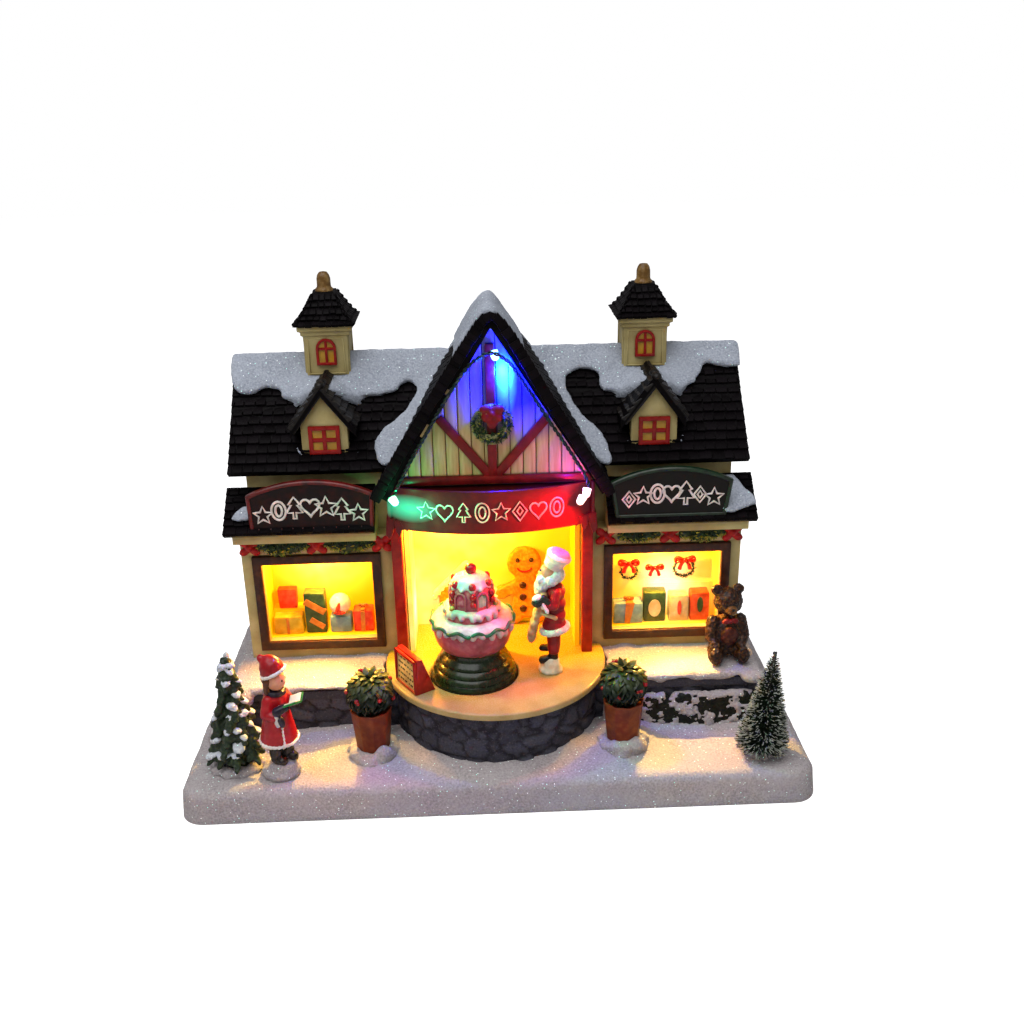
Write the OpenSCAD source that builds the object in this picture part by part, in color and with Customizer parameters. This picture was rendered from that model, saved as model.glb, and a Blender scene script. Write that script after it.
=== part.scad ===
// A lit shop row for a winter display: two shops and a gabled cake shop on a snowy base.
// The row faces -Y. The origin is the middle of the base, on the table.

/* [Snow base] */
// Width of the base along the shop row
base_w = 250; // [240:1:262]
// Depth of the base from front to back
base_d = 151; // [148:1:160]
// Height of the base at its edge
base_h = 13.6; // [12.6:0.1:15]
// Radius of the base's corners in plan
base_corner_r = 10; // [7:0.5:12]
// Radius of the base's rounded upper edge
base_edge_r = 4; // [2:0.5:6]
// Wall of the hollow base casting
base_wall = 3.2; // [2.6:0.1:3.8]
// Width of the ledge inside the base that the cover lies on
base_ledge = 3; // [2.5:0.1:4]
// Thickness of the base's upper skin
base_skin = 3; // [2.4:0.1:3.6]
// Height of the snow banked against the terrace
bank_h = 2.2; // [1:0.1:3]
// How far the snow bank runs out from the terrace
bank_reach = 8; // [4:0.5:9]

/* [Stone terrace] */
// Width of the terrace
terrace_w = 215.2; // [212:0.2:222]
// Distance from the middle to the terrace's front
terrace_front = 34.7; // [33.6:0.1:36]
// Distance from the middle to the terrace's back
terrace_back = 58; // [56:0.5:62]
// Height of the terrace's top above the base
terrace_h = 22.7; // [22.4:0.1:25.4]
// Wall of the hollow terrace
terrace_wall = 3; // [2.5:0.1:3.4]
// Thickness of the snow that lies on the terrace
terrace_snow = 2.6; // [1.5:0.1:3.2]
// How far the snow hangs over the terrace's edge
snow_lip = 0.9; // [0.4:0.1:1.5]
// Radius of the round bay's stone wall
bay_r = 43; // [42:0.5:44]
// Distance from the middle to the bay's centre
bay_y = 20; // [19:0.2:21]
// Height of the hedge along the terrace's front
hedge_h = 17; // [14:0.5:19]
// Length of the hedge
hedge_w = 52; // [44:1:54]
// Thickness of the hedge
hedge_t = 5.4; // [4:0.2:6]

/* [Display floor and cake] */
// Radius of the display floor's round front
floor_r = 46; // [45:0.5:48]
// Thickness of the display floor
floor_t = 2.5; // [2:0.1:3]
// Sideways place of the turntable
turn_x = -9; // [-10:0.5:-7]
// Distance from the middle to the turntable's axis
turn_y = 32.3; // [31.5:0.1:33]
// Radius of the hole that the turntable turns in
turn_hole_r = 18; // [17.6:0.1:18.6]
// Radius of the cake stand's foot
stand_r = 17.2; // [15:0.1:17.2]
// Height of the cake stand
stand_h = 13.7; // [12:0.1:15]
// Greatest radius of the cake
cake_r = 16.2; // [14:0.1:16.4]
// Height of the cake without its cherry
cake_h = 31; // [28:0.5:33]
// Radius of the cherry on top
cherry_r = 2.4; // [1.8:0.1:3]

/* [Shop walls] */
// Width of the shop row at its front wall
shop_w = 206.8; // [204:0.2:210]
// Distance from the middle to the front wall
shop_front = 11.2; // [11:0.1:11.6]
// Distance from the middle to the back wall
shop_back = 53; // [51:0.5:54]
// Thickness of the shop's walls
wall_t = 3; // [2.4:0.1:3.4]
// Height of the porch's underside above the terrace
ground_h = 56.7; // [56.3:0.1:57.7]
// Width of the upper wall
upper_w = 198; // [194:0.5:201]
// Distance from the middle to the upper wall's front
upper_front = 5.4; // [5:0.1:5.8]

/* [Shop windows] */
// Distance from the middle of the row to a window's near edge
window_x = 50; // [49.4:0.1:50.6]
// Width of a window's opening
window_w = 45.4; // [43:0.1:46]
// Height of a window's sill above the terrace
sill_h = 8.6; // [8.1:0.1:9.3]
// Height of a window's opening
window_h = 36; // [33:0.2:36.6]
// Width of a window frame's bars
frame_w = 3.7; // [3:0.1:4]
// Thickness of a window frame
frame_t = 2; // [1.5:0.1:2.4]
// Depth of a display box behind its window
display_d = 14.2; // [12:0.2:16]
// Wall of a display box
display_t = 1.6; // [1.2:0.1:2]
// Radius of the holly swags above the windows
swag_r = 2.1; // [1.6:0.1:2.4]
// Half the width of a ribbon bow
bow_r = 3.4; // [2.6:0.1:3.8]

/* [Cake room and posts] */
// Half the width of the room
room_half = 34; // [33:0.2:34.4]
// Distance from the middle to the room's back wall
room_back = 11; // [10:0.2:12]
// Height of the room's ceiling above the porch's underside
ceiling_h = 5; // [3:0.2:5.4]
// Wall of the room's lining
lining_t = 2; // [1.6:0.1:2.2]
// Width of a red post
post_w = 4.5; // [4:0.1:4.8]
// Half the distance between the posts' outer faces
post_out = 41; // [41:0.1:42]
// Distance from the middle to the posts' front
post_front = 19; // [18.6:0.1:19.4]
// Height of the posts' tops above the porch's underside
post_rise = 7; // [6.6:0.1:8]
// How far the banner bows forward
banner_bow = 10; // [8:0.2:11]
// Height of the banner
banner_h = 18; // [16:0.5:19]
// Thickness of the banner
banner_t = 2.5; // [2:0.1:3]

/* [Gable] */
// Sideways place of the gable's peak
gable_x = 1.5; // [0:0.1:1.8]
// Width of the gable at its foot
gable_w = 88; // [87:0.5:89]
// Height of the gable's foot above the posts
gable_lift = 16; // [15.4:0.1:16.4]
// Height of the gable from its foot to its peak
gable_h = 70; // [66:0.5:73]
// Thickness of the gable's roof
gable_t = 4; // [3.6:0.1:4.4]
// Distance from the middle to the gable roof's front edge
gable_front = 31; // [30:0.2:32]
// Distance from the middle to the planked wall
plank_front = 23; // [22.8:0.1:23.6]
// Thickness of the planked wall
plank_t = 2.5; // [2:0.1:2.5]
// Distance between the planks' grooves
plank_pitch = 5; // [4:0.5:8]
// How far the gable's ridge runs back behind the middle
gable_ridge_back = 8; // [5:0.5:12]
// Width of the red timbers
timber_w = 3.6; // [2.8:0.1:4]
// Thickness of the red timbers
timber_t = 1.2; // [0.8:0.1:1.6]
// Height of the gable wreath's middle above the gable's foot
wreath_up = 26.4; // [24:0.2:29]
// Outer radius of the gable wreath
wreath_r = 8; // [7:0.1:9]
// Thickness of the snow on the roofs
roof_snow_t = 2.6; // [1.8:0.1:3.2]

/* [Main roof] */
// How far the main roof hangs over the ends of the upper wall
roof_over = 5.8; // [4.5:0.1:7]
// Distance from the middle to the front eave
eave_front = 12.3; // [12:0.1:13]
// Height of the eaves above the porch roofs
upper_h = 8.3; // [7.8:0.1:9.2]
// Distance from the middle to the ridge
ridge_y = 23.7; // [23.4:0.1:24]
// Height of the ridge above the eaves
roof_rise = 37.4; // [35:0.2:39]
// Thickness of the roofs' shingle layer
roof_t = 3; // [2.6:0.1:3.4]
// Number of shingle courses on each slope
courses = 12; // [8:1:16]
// Height of the step at a course's lower edge
course_step = 0.7; // [0.4:0.1:0.9]
// How far the porch roofs reach past the front wall's ends
porch_over = 3.9; // [3.6:0.1:5.1]
// Half the width between the porch roofs
porch_in = 47; // [46.8:0.1:48]
// Distance from the middle to the porch roofs' front edge
porch_front = 21.9; // [21.4:0.1:22.6]
// Height of the porch roofs' front edge above the porch's underside
fascia_h = 6; // [5.4:0.1:6.6]
// Height of the porch roofs from their front edge to the upper wall
porch_rise = 13.8; // [12:0.2:14.4]
// Width of a shop's sign board
sign_w = 49; // [44:0.5:50]
// Height of a sign board above the porch roof's edge
sign_h = 20; // [18:0.2:20.6]
// Rise of a sign board's arched top
sign_rise = 5.5; // [3:0.5:6]
// Thickness of a sign board
sign_t = 2.4; // [2:0.1:2.8]

/* [Dormers and cupolas] */
// Distance from the middle to a dormer's centre
dormer_x = 65.8; // [64:0.2:67]
// Width of a dormer's walls
dormer_w = 18.9; // [17:0.1:19.6]
// Distance from the middle to a dormer's front
dormer_front = 6; // [5:0.1:7]
// Height of a dormer's eaves above the main roof's eaves
dormer_h = 16.9; // [15.9:0.1:17.9]
// Height of a dormer's roof from its eaves to its peak
dormer_roof_h = 17.5; // [15:0.1:18]
// How far a dormer's roof hangs over its walls
dormer_over = 3.6; // [3:0.1:4]
// Thickness of a dormer's roof
dormer_t = 2.4; // [2:0.1:2.8]
// Distance from the middle to a cupola's centre
cupola_x = 65.2; // [64:0.2:67]
// Width of a cupola's walls
cupola_w = 18; // [16:0.2:18.6]
// Height of a cupola's cornice above the ridge
cupola_h = 15.5; // [13.5:0.1:16.5]
// Half the width of a cupola roof's eaves
cupola_eave = 12.5; // [11.5:0.1:13]
// Height of a cupola's roof
cupola_roof_h = 12; // [11:0.2:13]
// Radius of the gold finial's dome
finial_r = 3.4; // [2.8:0.1:3.8]

/* [Figures and plants] */
// Height of the chef
chef_h = 55; // [50:0.5:56]
// Height of the carol singer on the mound
singer_h = 53; // [48:0.5:56]
// Height of the bear
bear_h = 34.7; // [31:0.2:36]
// Height of the gingerbread figure
biscuit_h = 36; // [32:0.5:38]
// Thickness of the gingerbread pieces
biscuit_t = 3.6; // [3:0.1:4]
// Height of the gingerbread house
biscuit_house_h = 31; // [28:0.5:33]
// Height of the snowy cast tree
cast_tree_h = 51.4; // [46:0.2:54]
// Radius of the snowy cast tree's lowest branches
cast_tree_r = 11; // [9:0.2:12]
// Height of the bottle-brush tree
brush_h = 47; // [42:0.5:50]
// Length of the bottle-brush tree's longest bristles
brush_r = 11; // [9:0.2:12]
// Height of a plant pot
pot_h = 20; // [18:0.2:21]
// Radius of a pot's rim
pot_r = 8; // [7:0.1:8.4]
// Radius of a pot's clipped bush
bush_r = 9.6; // [8:0.1:10]
// Height of the menu board
menu_h = 15.4; // [13:0.2:17]
// Width of the menu board
menu_w = 15.6; // [13:0.2:16]

/* [Drive and batteries] */
// Gear module
gear_m = 0.8; // [0.8:0.01:0.84]
// Teeth of the turntable's gear
gear_teeth = 36; // [36:1:38]
// Teeth of the motor's pinion
pinion_teeth = 12; // [12:1:13]
// Width of the gear's face
gear_face = 3.4; // [2.6:0.1:3.8]
// Slack between meshing teeth
mesh_gap = 0.3; // [0.2:0.02:0.4]
// Radius of the spindle that the turntable turns on
spindle_r = 2; // [1.6:0.1:2.4]
// Radius of the motor's output shaft
shaft_r = 1.5; // [1.2:0.1:1.8]
// Radius of the motor's gearbox
gearbox_r = 10; // [9:0.1:10.6]
// Height of the motor's gearbox
gearbox_h = 8; // [7:0.1:9]
// Radius of the motor's can
can_r = 6.2; // [5.5:0.1:7]
// Height of the motor's can
can_h = 12; // [9:0.2:13]
// Diameter of a battery cell
cell_d = 14.5; // [14.3:0.1:14.8]
// Length of a battery cell
cell_l = 50.5; // [50:0.1:51]
// Number of battery cells
cells = 3; // [2:1:3]
// Thickness of the bottom cover
cover_t = 2.4; // [2:0.1:2.8]
// How far the cover lies above the table
cover_gap = 0.6; // [0.4:0.1:0.9]
// Thickness of the battery door
door_t = 2; // [1.8:0.1:2.2]
// Radius of the battery door's hinge pins
door_pin_r = 0.7; // [0.6:0.02:0.74]
// Wall of the battery bay
bay_wall = 2.4; // [2:0.1:2.6]
// Travel of the switch's knob
switch_travel = 3; // [2:0.1:4]
// Radius of the screws' shanks
screw_r = 1.2; // [1:0.05:1.4]
// Radius of the lamps
lamp_r = 1.5; // [1.2:0.1:2]

/* [Fits] */
// Radial clearance of a turning or sliding fit
run_gap = 0.06; // [0.04:0.01:0.08]
// Gap between pieces that move past each other
free_gap = 0.4; // [0.3:0.05:0.5]
// Overrun of every cut past the face it opens
cut = 1; // [0.5:0.1:2]

/* [Hidden] */
$fn = 64;
round_fn = 32;
coarse_fn = 10;
figure_fn = 12;

// The rabbet under the base that the cover lies in: half its width and half its depth
ledge_x = base_w / 2 - base_wall - base_ledge / 2;
ledge_y = base_d / 2 - base_wall - base_ledge / 2;

// Heights above the table that the pieces share
terrace_top = base_h + terrace_h;
floor_top = terrace_top + floor_t;
porch_z = terrace_top + ground_h;
window_z = terrace_top + sill_h;
room_top = porch_z + ceiling_h;
post_top = porch_z + post_rise;
porch_low = porch_z + fascia_h;
porch_high = porch_low + porch_rise;
eave_z = porch_high + upper_h;
ridge_z = eave_z + roof_rise;
gable_foot = post_top + gable_lift;
gable_peak = gable_foot + gable_h;
wreath_z = gable_foot + wreath_up;
dormer_eave = eave_z + dormer_h;
dormer_peak = dormer_eave + dormer_roof_h;
cupola_top = ridge_z + cupola_h;
bank_top = base_h + bank_h;
cover_top = cover_gap + cover_t;
floor_side = room_half + lining_t;
floor_shoulder = terrace_front - snow_lip - terrace_wall / 2;
post_in = post_out - post_w;
banner_top = post_top + banner_h;

// The roofs' widths
roof_w = upper_w + 2 * roof_over;
porch_out = shop_w / 2 + porch_over;

// The main roof's slope
roof_run = ridge_y + eave_front;
roof_len = sqrt(roof_run * roof_run + roof_rise * roof_rise);
roof_angle = atan(roof_rise / roof_run);
roof_drop = roof_t / cos(roof_angle);
eave_back = ridge_y + roof_run;

// The gable's slope
gable_half = gable_w / 2;
gable_angle = atan(gable_h / gable_half);
gable_drop = gable_t / cos(gable_angle);
gable_in = gable_half - gable_t / sin(gable_angle);
gable_in_peak = gable_peak - gable_drop;
// Angle of the timber braces from upright
brace_angle = 41;

// The dormer roofs' slope
dormer_half = dormer_w / 2 + dormer_over;
dormer_slope = dormer_roof_h / dormer_half;
dormer_drop = dormer_t / cos(atan(dormer_slope));

// The porch roofs' slope
porch_run = porch_front - upper_front;
porch_len = sqrt(porch_run * porch_run + porch_rise * porch_rise);
porch_angle = atan(porch_rise / porch_run);
porch_drop = roof_t / cos(porch_angle);
soffit_front = porch_front - roof_t;

// The drive train: gear pitch radii, and where the motor stands behind the turntable
pressure_angle = 20;
gear_r = gear_m * gear_teeth / 2;
pinion_r = gear_m * pinion_teeth / 2;
motor_y = gear_r + pinion_r - turn_y;
disc_bottom = terrace_top + run_gap * 5;
disc_top = floor_top - floor_t / 10;
gear_top = disc_bottom - roof_t / 2;
gear_bottom = gear_top - gear_face;
gearbox_top = gear_bottom - free_gap * 2;
ear_x = gearbox_r + screw_r * 2;
ear_t = gearbox_h / 4;

// The battery bay, its door and the board
bay_l = cell_l + cell_d / 2;
bay_d = cells * cell_d + 2 * free_gap + cell_d / 4;
bay_h = cell_d + 2 * free_gap;
cell_x = base_w / 10;
cell_y = -base_d / 8;
door_mid_z = cover_gap + cover_t / 2;
switch_x = -base_w / 4;
switch_y = base_d / 8;
knob_w = switch_travel;
knob_d = switch_travel * 0.8;
switch_wall = switch_travel / 2;
switch_w = knob_w + switch_travel + 2 * free_gap + 2 * switch_wall;
switch_d = knob_d + 2 * free_gap + 2 * switch_wall;
switch_h = switch_travel * 1.4;
board_w = base_w / 8;
board_d = base_d / 8;
board_t = switch_wall;
board_x = -base_w / 6;
board_y = -base_d / 16;
board_z = cover_top + pot_h / 2;

// Places of the screws, as shares of the cover's half width and half depth
screw_shares = [[-0.93, -0.86], [0, -0.93], [0.93, -0.86], [-0.93, 0.86], [0, 0.86], [0.93, 0.86]];

// Presents in the windows, as shares of the opening: left, right, bottom, top
left_gift_shares = [
    [0.02, 0.30, 0, 0.20], [0.06, 0.23, 0.20, 0.55], [0.32, 0.52, 0, 0.54],
    [0.55, 0.75, 0, 0.20], [0.77, 0.96, 0, 0.29]];
right_gift_shares = [
    [0.04, 0.31, 0, 0.30], [0.32, 0.53, 0, 0.40], [0.57, 0.77, 0, 0.25], [0.78, 0.95, 0, 0.37]];
// Wreaths and a bow on the right window's back wall, as shares: across, up, radius
wreath_shares = [[0.19, 0.60, 0.11], [0.45, 0.62, 0.06], [0.73, 0.60, 0.11]];

// Lower edge of the ridge's snow from left to right: share of the width, share down the slope
front_snow_shares = [
    [0, 0.40], [0.04, 0.46], [0.08, 0.42], [0.11, 0.50], [0.15, 0.54], [0.20, 0.44], [0.26, 0.46],
    [0.31, 0.40], [0.35, 0.44], [0.40, 0.52], [0.46, 0.50], [0.50, 0.46], [0.56, 0.50],
    [0.62, 0.46], [0.66, 0.34], [0.70, 0.30], [0.74, 0.46], [0.79, 0.40], [0.84, 0.46],
    [0.88, 0.42], [0.92, 0.30], [1, 0.32]];
back_snow_shares = [
    [0, 0.36], [0.06, 0.44], [0.12, 0.38], [0.19, 0.50], [0.25, 0.42], [0.33, 0.47], [0.40, 0.37],
    [0.48, 0.45], [0.55, 0.52], [0.62, 0.41], [0.70, 0.46], [0.77, 0.36], [0.85, 0.48],
    [0.93, 0.40], [1, 0.44]];

// Figures are chains of round limbs, as shares of the figure's height:
// start point, start radius, end point, end radius
chef_limb_shares = [
    [[0, 0, -0.055], 0.115, [0.01, 0, -0.055], 0.112],
    [[0, 0, 0.065], 0.036, [-0.065, 0, 0.058], 0.032],
    [[0.075, 0.02, 0.15], 0.036, [0.02, 0.02, 0.13], 0.032],
    [[0, 0, 0.09], 0.04, [0.02, 0, 0.33], 0.066],
    [[0.08, 0.02, 0.18], 0.04, [0.04, 0.02, 0.33], 0.066],
    [[0, 0, 0.37], 0.074, [0.08, 0, 0.37], 0.074],
    [[0.045, 0, 0.40], 0.106, [0.05, 0, 0.59], 0.088],
    [[-0.03, -0.01, 0.33], 0.056, [-0.02, -0.01, 0.60], 0.058],
    [[0.04, -0.075, 0.61], 0.04, [-0.02, -0.10, 0.53], 0.036],
    [[-0.02, -0.10, 0.53], 0.036, [-0.07, -0.06, 0.60], 0.032],
    [[0.04, 0.075, 0.61], 0.04, [-0.03, 0.09, 0.54], 0.036],
    [[-0.03, 0.09, 0.54], 0.036, [-0.07, 0.04, 0.62], 0.032],
    [[-0.075, -0.03, 0.65], 0.05, [-0.075, 0.02, 0.65], 0.05],
    [[0.05, 0, 0.66], 0.06, [0.06, 0, 0.78], 0.08],
    [[0.03, 0, 0.755], 0.06, [0.02, 0, 0.715], 0.042],
    [[0.065, 0, 0.85], 0.072, [0.075, 0, 0.90], 0.088],
    [[0.08, 0, 0.91], 0.084, [0.105, 0, 0.92], 0.076]];
singer_limb_shares = [
    [[0, 0, -0.04], 0.158, [0.01, 0, -0.04], 0.156],
    [[-0.04, 0, 0.15], 0.042, [-0.03, -0.04, 0.145], 0.04],
    [[0.045, 0, 0.15], 0.042, [0.06, -0.04, 0.145], 0.04],
    [[-0.04, 0, 0.15], 0.042, [-0.035, 0, 0.34], 0.044],
    [[0.045, 0, 0.15], 0.042, [0.035, 0, 0.34], 0.044],
    [[-0.03, 0, 0.42], 0.104, [0.035, 0, 0.42], 0.104],
    [[0, 0, 0.43], 0.136, [-0.015, 0, 0.65], 0.086],
    [[-0.08, 0, 0.65], 0.042, [-0.03, -0.11, 0.58], 0.036],
    [[-0.03, -0.11, 0.58], 0.036, [0.07, -0.13, 0.62], 0.032],
    [[0.06, 0, 0.65], 0.042, [0.13, -0.06, 0.60], 0.036],
    [[0.13, -0.06, 0.60], 0.036, [0.15, -0.10, 0.63], 0.03],
    [[0.10, -0.12, 0.64], 0.022, [0.18, -0.12, 0.66], 0.022],
    [[0.10, -0.12, 0.64], 0.022, [0.12, -0.12, 0.74], 0.022],
    [[-0.02, 0, 0.72], 0.05, [-0.025, 0, 0.80], 0.082],
    [[-0.03, 0, 0.85], 0.086, [-0.035, 0, 0.87], 0.082],
    [[-0.035, 0, 0.88], 0.072, [-0.045, 0, 0.95], 0.04],
    [[-0.045, 0, 0.95], 0.034, [-0.06, 0, 0.965], 0.032]];
bear_side_shares = [
    [[0.145, 0, 0.92], 0.068, [0.12, 0, 0.88], 0.06],
    [[0.13, -0.06, 0.095], 0.11, [0.17, -0.24, 0.08], 0.092],
    [[0.17, -0.25, 0.08], 0.092, [0.17, -0.26, 0.15], 0.08],
    [[0.16, 0, 0.54], 0.092, [0.20, -0.14, 0.32], 0.076]];
bear_limb_shares = [
    [[0, 0, 0.215], 0.235, [0, 0.02, 0.49], 0.17],
    [[0, -0.03, 0.76], 0.176, [0, -0.05, 0.75], 0.172],
    [[0, -0.16, 0.72], 0.085, [0, -0.19, 0.715], 0.07],
    [[-0.08, -0.15, 0.585], 0.05, [0.08, -0.15, 0.585], 0.05],
    each bear_side_shares,
    for (s = bear_side_shares)
        [[-s[0][0], s[0][1], s[0][2]], s[1], [-s[2][0], s[2][1], s[2][2]], s[3]]];
// The gingerbread figure's flat limbs, as shares of its height: x, z, radius, x, z, radius
biscuit_limb_shares = [
    [0, 0.78, 0.205, 0, 0.79, 0.205], [0, 0.54, 0.15, 0, 0.30, 0.18],
    for (k = [-1, 1]) each [
        [k * 0.10, 0.56, 0.085, k * 0.29, 0.47, 0.085], [k * 0.08, 0.24, 0.10, k * 0.15, 0.10, 0.10],
        [k * 0.15, 0.10, 0.10, k * 0.16, 0.095, 0.095]]];
// Layers of the cast tree, as shares: height of the tip, height of the skirt, radius
cast_tree_shares = [
    [0.38, 0.06, 1], [0.54, 0.22, 0.86], [0.70, 0.38, 0.70], [0.86, 0.54, 0.53], [1, 0.70, 0.34]];

// The cake stand's outline, as shares of its radius and its height, from the foot up
stand_shares = [
    [0, 0], [1, 0], [1, 0.10], [0.94, 0.16], [0.95, 0.26], [0.88, 0.34], [0.87, 0.44], [0.78, 0.52],
    [0.77, 0.60], [0.67, 0.68], [0.665, 0.82], [0.76, 0.90], [0.76, 1], [0, 1]];
// The cake's outline, as shares of its radius and its height
cake_shares = [
    [0, 0], [0.74, 0], [0.84, 0.08], [0.94, 0.18], [0.98, 0.28], [0.98, 0.38], [0.66, 0.41],
    [0.66, 0.52], [0.50, 0.55], [0.50, 0.72], [0.42, 0.84], [0.26, 0.95], [0, 1]];
// The icing's outline where it lies on the cake's widest part
icing_shares = [
    [0.98, 0.34], [1.05, 0.33], [1.07, 0.38], [1.02, 0.42], [0.80, 0.46], [0.66, 0.48], [0.66, 0.41],
    [0.98, 0.38]];
drips = 12;

// A box from its lowest to its highest corner
module box(low, high) {
    translate(low) cube(high - low);
}

// A box about the Z axis, by half its width and half its depth
module block(half_x, half_y, from, to) {
    box([-half_x, -half_y, from], [half_x, half_y, to]);
}

// A round bar from one height to another
module rod(r, from, to) {
    translate([0, 0, from]) cylinder(r = r, h = to - from);
}

// A profile in Y and Z, drawn out along X
module along_x(profile, from, to) {
    rotate([90, 0, 90]) translate([0, 0, from]) linear_extrude(to - from) polygon(profile);
}

// A profile in X and Z, drawn out along Y
module along_y(profile, from, to) {
    translate([0, to, 0]) rotate([90, 0, 0]) linear_extrude(to - from) polygon(profile);
}

// The left-hand piece is the right-hand one turned about in X
module on_side(side) {
    if (side < 0) mirror([1, 0, 0]) children();
    else children();
}

// Round limbs in a row, cut off flat where the figure stands
module figure(limb_shares, height) {
    difference() {
        for (s = limb_shares)
            hull() {
                translate(height * s[0]) sphere(height * s[1], $fn = figure_fn);
                translate(height * s[2]) sphere(height * s[3], $fn = figure_fn);
            }
        box([-height, -height, -height], [height, height, 0]);
    }
}

// A ribbon bow: two loops and a knot, lying against a wall at its back
module bow(r) {
    for (side = [-1, 1])
        hull() {
            sphere(r / 3, $fn = coarse_fn);
            translate([side * r * 0.7, 0, r * 0.25]) sphere(r * 0.3, $fn = coarse_fn);
            translate([side * r * 0.7, 0, -r * 0.25]) sphere(r * 0.3, $fn = coarse_fn);
        }
}

// Outline of shingle courses lying one on the other, from the eave up the slope
function course_points(length, thick, count) =
    [for (i = [0 : count - 1], k = [0, 1])
        [length * (i + k) / count, thick - k * course_step]];

/* Base, cover and drive */

module base_corners(inset, from, to, edge) {
    x = base_w / 2 - base_corner_r;
    y = base_d / 2 - base_corner_r;
    for (sx = [-1, 1], sy = [-1, 1], a = edge > 0 ? [0, 30, 60, 90] : [90])
        translate([sx * x, sy * y, from])
            cylinder(r = base_corner_r - inset - edge * (1 - cos(a)),
                h = to - from - edge * (1 - sin(a)), $fn = round_fn);
}

// The ground that the terrace and its bay cover, from one height to another
module terrace_block(grow, from, to) {
    box([-terrace_w / 2 - grow, -terrace_front - grow, from],
        [terrace_w / 2 + grow, terrace_back + grow, to]);
}

module bay_block(grow, from, to) {
    translate([0, -bay_y, 0]) rod(bay_r + grow, from, to, $fn = 96);
}

module base_shell() {
    inner = base_wall + base_ledge;
    color("white")
        difference() {
            union() {
                hull() base_corners(0, 0, base_h, base_edge_r);
                hull() {
                    terrace_block(bank_reach, base_h - cut, base_h);
                    terrace_block(0, base_h - cut, bank_top);
                }
                translate([0, -bay_y, base_h - cut])
                    cylinder(r1 = bay_r + bank_reach, r2 = bay_r, h = bank_h + cut, $fn = 96);
            }
            terrace_block(0, base_h, bank_top + cut);
            bay_block(0, base_h, bank_top + cut);
            terrace_block(-inner, -cut, base_h + cut);
            bay_block(-inner, -cut, base_h + cut);
            difference() {
                block(base_w / 2 - inner, base_d / 2 - inner, cover_top, base_h - base_skin);
                for (s = screw_shares) screw_at(s) rod(3 * screw_r, 0, base_h);
            }
            block(ledge_x, ledge_y, -cut, cover_top);
            for (s = screw_shares)
                screw_at(s) rod(screw_r + run_gap, cover_top - cut, base_h - base_skin / 2);
        }
}

module screw_at(s) {
    translate([s[0] * (ledge_x - base_ledge / 2), s[1] * (ledge_y - base_ledge / 2), 0]) children();
}

// The corners of the battery bay, grown outwards by a wall
module cell_box(grow, from, to) {
    box([cell_x - grow, cell_y - grow, from], [cell_x + bay_l + grow, cell_y + bay_d + grow, to]);
}

module bottom_cover() {
    color("dimgray")
        difference() {
            union() {
                block(ledge_x - free_gap, ledge_y - free_gap, cover_gap, cover_top);
                cell_box(bay_wall, cover_gap, cover_top + bay_h + bay_wall);
                translate([turn_x, -turn_y, 0]) {
                    rod(2 * spindle_r, cover_gap, gear_bottom - free_gap);
                    rod(spindle_r, cover_gap, disc_bottom - run_gap);
                }
                for (k = [-1, 1])
                    translate([board_x + k * board_w * 0.4, board_y, 0]) {
                        rod(2 * screw_r, cover_gap, board_z);
                        rod(screw_r, cover_gap, board_z + board_t * 1.5);
                    }
            }
            cell_box(0, -cut, cover_top + bay_h);
            box([cell_x - free_gap, cell_y - free_gap, -cut],
                [cell_x + bay_l + free_gap, cell_y + bay_d + door_t / 2 + free_gap,
                    door_mid_z + door_t / 2 + run_gap]);
            door_pins(run_gap, free_gap);
            for (s = screw_shares)
                screw_at(s) {
                    rod(screw_r + run_gap, -cut, cover_top + cut);
                    rod(2 * screw_r + run_gap, cover_gap - cut, cover_gap + cover_t / 2);
                }
            knob_slot(cover_gap - cut, cover_top + cut);
        }
}

module knob_slot(from, to) {
    box([switch_x - free_gap, switch_y - knob_d / 2 - free_gap, from],
        [switch_x + knob_w + switch_travel + free_gap, switch_y + knob_d / 2 + free_gap, to]);
}

module cover_screws() {
    color("silver")
        for (s = screw_shares)
            screw_at(s) {
                rod(2 * screw_r, cover_gap, cover_gap + cover_t / 2);
                rod(screw_r, cover_gap, base_h - base_skin);
            }
}

module door_pins(grow, more) {
    reach = free_gap + 2 * door_pin_r + more;
    translate([cell_x - reach, cell_y + bay_d, door_mid_z]) rotate([0, 90, 0])
        cylinder(r = door_pin_r + grow, h = bay_l + 2 * reach);
}

module battery_door() {
    low = door_mid_z - door_t / 2;
    color("gray")
        difference() {
            union() {
                box([cell_x, cell_y, low], [cell_x + bay_l, cell_y + bay_d, low + door_t]);
                translate([cell_x, cell_y + bay_d, door_mid_z]) rotate([0, 90, 0])
                    cylinder(r = door_t / 2, h = bay_l);
                door_pins(0, 0);
            }
            translate([cell_x + bay_l / 2, cell_y, 0]) rod(cell_d / 4, low - cut, low + door_t / 2);
        }
}

module battery_contacts() {
    plate = bay_wall / 6;
    high = cell_d * 0.7;
    color("silver")
        for (i = [0 : cells - 1]) {
            y = cell_y + cell_d / 8 + free_gap + cell_d * (i + 0.5);
            z = cover_top + bay_h / 2;
            box([cell_x, y - high / 2, z - high / 2], [cell_x + plate, y + high / 2, z + high / 2]);
            box([cell_x + bay_l - plate, y - high / 2, z - high / 2],
                [cell_x + bay_l, y + high / 2, z + high / 2]);
            translate([cell_x, y, z]) rotate([0, 90, 0])
                cylinder(r1 = cell_d / 4, r2 = cell_d / 8, h = cell_d / 4);
        }
}

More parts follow.
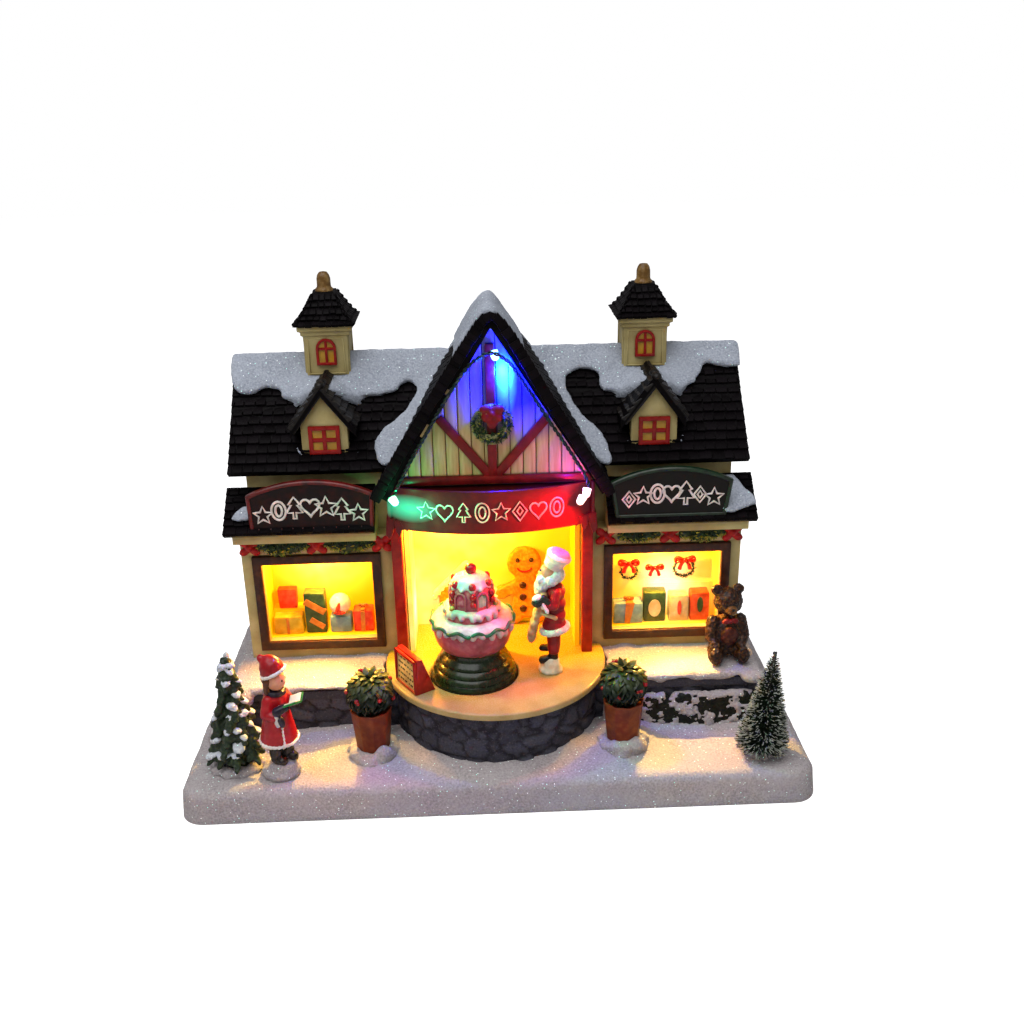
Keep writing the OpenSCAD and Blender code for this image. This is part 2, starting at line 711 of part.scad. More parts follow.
module slide_switch() {
    color("black")
        difference() {
            box([switch_x - free_gap - switch_wall, switch_y - switch_d / 2, cover_top],
                [switch_x - free_gap - switch_wall + switch_w, switch_y + switch_d / 2,
                    cover_top + switch_h]);
            knob_slot(cover_top - cut, cover_top + switch_h - switch_wall);
        }
}

module switch_knob() {
    color("white")
        box([switch_x, switch_y - knob_d / 2, cover_gap + free_gap],
            [switch_x + knob_w, switch_y + knob_d / 2, cover_top + switch_h - switch_wall - free_gap]);
}

module circuit_board() {
    color("darkgreen") translate([board_x, board_y, 0])
        difference() {
            union() {
                block(board_w / 2, board_d / 2, board_z, board_z + board_t);
                block(board_w / 8, board_d / 4, board_z, board_z + 2 * board_t);
            }
            for (k = [-1, 1])
                translate([k * board_w * 0.4, 0, 0])
                    rod(screw_r + run_gap, board_z - cut, board_z + board_t + cut);
        }
}

// Half the angle that a tooth takes up at a radius, by the involute of its base circle
function involute(a) = tan(a) * 180 / PI - a;
function tooth_half(r, teeth, at) =
    let (base_r = r * cos(pressure_angle), a = at > base_r ? acos(base_r / at) : 0)
    90 / teeth - mesh_gap / 2 / r * 90 / PI + involute(pressure_angle) - involute(a);
function gear_outline(teeth) =
    let (r = gear_m * teeth / 2, root = r - 1.25 * gear_m, tip = r + gear_m,
        rise = [root, r - 0.5 * gear_m, r, r + 0.5 * gear_m, tip])
    [for (t = [0 : teeth - 1], k = [0 : 2 * len(rise) - 1])
        let (up = k < len(rise), i = up ? k : 2 * len(rise) - 1 - k,
            a = 360 * t / teeth + (up ? -1 : 1) * tooth_half(r, teeth, rise[i]))
        rise[i] * [cos(a), sin(a)]];

module gear_motor() {
    color("silver")
        translate([turn_x, motor_y, 0])
            difference() {
                union() {
                    rod(gearbox_r, gearbox_top - gearbox_h, gearbox_top);
                    rod(can_r, gearbox_top - gearbox_h - can_h, gearbox_top - gearbox_h / 2);
                    block(ear_x + 2 * screw_r, 2 * screw_r, gearbox_top - ear_t, gearbox_top);
                }
                rod(shaft_r + run_gap, gearbox_top - gearbox_h / 2, gearbox_top + cut);
                for (k = [-1, 1])
                    translate([k * ear_x, 0, 0])
                        rod(screw_r + run_gap, gearbox_top - ear_t - cut, gearbox_top + cut);
            }
}

module motor_pinion() {
    color("ivory")
        translate([turn_x, motor_y, 0]) {
            translate([0, 0, gear_bottom]) rotate([0, 0, 180 / pinion_teeth])
                linear_extrude(gear_face) polygon(gear_outline(pinion_teeth));
            rod(shaft_r, gearbox_top - gearbox_h / 2 + free_gap, gear_top);
        }
}

module turntable_gear() {
    color("ivory")
        translate([turn_x, -turn_y, 0])
            difference() {
                union() {
                    translate([0, 0, gear_bottom])
                        linear_extrude(gear_face) polygon(gear_outline(gear_teeth));
                    rod(3 * spindle_r, gear_bottom, floor_top - floor_t / 2);
                    rod(turn_hole_r - free_gap, disc_bottom, disc_top);
                }
                rod(spindle_r + run_gap, gear_bottom - cut, disc_bottom + run_gap);
            }
}

/* Terrace and display floor */

module stone_terrace() {
    color("slategray")
        difference() {
            union() {
                terrace_block(0, base_h, terrace_top);
                difference() {
                    terrace_block(snow_lip, terrace_top - terrace_snow, terrace_top);
                    bay_block(snow_lip, terrace_top - terrace_snow - cut, terrace_top + cut);
                }
                bay_block(0, base_h, terrace_top);
            }
            terrace_block(-terrace_wall, base_h - cut, terrace_top - terrace_wall);
            bay_block(-terrace_wall, base_h - cut, terrace_top - terrace_wall);
            bay_block(-2 * terrace_wall, terrace_top - terrace_wall - cut, terrace_top + cut);
            box([-room_half + terrace_wall, -bay_y - cut, terrace_top - terrace_wall - cut],
                [room_half - terrace_wall, room_back - terrace_wall, terrace_top + cut]);
            box([-floor_side, -floor_shoulder, terrace_top],
                [floor_side, room_back + lining_t, terrace_top + cut]);
        }
}

module display_floor() {
    color("moccasin")
        difference() {
            union() {
                intersection() {
                    translate([0, -bay_y, terrace_top]) cylinder(r = floor_r, h = floor_t);
                    box([-floor_r, -bay_y - floor_r, terrace_top - cut],
                        [floor_r, -floor_shoulder, floor_top + cut]);
                }
                box([-floor_side, -floor_shoulder - cut, terrace_top],
                    [floor_side, room_back + lining_t, floor_top]);
                for (k = [-1, 1])
                    translate([turn_x + k * ear_x, motor_y, 0])
                        rod(2 * screw_r, gearbox_top, terrace_top + floor_t / 2);
            }
            translate([turn_x, -turn_y, 0]) rod(turn_hole_r, terrace_top - cut, floor_top + cut);
            translate([stand_r + cake_h / 10, -turn_y - cake_r * 0.75, 0])
                rod(lamp_r * 0.6, terrace_top - cut, floor_top + cut);
        }
}

module cake_stand() {
    color("darkgreen")
        translate([turn_x, -turn_y, disc_top])
            rotate_extrude() polygon([for (s = stand_shares) [s[0] * stand_r, s[1] * stand_h]]);
}

module cake_body() {
    color("pink")
        translate([turn_x, -turn_y, disc_top + stand_h])
            rotate_extrude() polygon([for (s = cake_shares) [s[0] * cake_r, s[1] * cake_h]]);
}

module cake_icing() {
    drip_r = cake_r * 0.09;
    color("mintcream")
        translate([turn_x, -turn_y, disc_top + stand_h]) {
            rotate_extrude() polygon([for (s = icing_shares) [s[0] * cake_r, s[1] * cake_h]]);
            for (i = [0 : drips - 1])
                rotate([0, 0, 360 * i / drips])
                    translate([cake_r + drip_r * 0.85, 0, cake_h * 0.32]) sphere(drip_r);
            translate([0, 0, cake_h + cherry_r * 0.97]) sphere(cherry_r);
        }
}

/* Walls, room and windows */

// The shop row's outer form, with every face moved in by a wall's thickness or none
module shop_form(inset, low) {
    half = shop_w / 2 - inset;
    up = upper_w / 2 - inset;
    drop = roof_drop + inset / cos(roof_angle);
    front = upper_front - inset;
    back = shop_back - inset;
    slope = roof_rise / roof_run;
    box([-half, -shop_front + inset, low], [half, back, porch_z - inset]);
    along_x([
        [-front, low], [back, low],
        [back, ridge_z - drop - (back - ridge_y) * slope],
        [ridge_y, ridge_z - drop],
        [-front, ridge_z - drop - (ridge_y + front) * slope]], -up, up);
}

module porch_box(side) {
    on_side(side)
        along_x([
            [-soffit_front, porch_z], [-upper_front, porch_z],
            [-upper_front, porch_high - porch_drop],
            [-soffit_front, porch_low + (porch_front - soffit_front) * porch_rise / porch_run - porch_drop]],
            porch_in, porch_out - roof_t);
}

module window_opening(side, grow, from, to) {
    on_side(side)
        box([window_x - grow, from, window_z - grow],
            [window_x + window_w + grow, to, window_z + window_h + grow]);
}

// The closed beam over the room that carries the gable
module header_form(inset) {
    box([-post_out + inset, -plank_front + plank_t + inset, post_top + inset],
        [post_out - inset, -upper_front + wall_t, banner_top - inset]);
}

module house_body() {
    color("cornsilk")
        difference() {
            union() {
                difference() {
                    union() {
                        shop_form(0, terrace_top);
                        header_form(0);
                    }
                    shop_form(wall_t, terrace_top - cut);
                    header_form(wall_t);
                }
                for (side = [-1, 1]) {
                    porch_box(side);
                    on_side(side)
                        box([post_in, -post_front + post_w, terrace_top], [post_out, -shop_front, post_top]);
                }
            }
            for (side = [-1, 1])
                window_opening(side, 0, -shop_front - cut, -shop_front + wall_t + cut);
            box([-floor_side, -shop_front - cut, terrace_top - cut],
                [floor_side, -upper_front + wall_t + cut, room_top + lining_t]);
        }
}

module room_lining() {
    color("gold")
        difference() {
            box([-floor_side, -shop_front - lining_t, floor_top],
                [floor_side, room_back + lining_t, room_top + lining_t]);
            box([-room_half, -shop_front - lining_t - cut, floor_top - cut],
                [room_half, room_back, room_top]);
        }
}

module display_box(side) {
    back = -shop_front + wall_t + display_d;
    gift_shares = side < 0 ? left_gift_shares : right_gift_shares;
    left = side < 0 ? -window_x - window_w : window_x;
    color("khaki") {
        difference() {
            window_opening(side, display_t, -shop_front + wall_t, back + display_t);
            window_opening(side, 0, -shop_front, back);
        }
        for (g = gift_shares)
            box([left + g[0] * window_w, back - display_d * 0.6, window_z + g[2] * window_h],
                [left + g[1] * window_w, back, window_z + g[3] * window_h]);
        if (side < 0)
            translate([left + window_w * 0.65, back - display_d * 0.35, window_z + window_h * 0.36])
                sphere(window_h * 0.165);
        else
            for (w = wreath_shares)
                translate([left + w[0] * window_w, back, window_z + w[1] * window_h])
                    rotate([90, 0, 0])
                        difference() {
                            cylinder(r = w[2] * window_w, h = display_t);
                            translate([0, 0, -cut])
                                cylinder(r = w[2] * window_w / 2, h = display_t + 2 * cut);
                        }
    }
}

module window_frame(side) {
    color("saddlebrown")
        difference() {
            window_opening(side, frame_w, -shop_front - frame_t, -shop_front);
            window_opening(side, 0, -shop_front - frame_t - cut, -shop_front + cut);
        }
}

// All that lies behind the front wall about a place
module behind(x, z) {
    box([x - window_w, -shop_front, z - window_w], [x + 2 * window_w, window_w, z + window_w]);
}

// Two holly swags between three bows, along the top of a window
module garland(side) {
    span = (window_w + 2 * frame_w) / 2;
    beads = 6;
    z = window_z + window_h + frame_w + swag_r * 2;
    color("darkgreen")
        on_side(side)
            difference() {
                for (k = [0, 1]) {
                    x = window_x - frame_w + k * span;
                    for (i = [0 : beads - 2])
                        hull()
                            for (j = [i, i + 1])
                                translate([x + span * j / (beads - 1), -shop_front,
                                    z - swag_r * 0.6 * sin(180 * j / (beads - 1))])
                                    sphere(swag_r, $fn = coarse_fn);
                }
                behind(window_x, z);
            }
    color("red")
        on_side(side)
            difference() {
                for (k = [0, 1, 2])
                    translate([window_x - frame_w + k * span, -shop_front - swag_r * 0.7, z + swag_r * 0.3])
                        bow(bow_r);
                behind(window_x, z);
            }
}

module post(side) {
    color("firebrick")
        on_side(side)
            box([post_in, -post_front, terrace_top], [post_out, -post_front + post_w, post_top]);
}

// The curved board over the room: its face bows forward, and a flat top closes it
module banner_form(inset, from, to) {
    reach = post_out - inset;
    back = -plank_front + plank_t;
    rad = (post_out * post_out + banner_bow * banner_bow) / 2 / banner_bow;
    intersection() {
        translate([0, rad - plank_front - banner_bow, 0]) rod(rad - inset, from, to, $fn = 128);
        box([-reach, -plank_front - banner_bow - cut, from - cut], [reach, back, to + cut]);
    }
    box([-reach, -plank_front, from], [reach, back, to]);
}

module banner() {
    color("firebrick")
        difference() {
            banner_form(0, post_top, banner_top);
            banner_form(banner_t, post_top - cut, banner_top - banner_t);
            box([-post_out + banner_t, -plank_front - plank_t, post_top - cut],
                [post_out - banner_t, -plank_front + plank_t + cut, banner_top - banner_t]);
        }
}

/* Gable */

// The gable roof's profile: its outer or inner slopes, down to the foot
function gable_profile(half, peak) =
    [[gable_x - half, gable_foot], [gable_x + half, gable_foot], [gable_x, peak]];

// The gable's closed form: a prism that ends in a hip behind its ridge
module gable_form(half, peak, front) {
    share = (ridge_z - gable_foot) / (peak - gable_foot);
    thin = cut / 10;
    hull() {
        along_y(gable_profile(half, peak), front, gable_ridge_back);
        along_y([
            [gable_x - half, gable_foot], [gable_x + half, gable_foot],
            [gable_x + half * (1 - share), ridge_z], [gable_x - half * (1 - share), ridge_z]],
            ridge_y - thin, ridge_y);
    }
}

// All that lies under the main roof's outer faces
module under_main_roof() {
    along_x([
        [-upper_front, terrace_top], [shop_back, terrace_top],
        [shop_back, eave_z - roof_drop], [eave_back, eave_z - roof_drop], [eave_back, eave_z],
        [ridge_y, ridge_z],
        [-eave_front, eave_z], [-eave_front, eave_z - roof_drop], [-upper_front, eave_z - roof_drop]],
        -roof_w / 2, roof_w / 2);
}

// The triangle above the banner that the gable's slopes leave open
module gable_panel(from, to) {
    half = gable_in - (banner_top - gable_foot) * gable_half / gable_h;
    along_y([[gable_x - half, banner_top], [gable_x + half, banner_top], [gable_x, gable_in_peak]], from, to);
}

module gable_wall() {
    color("ivory")
        difference() {
            gable_panel(-plank_front, -plank_front + plank_t);
            for (x = [plank_pitch / 2 : plank_pitch : gable_half], side = [-1, 1])
                translate([gable_x + side * x - timber_t / 4, -plank_front - cut, banner_top])
                    cube([timber_t / 2, cut + timber_t / 2, gable_h]);
        }
}

module gable_timbers() {
    color("firebrick")
        intersection() {
            gable_panel(-plank_front - timber_t, -plank_front);
            translate([gable_x, -plank_front - timber_t, banner_top]) {
                box([-gable_half, 0, 0], [gable_half, timber_t, timber_w]);
                box([-timber_w / 2, 0, 0], [timber_w / 2, timber_t, gable_h]);
                for (side = [-1, 1])
                    translate([0, 0, timber_w / 2]) rotate([0, side * brace_angle, 0])
                        box([-timber_w / 2, 0, 0], [timber_w / 2, timber_t, gable_half]);
            }
        }
}

module gable_roof() {
    color("#2b2b2e")
        difference() {
            gable_form(gable_half, gable_peak, -gable_front);
            gable_form_inner();
            under_main_roof();
            box([-post_out, -gable_front - cut, gable_foot - cut], [post_out, 0, banner_top]);
        }
}

module gable_form_inner() {
    along_y([
        [gable_x - gable_in, gable_foot], [gable_x - gable_in, gable_foot - cut],
        [gable_x + gable_in, gable_foot - cut], [gable_x + gable_in, gable_foot], [gable_x, gable_in_peak]],
        -gable_front - cut, gable_ridge_back - gable_t);
}

module gable_snow() {
    grow = roof_snow_t / sin(gable_angle);
    rise = roof_snow_t / cos(gable_angle);
    set_back = gable_t * 1.2;
    color("white")
        difference() {
            gable_form(gable_half + grow, gable_peak + rise, -gable_front + set_back);
            gable_form(gable_half, gable_peak, -gable_front);
            under_main_roof();
            snow_lower_cut();
            box([-gable_w, -gable_front, gable_foot - cut], [gable_w, ridge_y, eave_z + roof_t]);
        }
}

module snow_lower_cut() {
    along_x([
        [-upper_front - roof_t, gable_foot], [ridge_y + cut, gable_foot],
        [ridge_y + cut, ridge_z + roof_snow_t * 1.5],
        [ridge_y, ridge_z + roof_snow_t / cos(roof_angle)],
        [-eave_front, eave_z + roof_snow_t / cos(roof_angle)]],
        -roof_w / 2, roof_w / 2);
}

module gable_wreath() {
    leaves = 14;
    ring = wreath_r * 0.74;
    y = -plank_front - timber_t;
    difference() {
        translate([gable_x, y - wreath_r * 0.1, wreath_z]) {
            color("darkgreen")
                for (i = [0 : leaves - 1])
                    hull()
                        for (j = [i, i + 1])
                            rotate([0, 360 * j / leaves, 0]) translate([ring, 0, 0])
                                sphere(wreath_r * 0.25, $fn = coarse_fn);
            color("red") translate([0, -wreath_r * 0.1, wreath_r * 0.7]) bow(wreath_r * 0.6);
        }
        box([gable_x - gable_half, y, wreath_z - gable_half], [gable_x + gable_half, 0, wreath_z + gable_half]);
    }
}

// The lamp wire under the gable's eaves, as shares of the inner half width and rise
wire_r = 0.7;
wire_y = gable_front - gable_t / 2;
wire_shares = [
    [-0.93, 0.02], [-0.80, 0.16], [-0.62, 0.34], [-0.42, 0.54], [-0.22, 0.74], [-0.08, 0.875],
    [0, 0.91], [0.08, 0.875], [0.22, 0.74], [0.42, 0.54], [0.62, 0.34], [0.80, 0.16], [0.93, 0.02]];
wire_steps = 3;
wire_sides = 8;

// A smooth curve through the wire's points, and the direction at each
function wire_point(i) =
    let (s = wire_shares[min(max(i, 0), len(wire_shares) - 1)])
    [gable_x + s[0] * (gable_in - wire_r), -wire_y, gable_foot + s[1] * (gable_in_peak - gable_foot)];
function wire_at(i, t) =
    let (a = wire_point(i - 1), b = wire_point(i), c = wire_point(i + 1), d = wire_point(i + 2))
    0.5 * (2 * b + (c - a) * t + (2 * a - 5 * b + 4 * c - d) * t * t + (3 * b - a - 3 * c + d) * t * t * t);
wire_path = [
    for (i = [0 : len(wire_shares) - 2], k = [0 : wire_steps - 1]) wire_at(i, k / wire_steps),
    wire_point(len(wire_shares) - 1)];
function wire_ring(i) =
    let (last = len(wire_path) - 1, d = wire_path[min(i + 1, last)] - wire_path[max(i - 1, 0)],
        side = [d[2], 0, -d[0]] / norm(d))
    [for (k = [0 : wire_sides - 1])
        wire_path[i] + wire_r * (cos(360 * k / wire_sides) * side + sin(360 * k / wire_sides) * [0, 1, 0])];

module light_string() {
    rings = len(wire_path);
    points = [for (i = [0 : rings - 1]) each wire_ring(i)];
    faces = [
        for (i = [0 : rings - 2], k = [0 : wire_sides - 1])
            let (a = i * wire_sides + k, b = i * wire_sides + (k + 1) % wire_sides)
            each [[a, a + wire_sides, b + wire_sides], [a, b + wire_sides, b]],
        for (k = [1 : wire_sides - 2]) each [
            [0, k, k + 1],
            [(rings - 1) * wire_sides, (rings - 1) * wire_sides + k + 1, (rings - 1) * wire_sides + k]]];
    color("darkslategray")
        difference() {
            polyhedron(points, faces);
            translate([0, 0, -lamp_r]) for (p = lamp_places) lamp_cut(p);
        }
}

lamp_places = [wire_path[0], wire_path[floor(len(wire_path) / 2)], wire_path[len(wire_path) - 1]];

module lamp_cut(p) {
    translate(p) cylinder(r = lamp_r, h = 2 * lamp_r, $fn = round_fn);
}

module string_lamps() {
    color("royalblue")
        for (p = lamp_places)
            translate(p - [0, 0, lamp_r]) {
                cylinder(r = lamp_r, h = 2 * lamp_r, $fn = round_fn);
                sphere(lamp_r, $fn = round_fn);
            }
}

// Warm lamps that hang from the ceilings of the room and of the two displays
module shop_lamps() {
    color("khaki") {
        translate([-room_half * 0.55, -shop_front, room_top]) hanging_lamp();
        for (side = [-1, 1])
            translate([side * (window_x + window_w / 2), -shop_front + wall_t + display_d / 3,
                window_z + window_h])
                hanging_lamp();
    }
}

module hanging_lamp() {
    translate([0, 0, -2 * lamp_r]) {
        cylinder(r = lamp_r, h = 2 * lamp_r);
        sphere(lamp_r);
    }
}

/* Roofs, signs, dormers and cupolas */

// Shingle courses from an eave up a slope, in the slope's own plane
module shingles(length, angle, count, half_from, half_to, eave) {
    translate([0, eave[0], eave[1]]) rotate([angle, 0, 0])
        translate([0, 0, -roof_t])
            along_x(concat([[0, 0]], course_points(length, roof_t, count), [[length, 0]]),
                half_from, half_to);
}

module front_slope() {
    shingles(roof_len + roof_t, roof_angle, courses, -roof_w / 2, roof_w / 2, [-eave_front, eave_z]);
}

module main_roof() {
    run = 3 * roof_t;
    rise = run * roof_rise / roof_run;
    half = roof_w / 2 + cut;
    color("#2b2b2e")
        difference() {
            union() {
                front_slope();
                translate([0, 2 * ridge_y, 0]) mirror([0, 1, 0]) front_slope();
            }
            along_x([
                [ridge_y, ridge_z], [ridge_y + run, ridge_z - rise], [ridge_y + run, ridge_z + rise],
                [ridge_y - run, ridge_z + rise], [ridge_y - run, ridge_z - rise]], -half, half);
            along_x([
                [-eave_front, eave_z - roof_drop], [ridge_y, ridge_z - roof_drop],
                [eave_back, eave_z - roof_drop]], -half, half);
        }
}

// A blanket of snow on one slope, from the ridge down to its wavy edge
module slope_snow(edge_shares) {
    half = roof_w / 2;
    translate([0, -eave_front, eave_z]) rotate([roof_angle, 0, 0])
        linear_extrude(roof_snow_t)
            polygon(concat(
                [for (s = edge_shares) [-half + s[0] * roof_w, roof_len * (1 - s[1])]],
                [[half, roof_len + roof_t], [-half, roof_len + roof_t]]));
}

module roof_snow() {
    half = roof_w / 2;
    color("white")
        difference() {
            union() {
                intersection() {
                    slope_snow(front_snow_shares);
                    box([-half, -eave_front - roof_t, eave_z], [half, ridge_y, gable_peak]);
                }
                intersection() {
                    translate([0, 2 * ridge_y, 0]) mirror([0, 1, 0]) slope_snow(back_snow_shares);
                    box([-half, ridge_y, eave_z], [half, eave_back + roof_t, gable_peak]);
                }
            }
            gable_form(gable_half, gable_peak, -gable_front);
            for (side = [-1, 1]) on_side(side) dormer_form(0);
        }
}

module porch_roof(side) {
    color("#2b2b2e")
        on_side(side)
            difference() {
                shingles(porch_len + roof_t, porch_angle, round(courses / 2), porch_in, porch_out,
                    [-porch_front, porch_low]);
                box([0, -upper_front, porch_low - cut], [roof_w, shop_back, porch_high + 3 * roof_t]);
            }
}

// A board with an arched top; the panel form is the same shape drawn in by a rim
module sign_form(inset, from, to) {
    half = sign_w / 2 - inset;
    side_z = sign_h - sign_rise;
    rad = (sign_w * sign_w / 4 + sign_rise * sign_rise) / 2 / sign_rise;
    intersection() {
        box([-half, from, inset], [half, to, sign_h]);
        translate([0, to, sign_h - rad]) rotate([90, 0, 0])
            cylinder(r = rad - inset, h = to - from, $fn = 160);
    }
}

module sign(side) {
    mid = (porch_in + porch_out - 2 * roof_t) / 2 - window_w / 40;
    rim = sign_t / 2;
    color("#3a1f1a")
        on_side(side)
            difference() {
                translate([mid, -porch_front + roof_t / 2, porch_low]) {
                    difference() {
                        sign_form(0, 0, sign_t);
                        sign_form(rim, -cut, rim / 2);
                    }
                }
                along_x([
                    [-porch_front, porch_low], [-upper_front, porch_high],
                    [-upper_front, gable_foot - sign_h * 2], [-porch_front, gable_foot - sign_h * 2]],
                    porch_in - cut, porch_out + cut);
            }
}

// A dormer's closed form under its roof's outer faces, set forward by an overhang
module dormer_form(forward) {
    along_y([
        [dormer_x - dormer_half, dormer_eave], [dormer_x + dormer_half, dormer_eave],
        [dormer_x, dormer_peak]], -dormer_front - forward, ridge_y);
}

module dormer(side) {
    half = dormer_w / 2;
    wall_top = dormer_eave + dormer_over * dormer_slope - dormer_drop;
    color("cornsilk")
        on_side(side)
            difference() {
                along_y([
                    [dormer_x - half, eave_z], [dormer_x + half, eave_z], [dormer_x + half, wall_top],
                    [dormer_x, dormer_peak - dormer_drop], [dormer_x - half, wall_top]],
                    -dormer_front, ridge_y);
                under_main_roof();
                roof_snow_cut();
                box([dormer_x - half / 1.5, -dormer_front - cut, eave_z + half / 1.5],
                    [dormer_x + half / 1.5, -dormer_front + timber_t, dormer_eave]);
            }
}

// Keeps the back of a dormer below the ridge's snow
module roof_snow_cut() {
    box([0, ridge_y - roof_t, eave_z], [roof_w, ridge_y + cut, gable_peak]);
}

module dormer_roof(side) {
    color("#2b2b2e")
        on_side(side)
            difference() {
                along_y([
                    [dormer_x - dormer_half, dormer_eave], [dormer_x, dormer_peak],
                    [dormer_x + dormer_half, dormer_eave], [dormer_x + dormer_half, dormer_eave - dormer_drop],
                    [dormer_x, dormer_peak - dormer_drop], [dormer_x - dormer_half, dormer_eave - dormer_drop]],
                    -dormer_front - dormer_over, ridge_y);
                under_main_roof();
                roof_snow_cut();
            }
}

module cupola(side) {
    half = cupola_w / 2;
    ledge = half + roof_t / 3;
    arch_r = half / 2.4;
    color("cornsilk")
        on_side(side)
            difference() {
                union() {
                    translate([cupola_x, ridge_y, 0]) {
                        block(half, half, ridge_z - half, cupola_top);
                        block(ledge, ledge, cupola_top - roof_t / 2, cupola_top);
                    }
                }
                snow_form();
                dormer_form(dormer_over);
                translate([cupola_x, ridge_y - half + timber_t / 2, cupola_top - cupola_w * 0.36]) {
                    box([-arch_r, -timber_t / 2 - cut, -cupola_w * 0.46], [arch_r, 0, 0]);
                    rotate([90, 0, 0]) cylinder(r = arch_r, h = timber_t / 2 + cut);
                }
            }
}

// All that lies under the snow on the main roof
module snow_form() {
    rise = roof_snow_t / cos(roof_angle);
    along_x([
        [-eave_front, eave_z - roof_drop], [-eave_front, eave_z + rise], [ridge_y, ridge_z + rise],
        [eave_back, eave_z + rise], [eave_back, eave_z - roof_drop]],
        -roof_w / 2, roof_w / 2);
}

module cupola_roof(side) {
    eave = cupola_eave * sqrt(2);
    waist = finial_r * 0.75 * sqrt(2);
    h = cupola_roof_h;
    color("#2b2b2e")
        on_side(side)
            translate([cupola_x, ridge_y, cupola_top]) {
                rotate([0, 0, 45]) {
                    cylinder(r = eave, h = h / 8, $fn = 4);
                    translate([0, 0, h / 8])
                        cylinder(r1 = eave, r2 = (eave + waist) / 2, h = h * 0.375, $fn = 4);
                    translate([0, 0, h / 2])
                        cylinder(r1 = (eave + waist) / 2, r2 = waist, h = h / 2, $fn = 4);
                }
                color("darkgoldenrod") {
                    rod(finial_r * 1.15, h, h + finial_r * 0.7);
                    rod(finial_r, h, h + finial_r * 1.4);
                    translate([0, 0, h + finial_r * 1.4]) sphere(finial_r);
                }
            }
}

/* Figures, trees and small pieces */

module gingerbread_figure() {
    color("peru")
        translate([biscuit_h * 0.4, room_back, floor_top])
            intersection() {
                for (s = biscuit_limb_shares)
                    hull()
                        for (k = [0, 3])
                            translate([s[k], 0, s[k + 1]] * biscuit_h) rotate([90, 0, 0])
                                cylinder(r = s[k + 2] * biscuit_h, h = biscuit_t, $fn = round_fn);
                box([-biscuit_h, -biscuit_t, 0], [biscuit_h, 0, 2 * biscuit_h]);
            }
}

module gingerbread_house() {
    half = biscuit_house_h / 2;
    mid = -half * 0.74;
    color("sienna")
        along_y([
            [mid - half, floor_top], [mid + half * 0.74, floor_top], [mid + half * 0.74, floor_top + half],
            [mid, floor_top + 2 * half], [mid - half, floor_top + half]],
            room_back - biscuit_t, room_back);
}

module chef() {
    color("firebrick")
        translate([bay_r / 2, -terrace_front, floor_top]) figure(chef_limb_shares, chef_h);
}

module carol_singer() {
    color("firebrick")
        translate([-base_w * 0.344, -base_d * 0.415, base_h]) figure(singer_limb_shares, singer_h);
}

module bear() {
    color("saddlebrown")
        translate([terrace_w * 0.448, -terrace_front + bear_h * 0.25, terrace_top])
            figure(bear_limb_shares, bear_h);
}

module snowy_tree() {
    color("seagreen")
        translate([-base_w * 0.415, -base_d * 0.365, base_h]) {
            for (s = cast_tree_shares)
                translate([0, 0, s[1] * cast_tree_h])
                    cylinder(r1 = s[2] * cast_tree_r, r2 = s[2] * cast_tree_r / 8,
                        h = (s[0] - s[1]) * cast_tree_h);
            cylinder(r = cast_tree_r / 3, h = cast_tree_h / 4);
            cylinder(r1 = cast_tree_r * 0.7, r2 = cast_tree_r * 0.5, h = cast_tree_h * 0.06);
        }
}

// Bristles stand out of a twisted core, one from each of its faces
brush_sides = 12;
brush_rows = 32;
brush_core = 1.1;
// Where the bristles start and end, as shares of the tree's height
brush_foot_share = 0.16;
brush_top_share = 0.94;
function brush_level(t) = brush_h * (brush_foot_share + (brush_top_share - brush_foot_share) * t);
function brush_reach(t) = brush_r * (1 - 0.92 * pow(t, 1.15)) * (t < 0.06 ? 0.8 : 1);
function brush_turn(j) = 360 / brush_sides * j * 0.37;
function brush_core_point(i, j) =
    let (a = 360 * i / brush_sides + brush_turn(j))
    [brush_core * cos(a), brush_core * sin(a), brush_level(j / brush_rows)];
function brush_tip(i, j) =
    let (t = (j + 0.5) / brush_rows, a = 360 * (i + 0.5) / brush_sides + brush_turn(j + 0.5),
        reach = brush_core + brush_reach(t) * (0.88 + 0.12 * ((i * 7 + j * 5) % 4) / 3))
    [reach * cos(a), reach * sin(a), brush_level(t) + brush_r * 0.28 * (1 - t)];

module bottle_brush_tree() {
    core = brush_sides * (brush_rows + 1);
    points = concat(
        [for (j = [0 : brush_rows], i = [0 : brush_sides - 1]) brush_core_point(i, j)],
        [for (j = [0 : brush_rows - 1], i = [0 : brush_sides - 1]) brush_tip(i, j)],
        [[0, 0, brush_level(0)], [0, 0, brush_h]]);
    bottom = len(points) - 2;
    faces = [
        for (j = [0 : brush_rows - 1], i = [0 : brush_sides - 1])
            let (n = (i + 1) % brush_sides, a = j * brush_sides + i, b = j * brush_sides + n,
                c = b + brush_sides, d = a + brush_sides, tip = core + a)
            each [[b, a, tip], [c, b, tip], [d, c, tip], [a, d, tip]],
        for (i = [0 : brush_sides - 1])
            let (n = (i + 1) % brush_sides, top = brush_rows * brush_sides)
            each [[i, n, bottom], [top + n, top + i, bottom + 1]]];
    color("darkolivegreen")
        translate([base_w * 0.416, -base_d * 0.4, base_h]) {
            polyhedron(points, faces);
            cylinder(r = brush_core * 0.8, h = brush_h * 0.5);
            cylinder(r1 = brush_r * 0.5, r2 = brush_r * 0.36, h = brush_h * 0.09);
        }
}

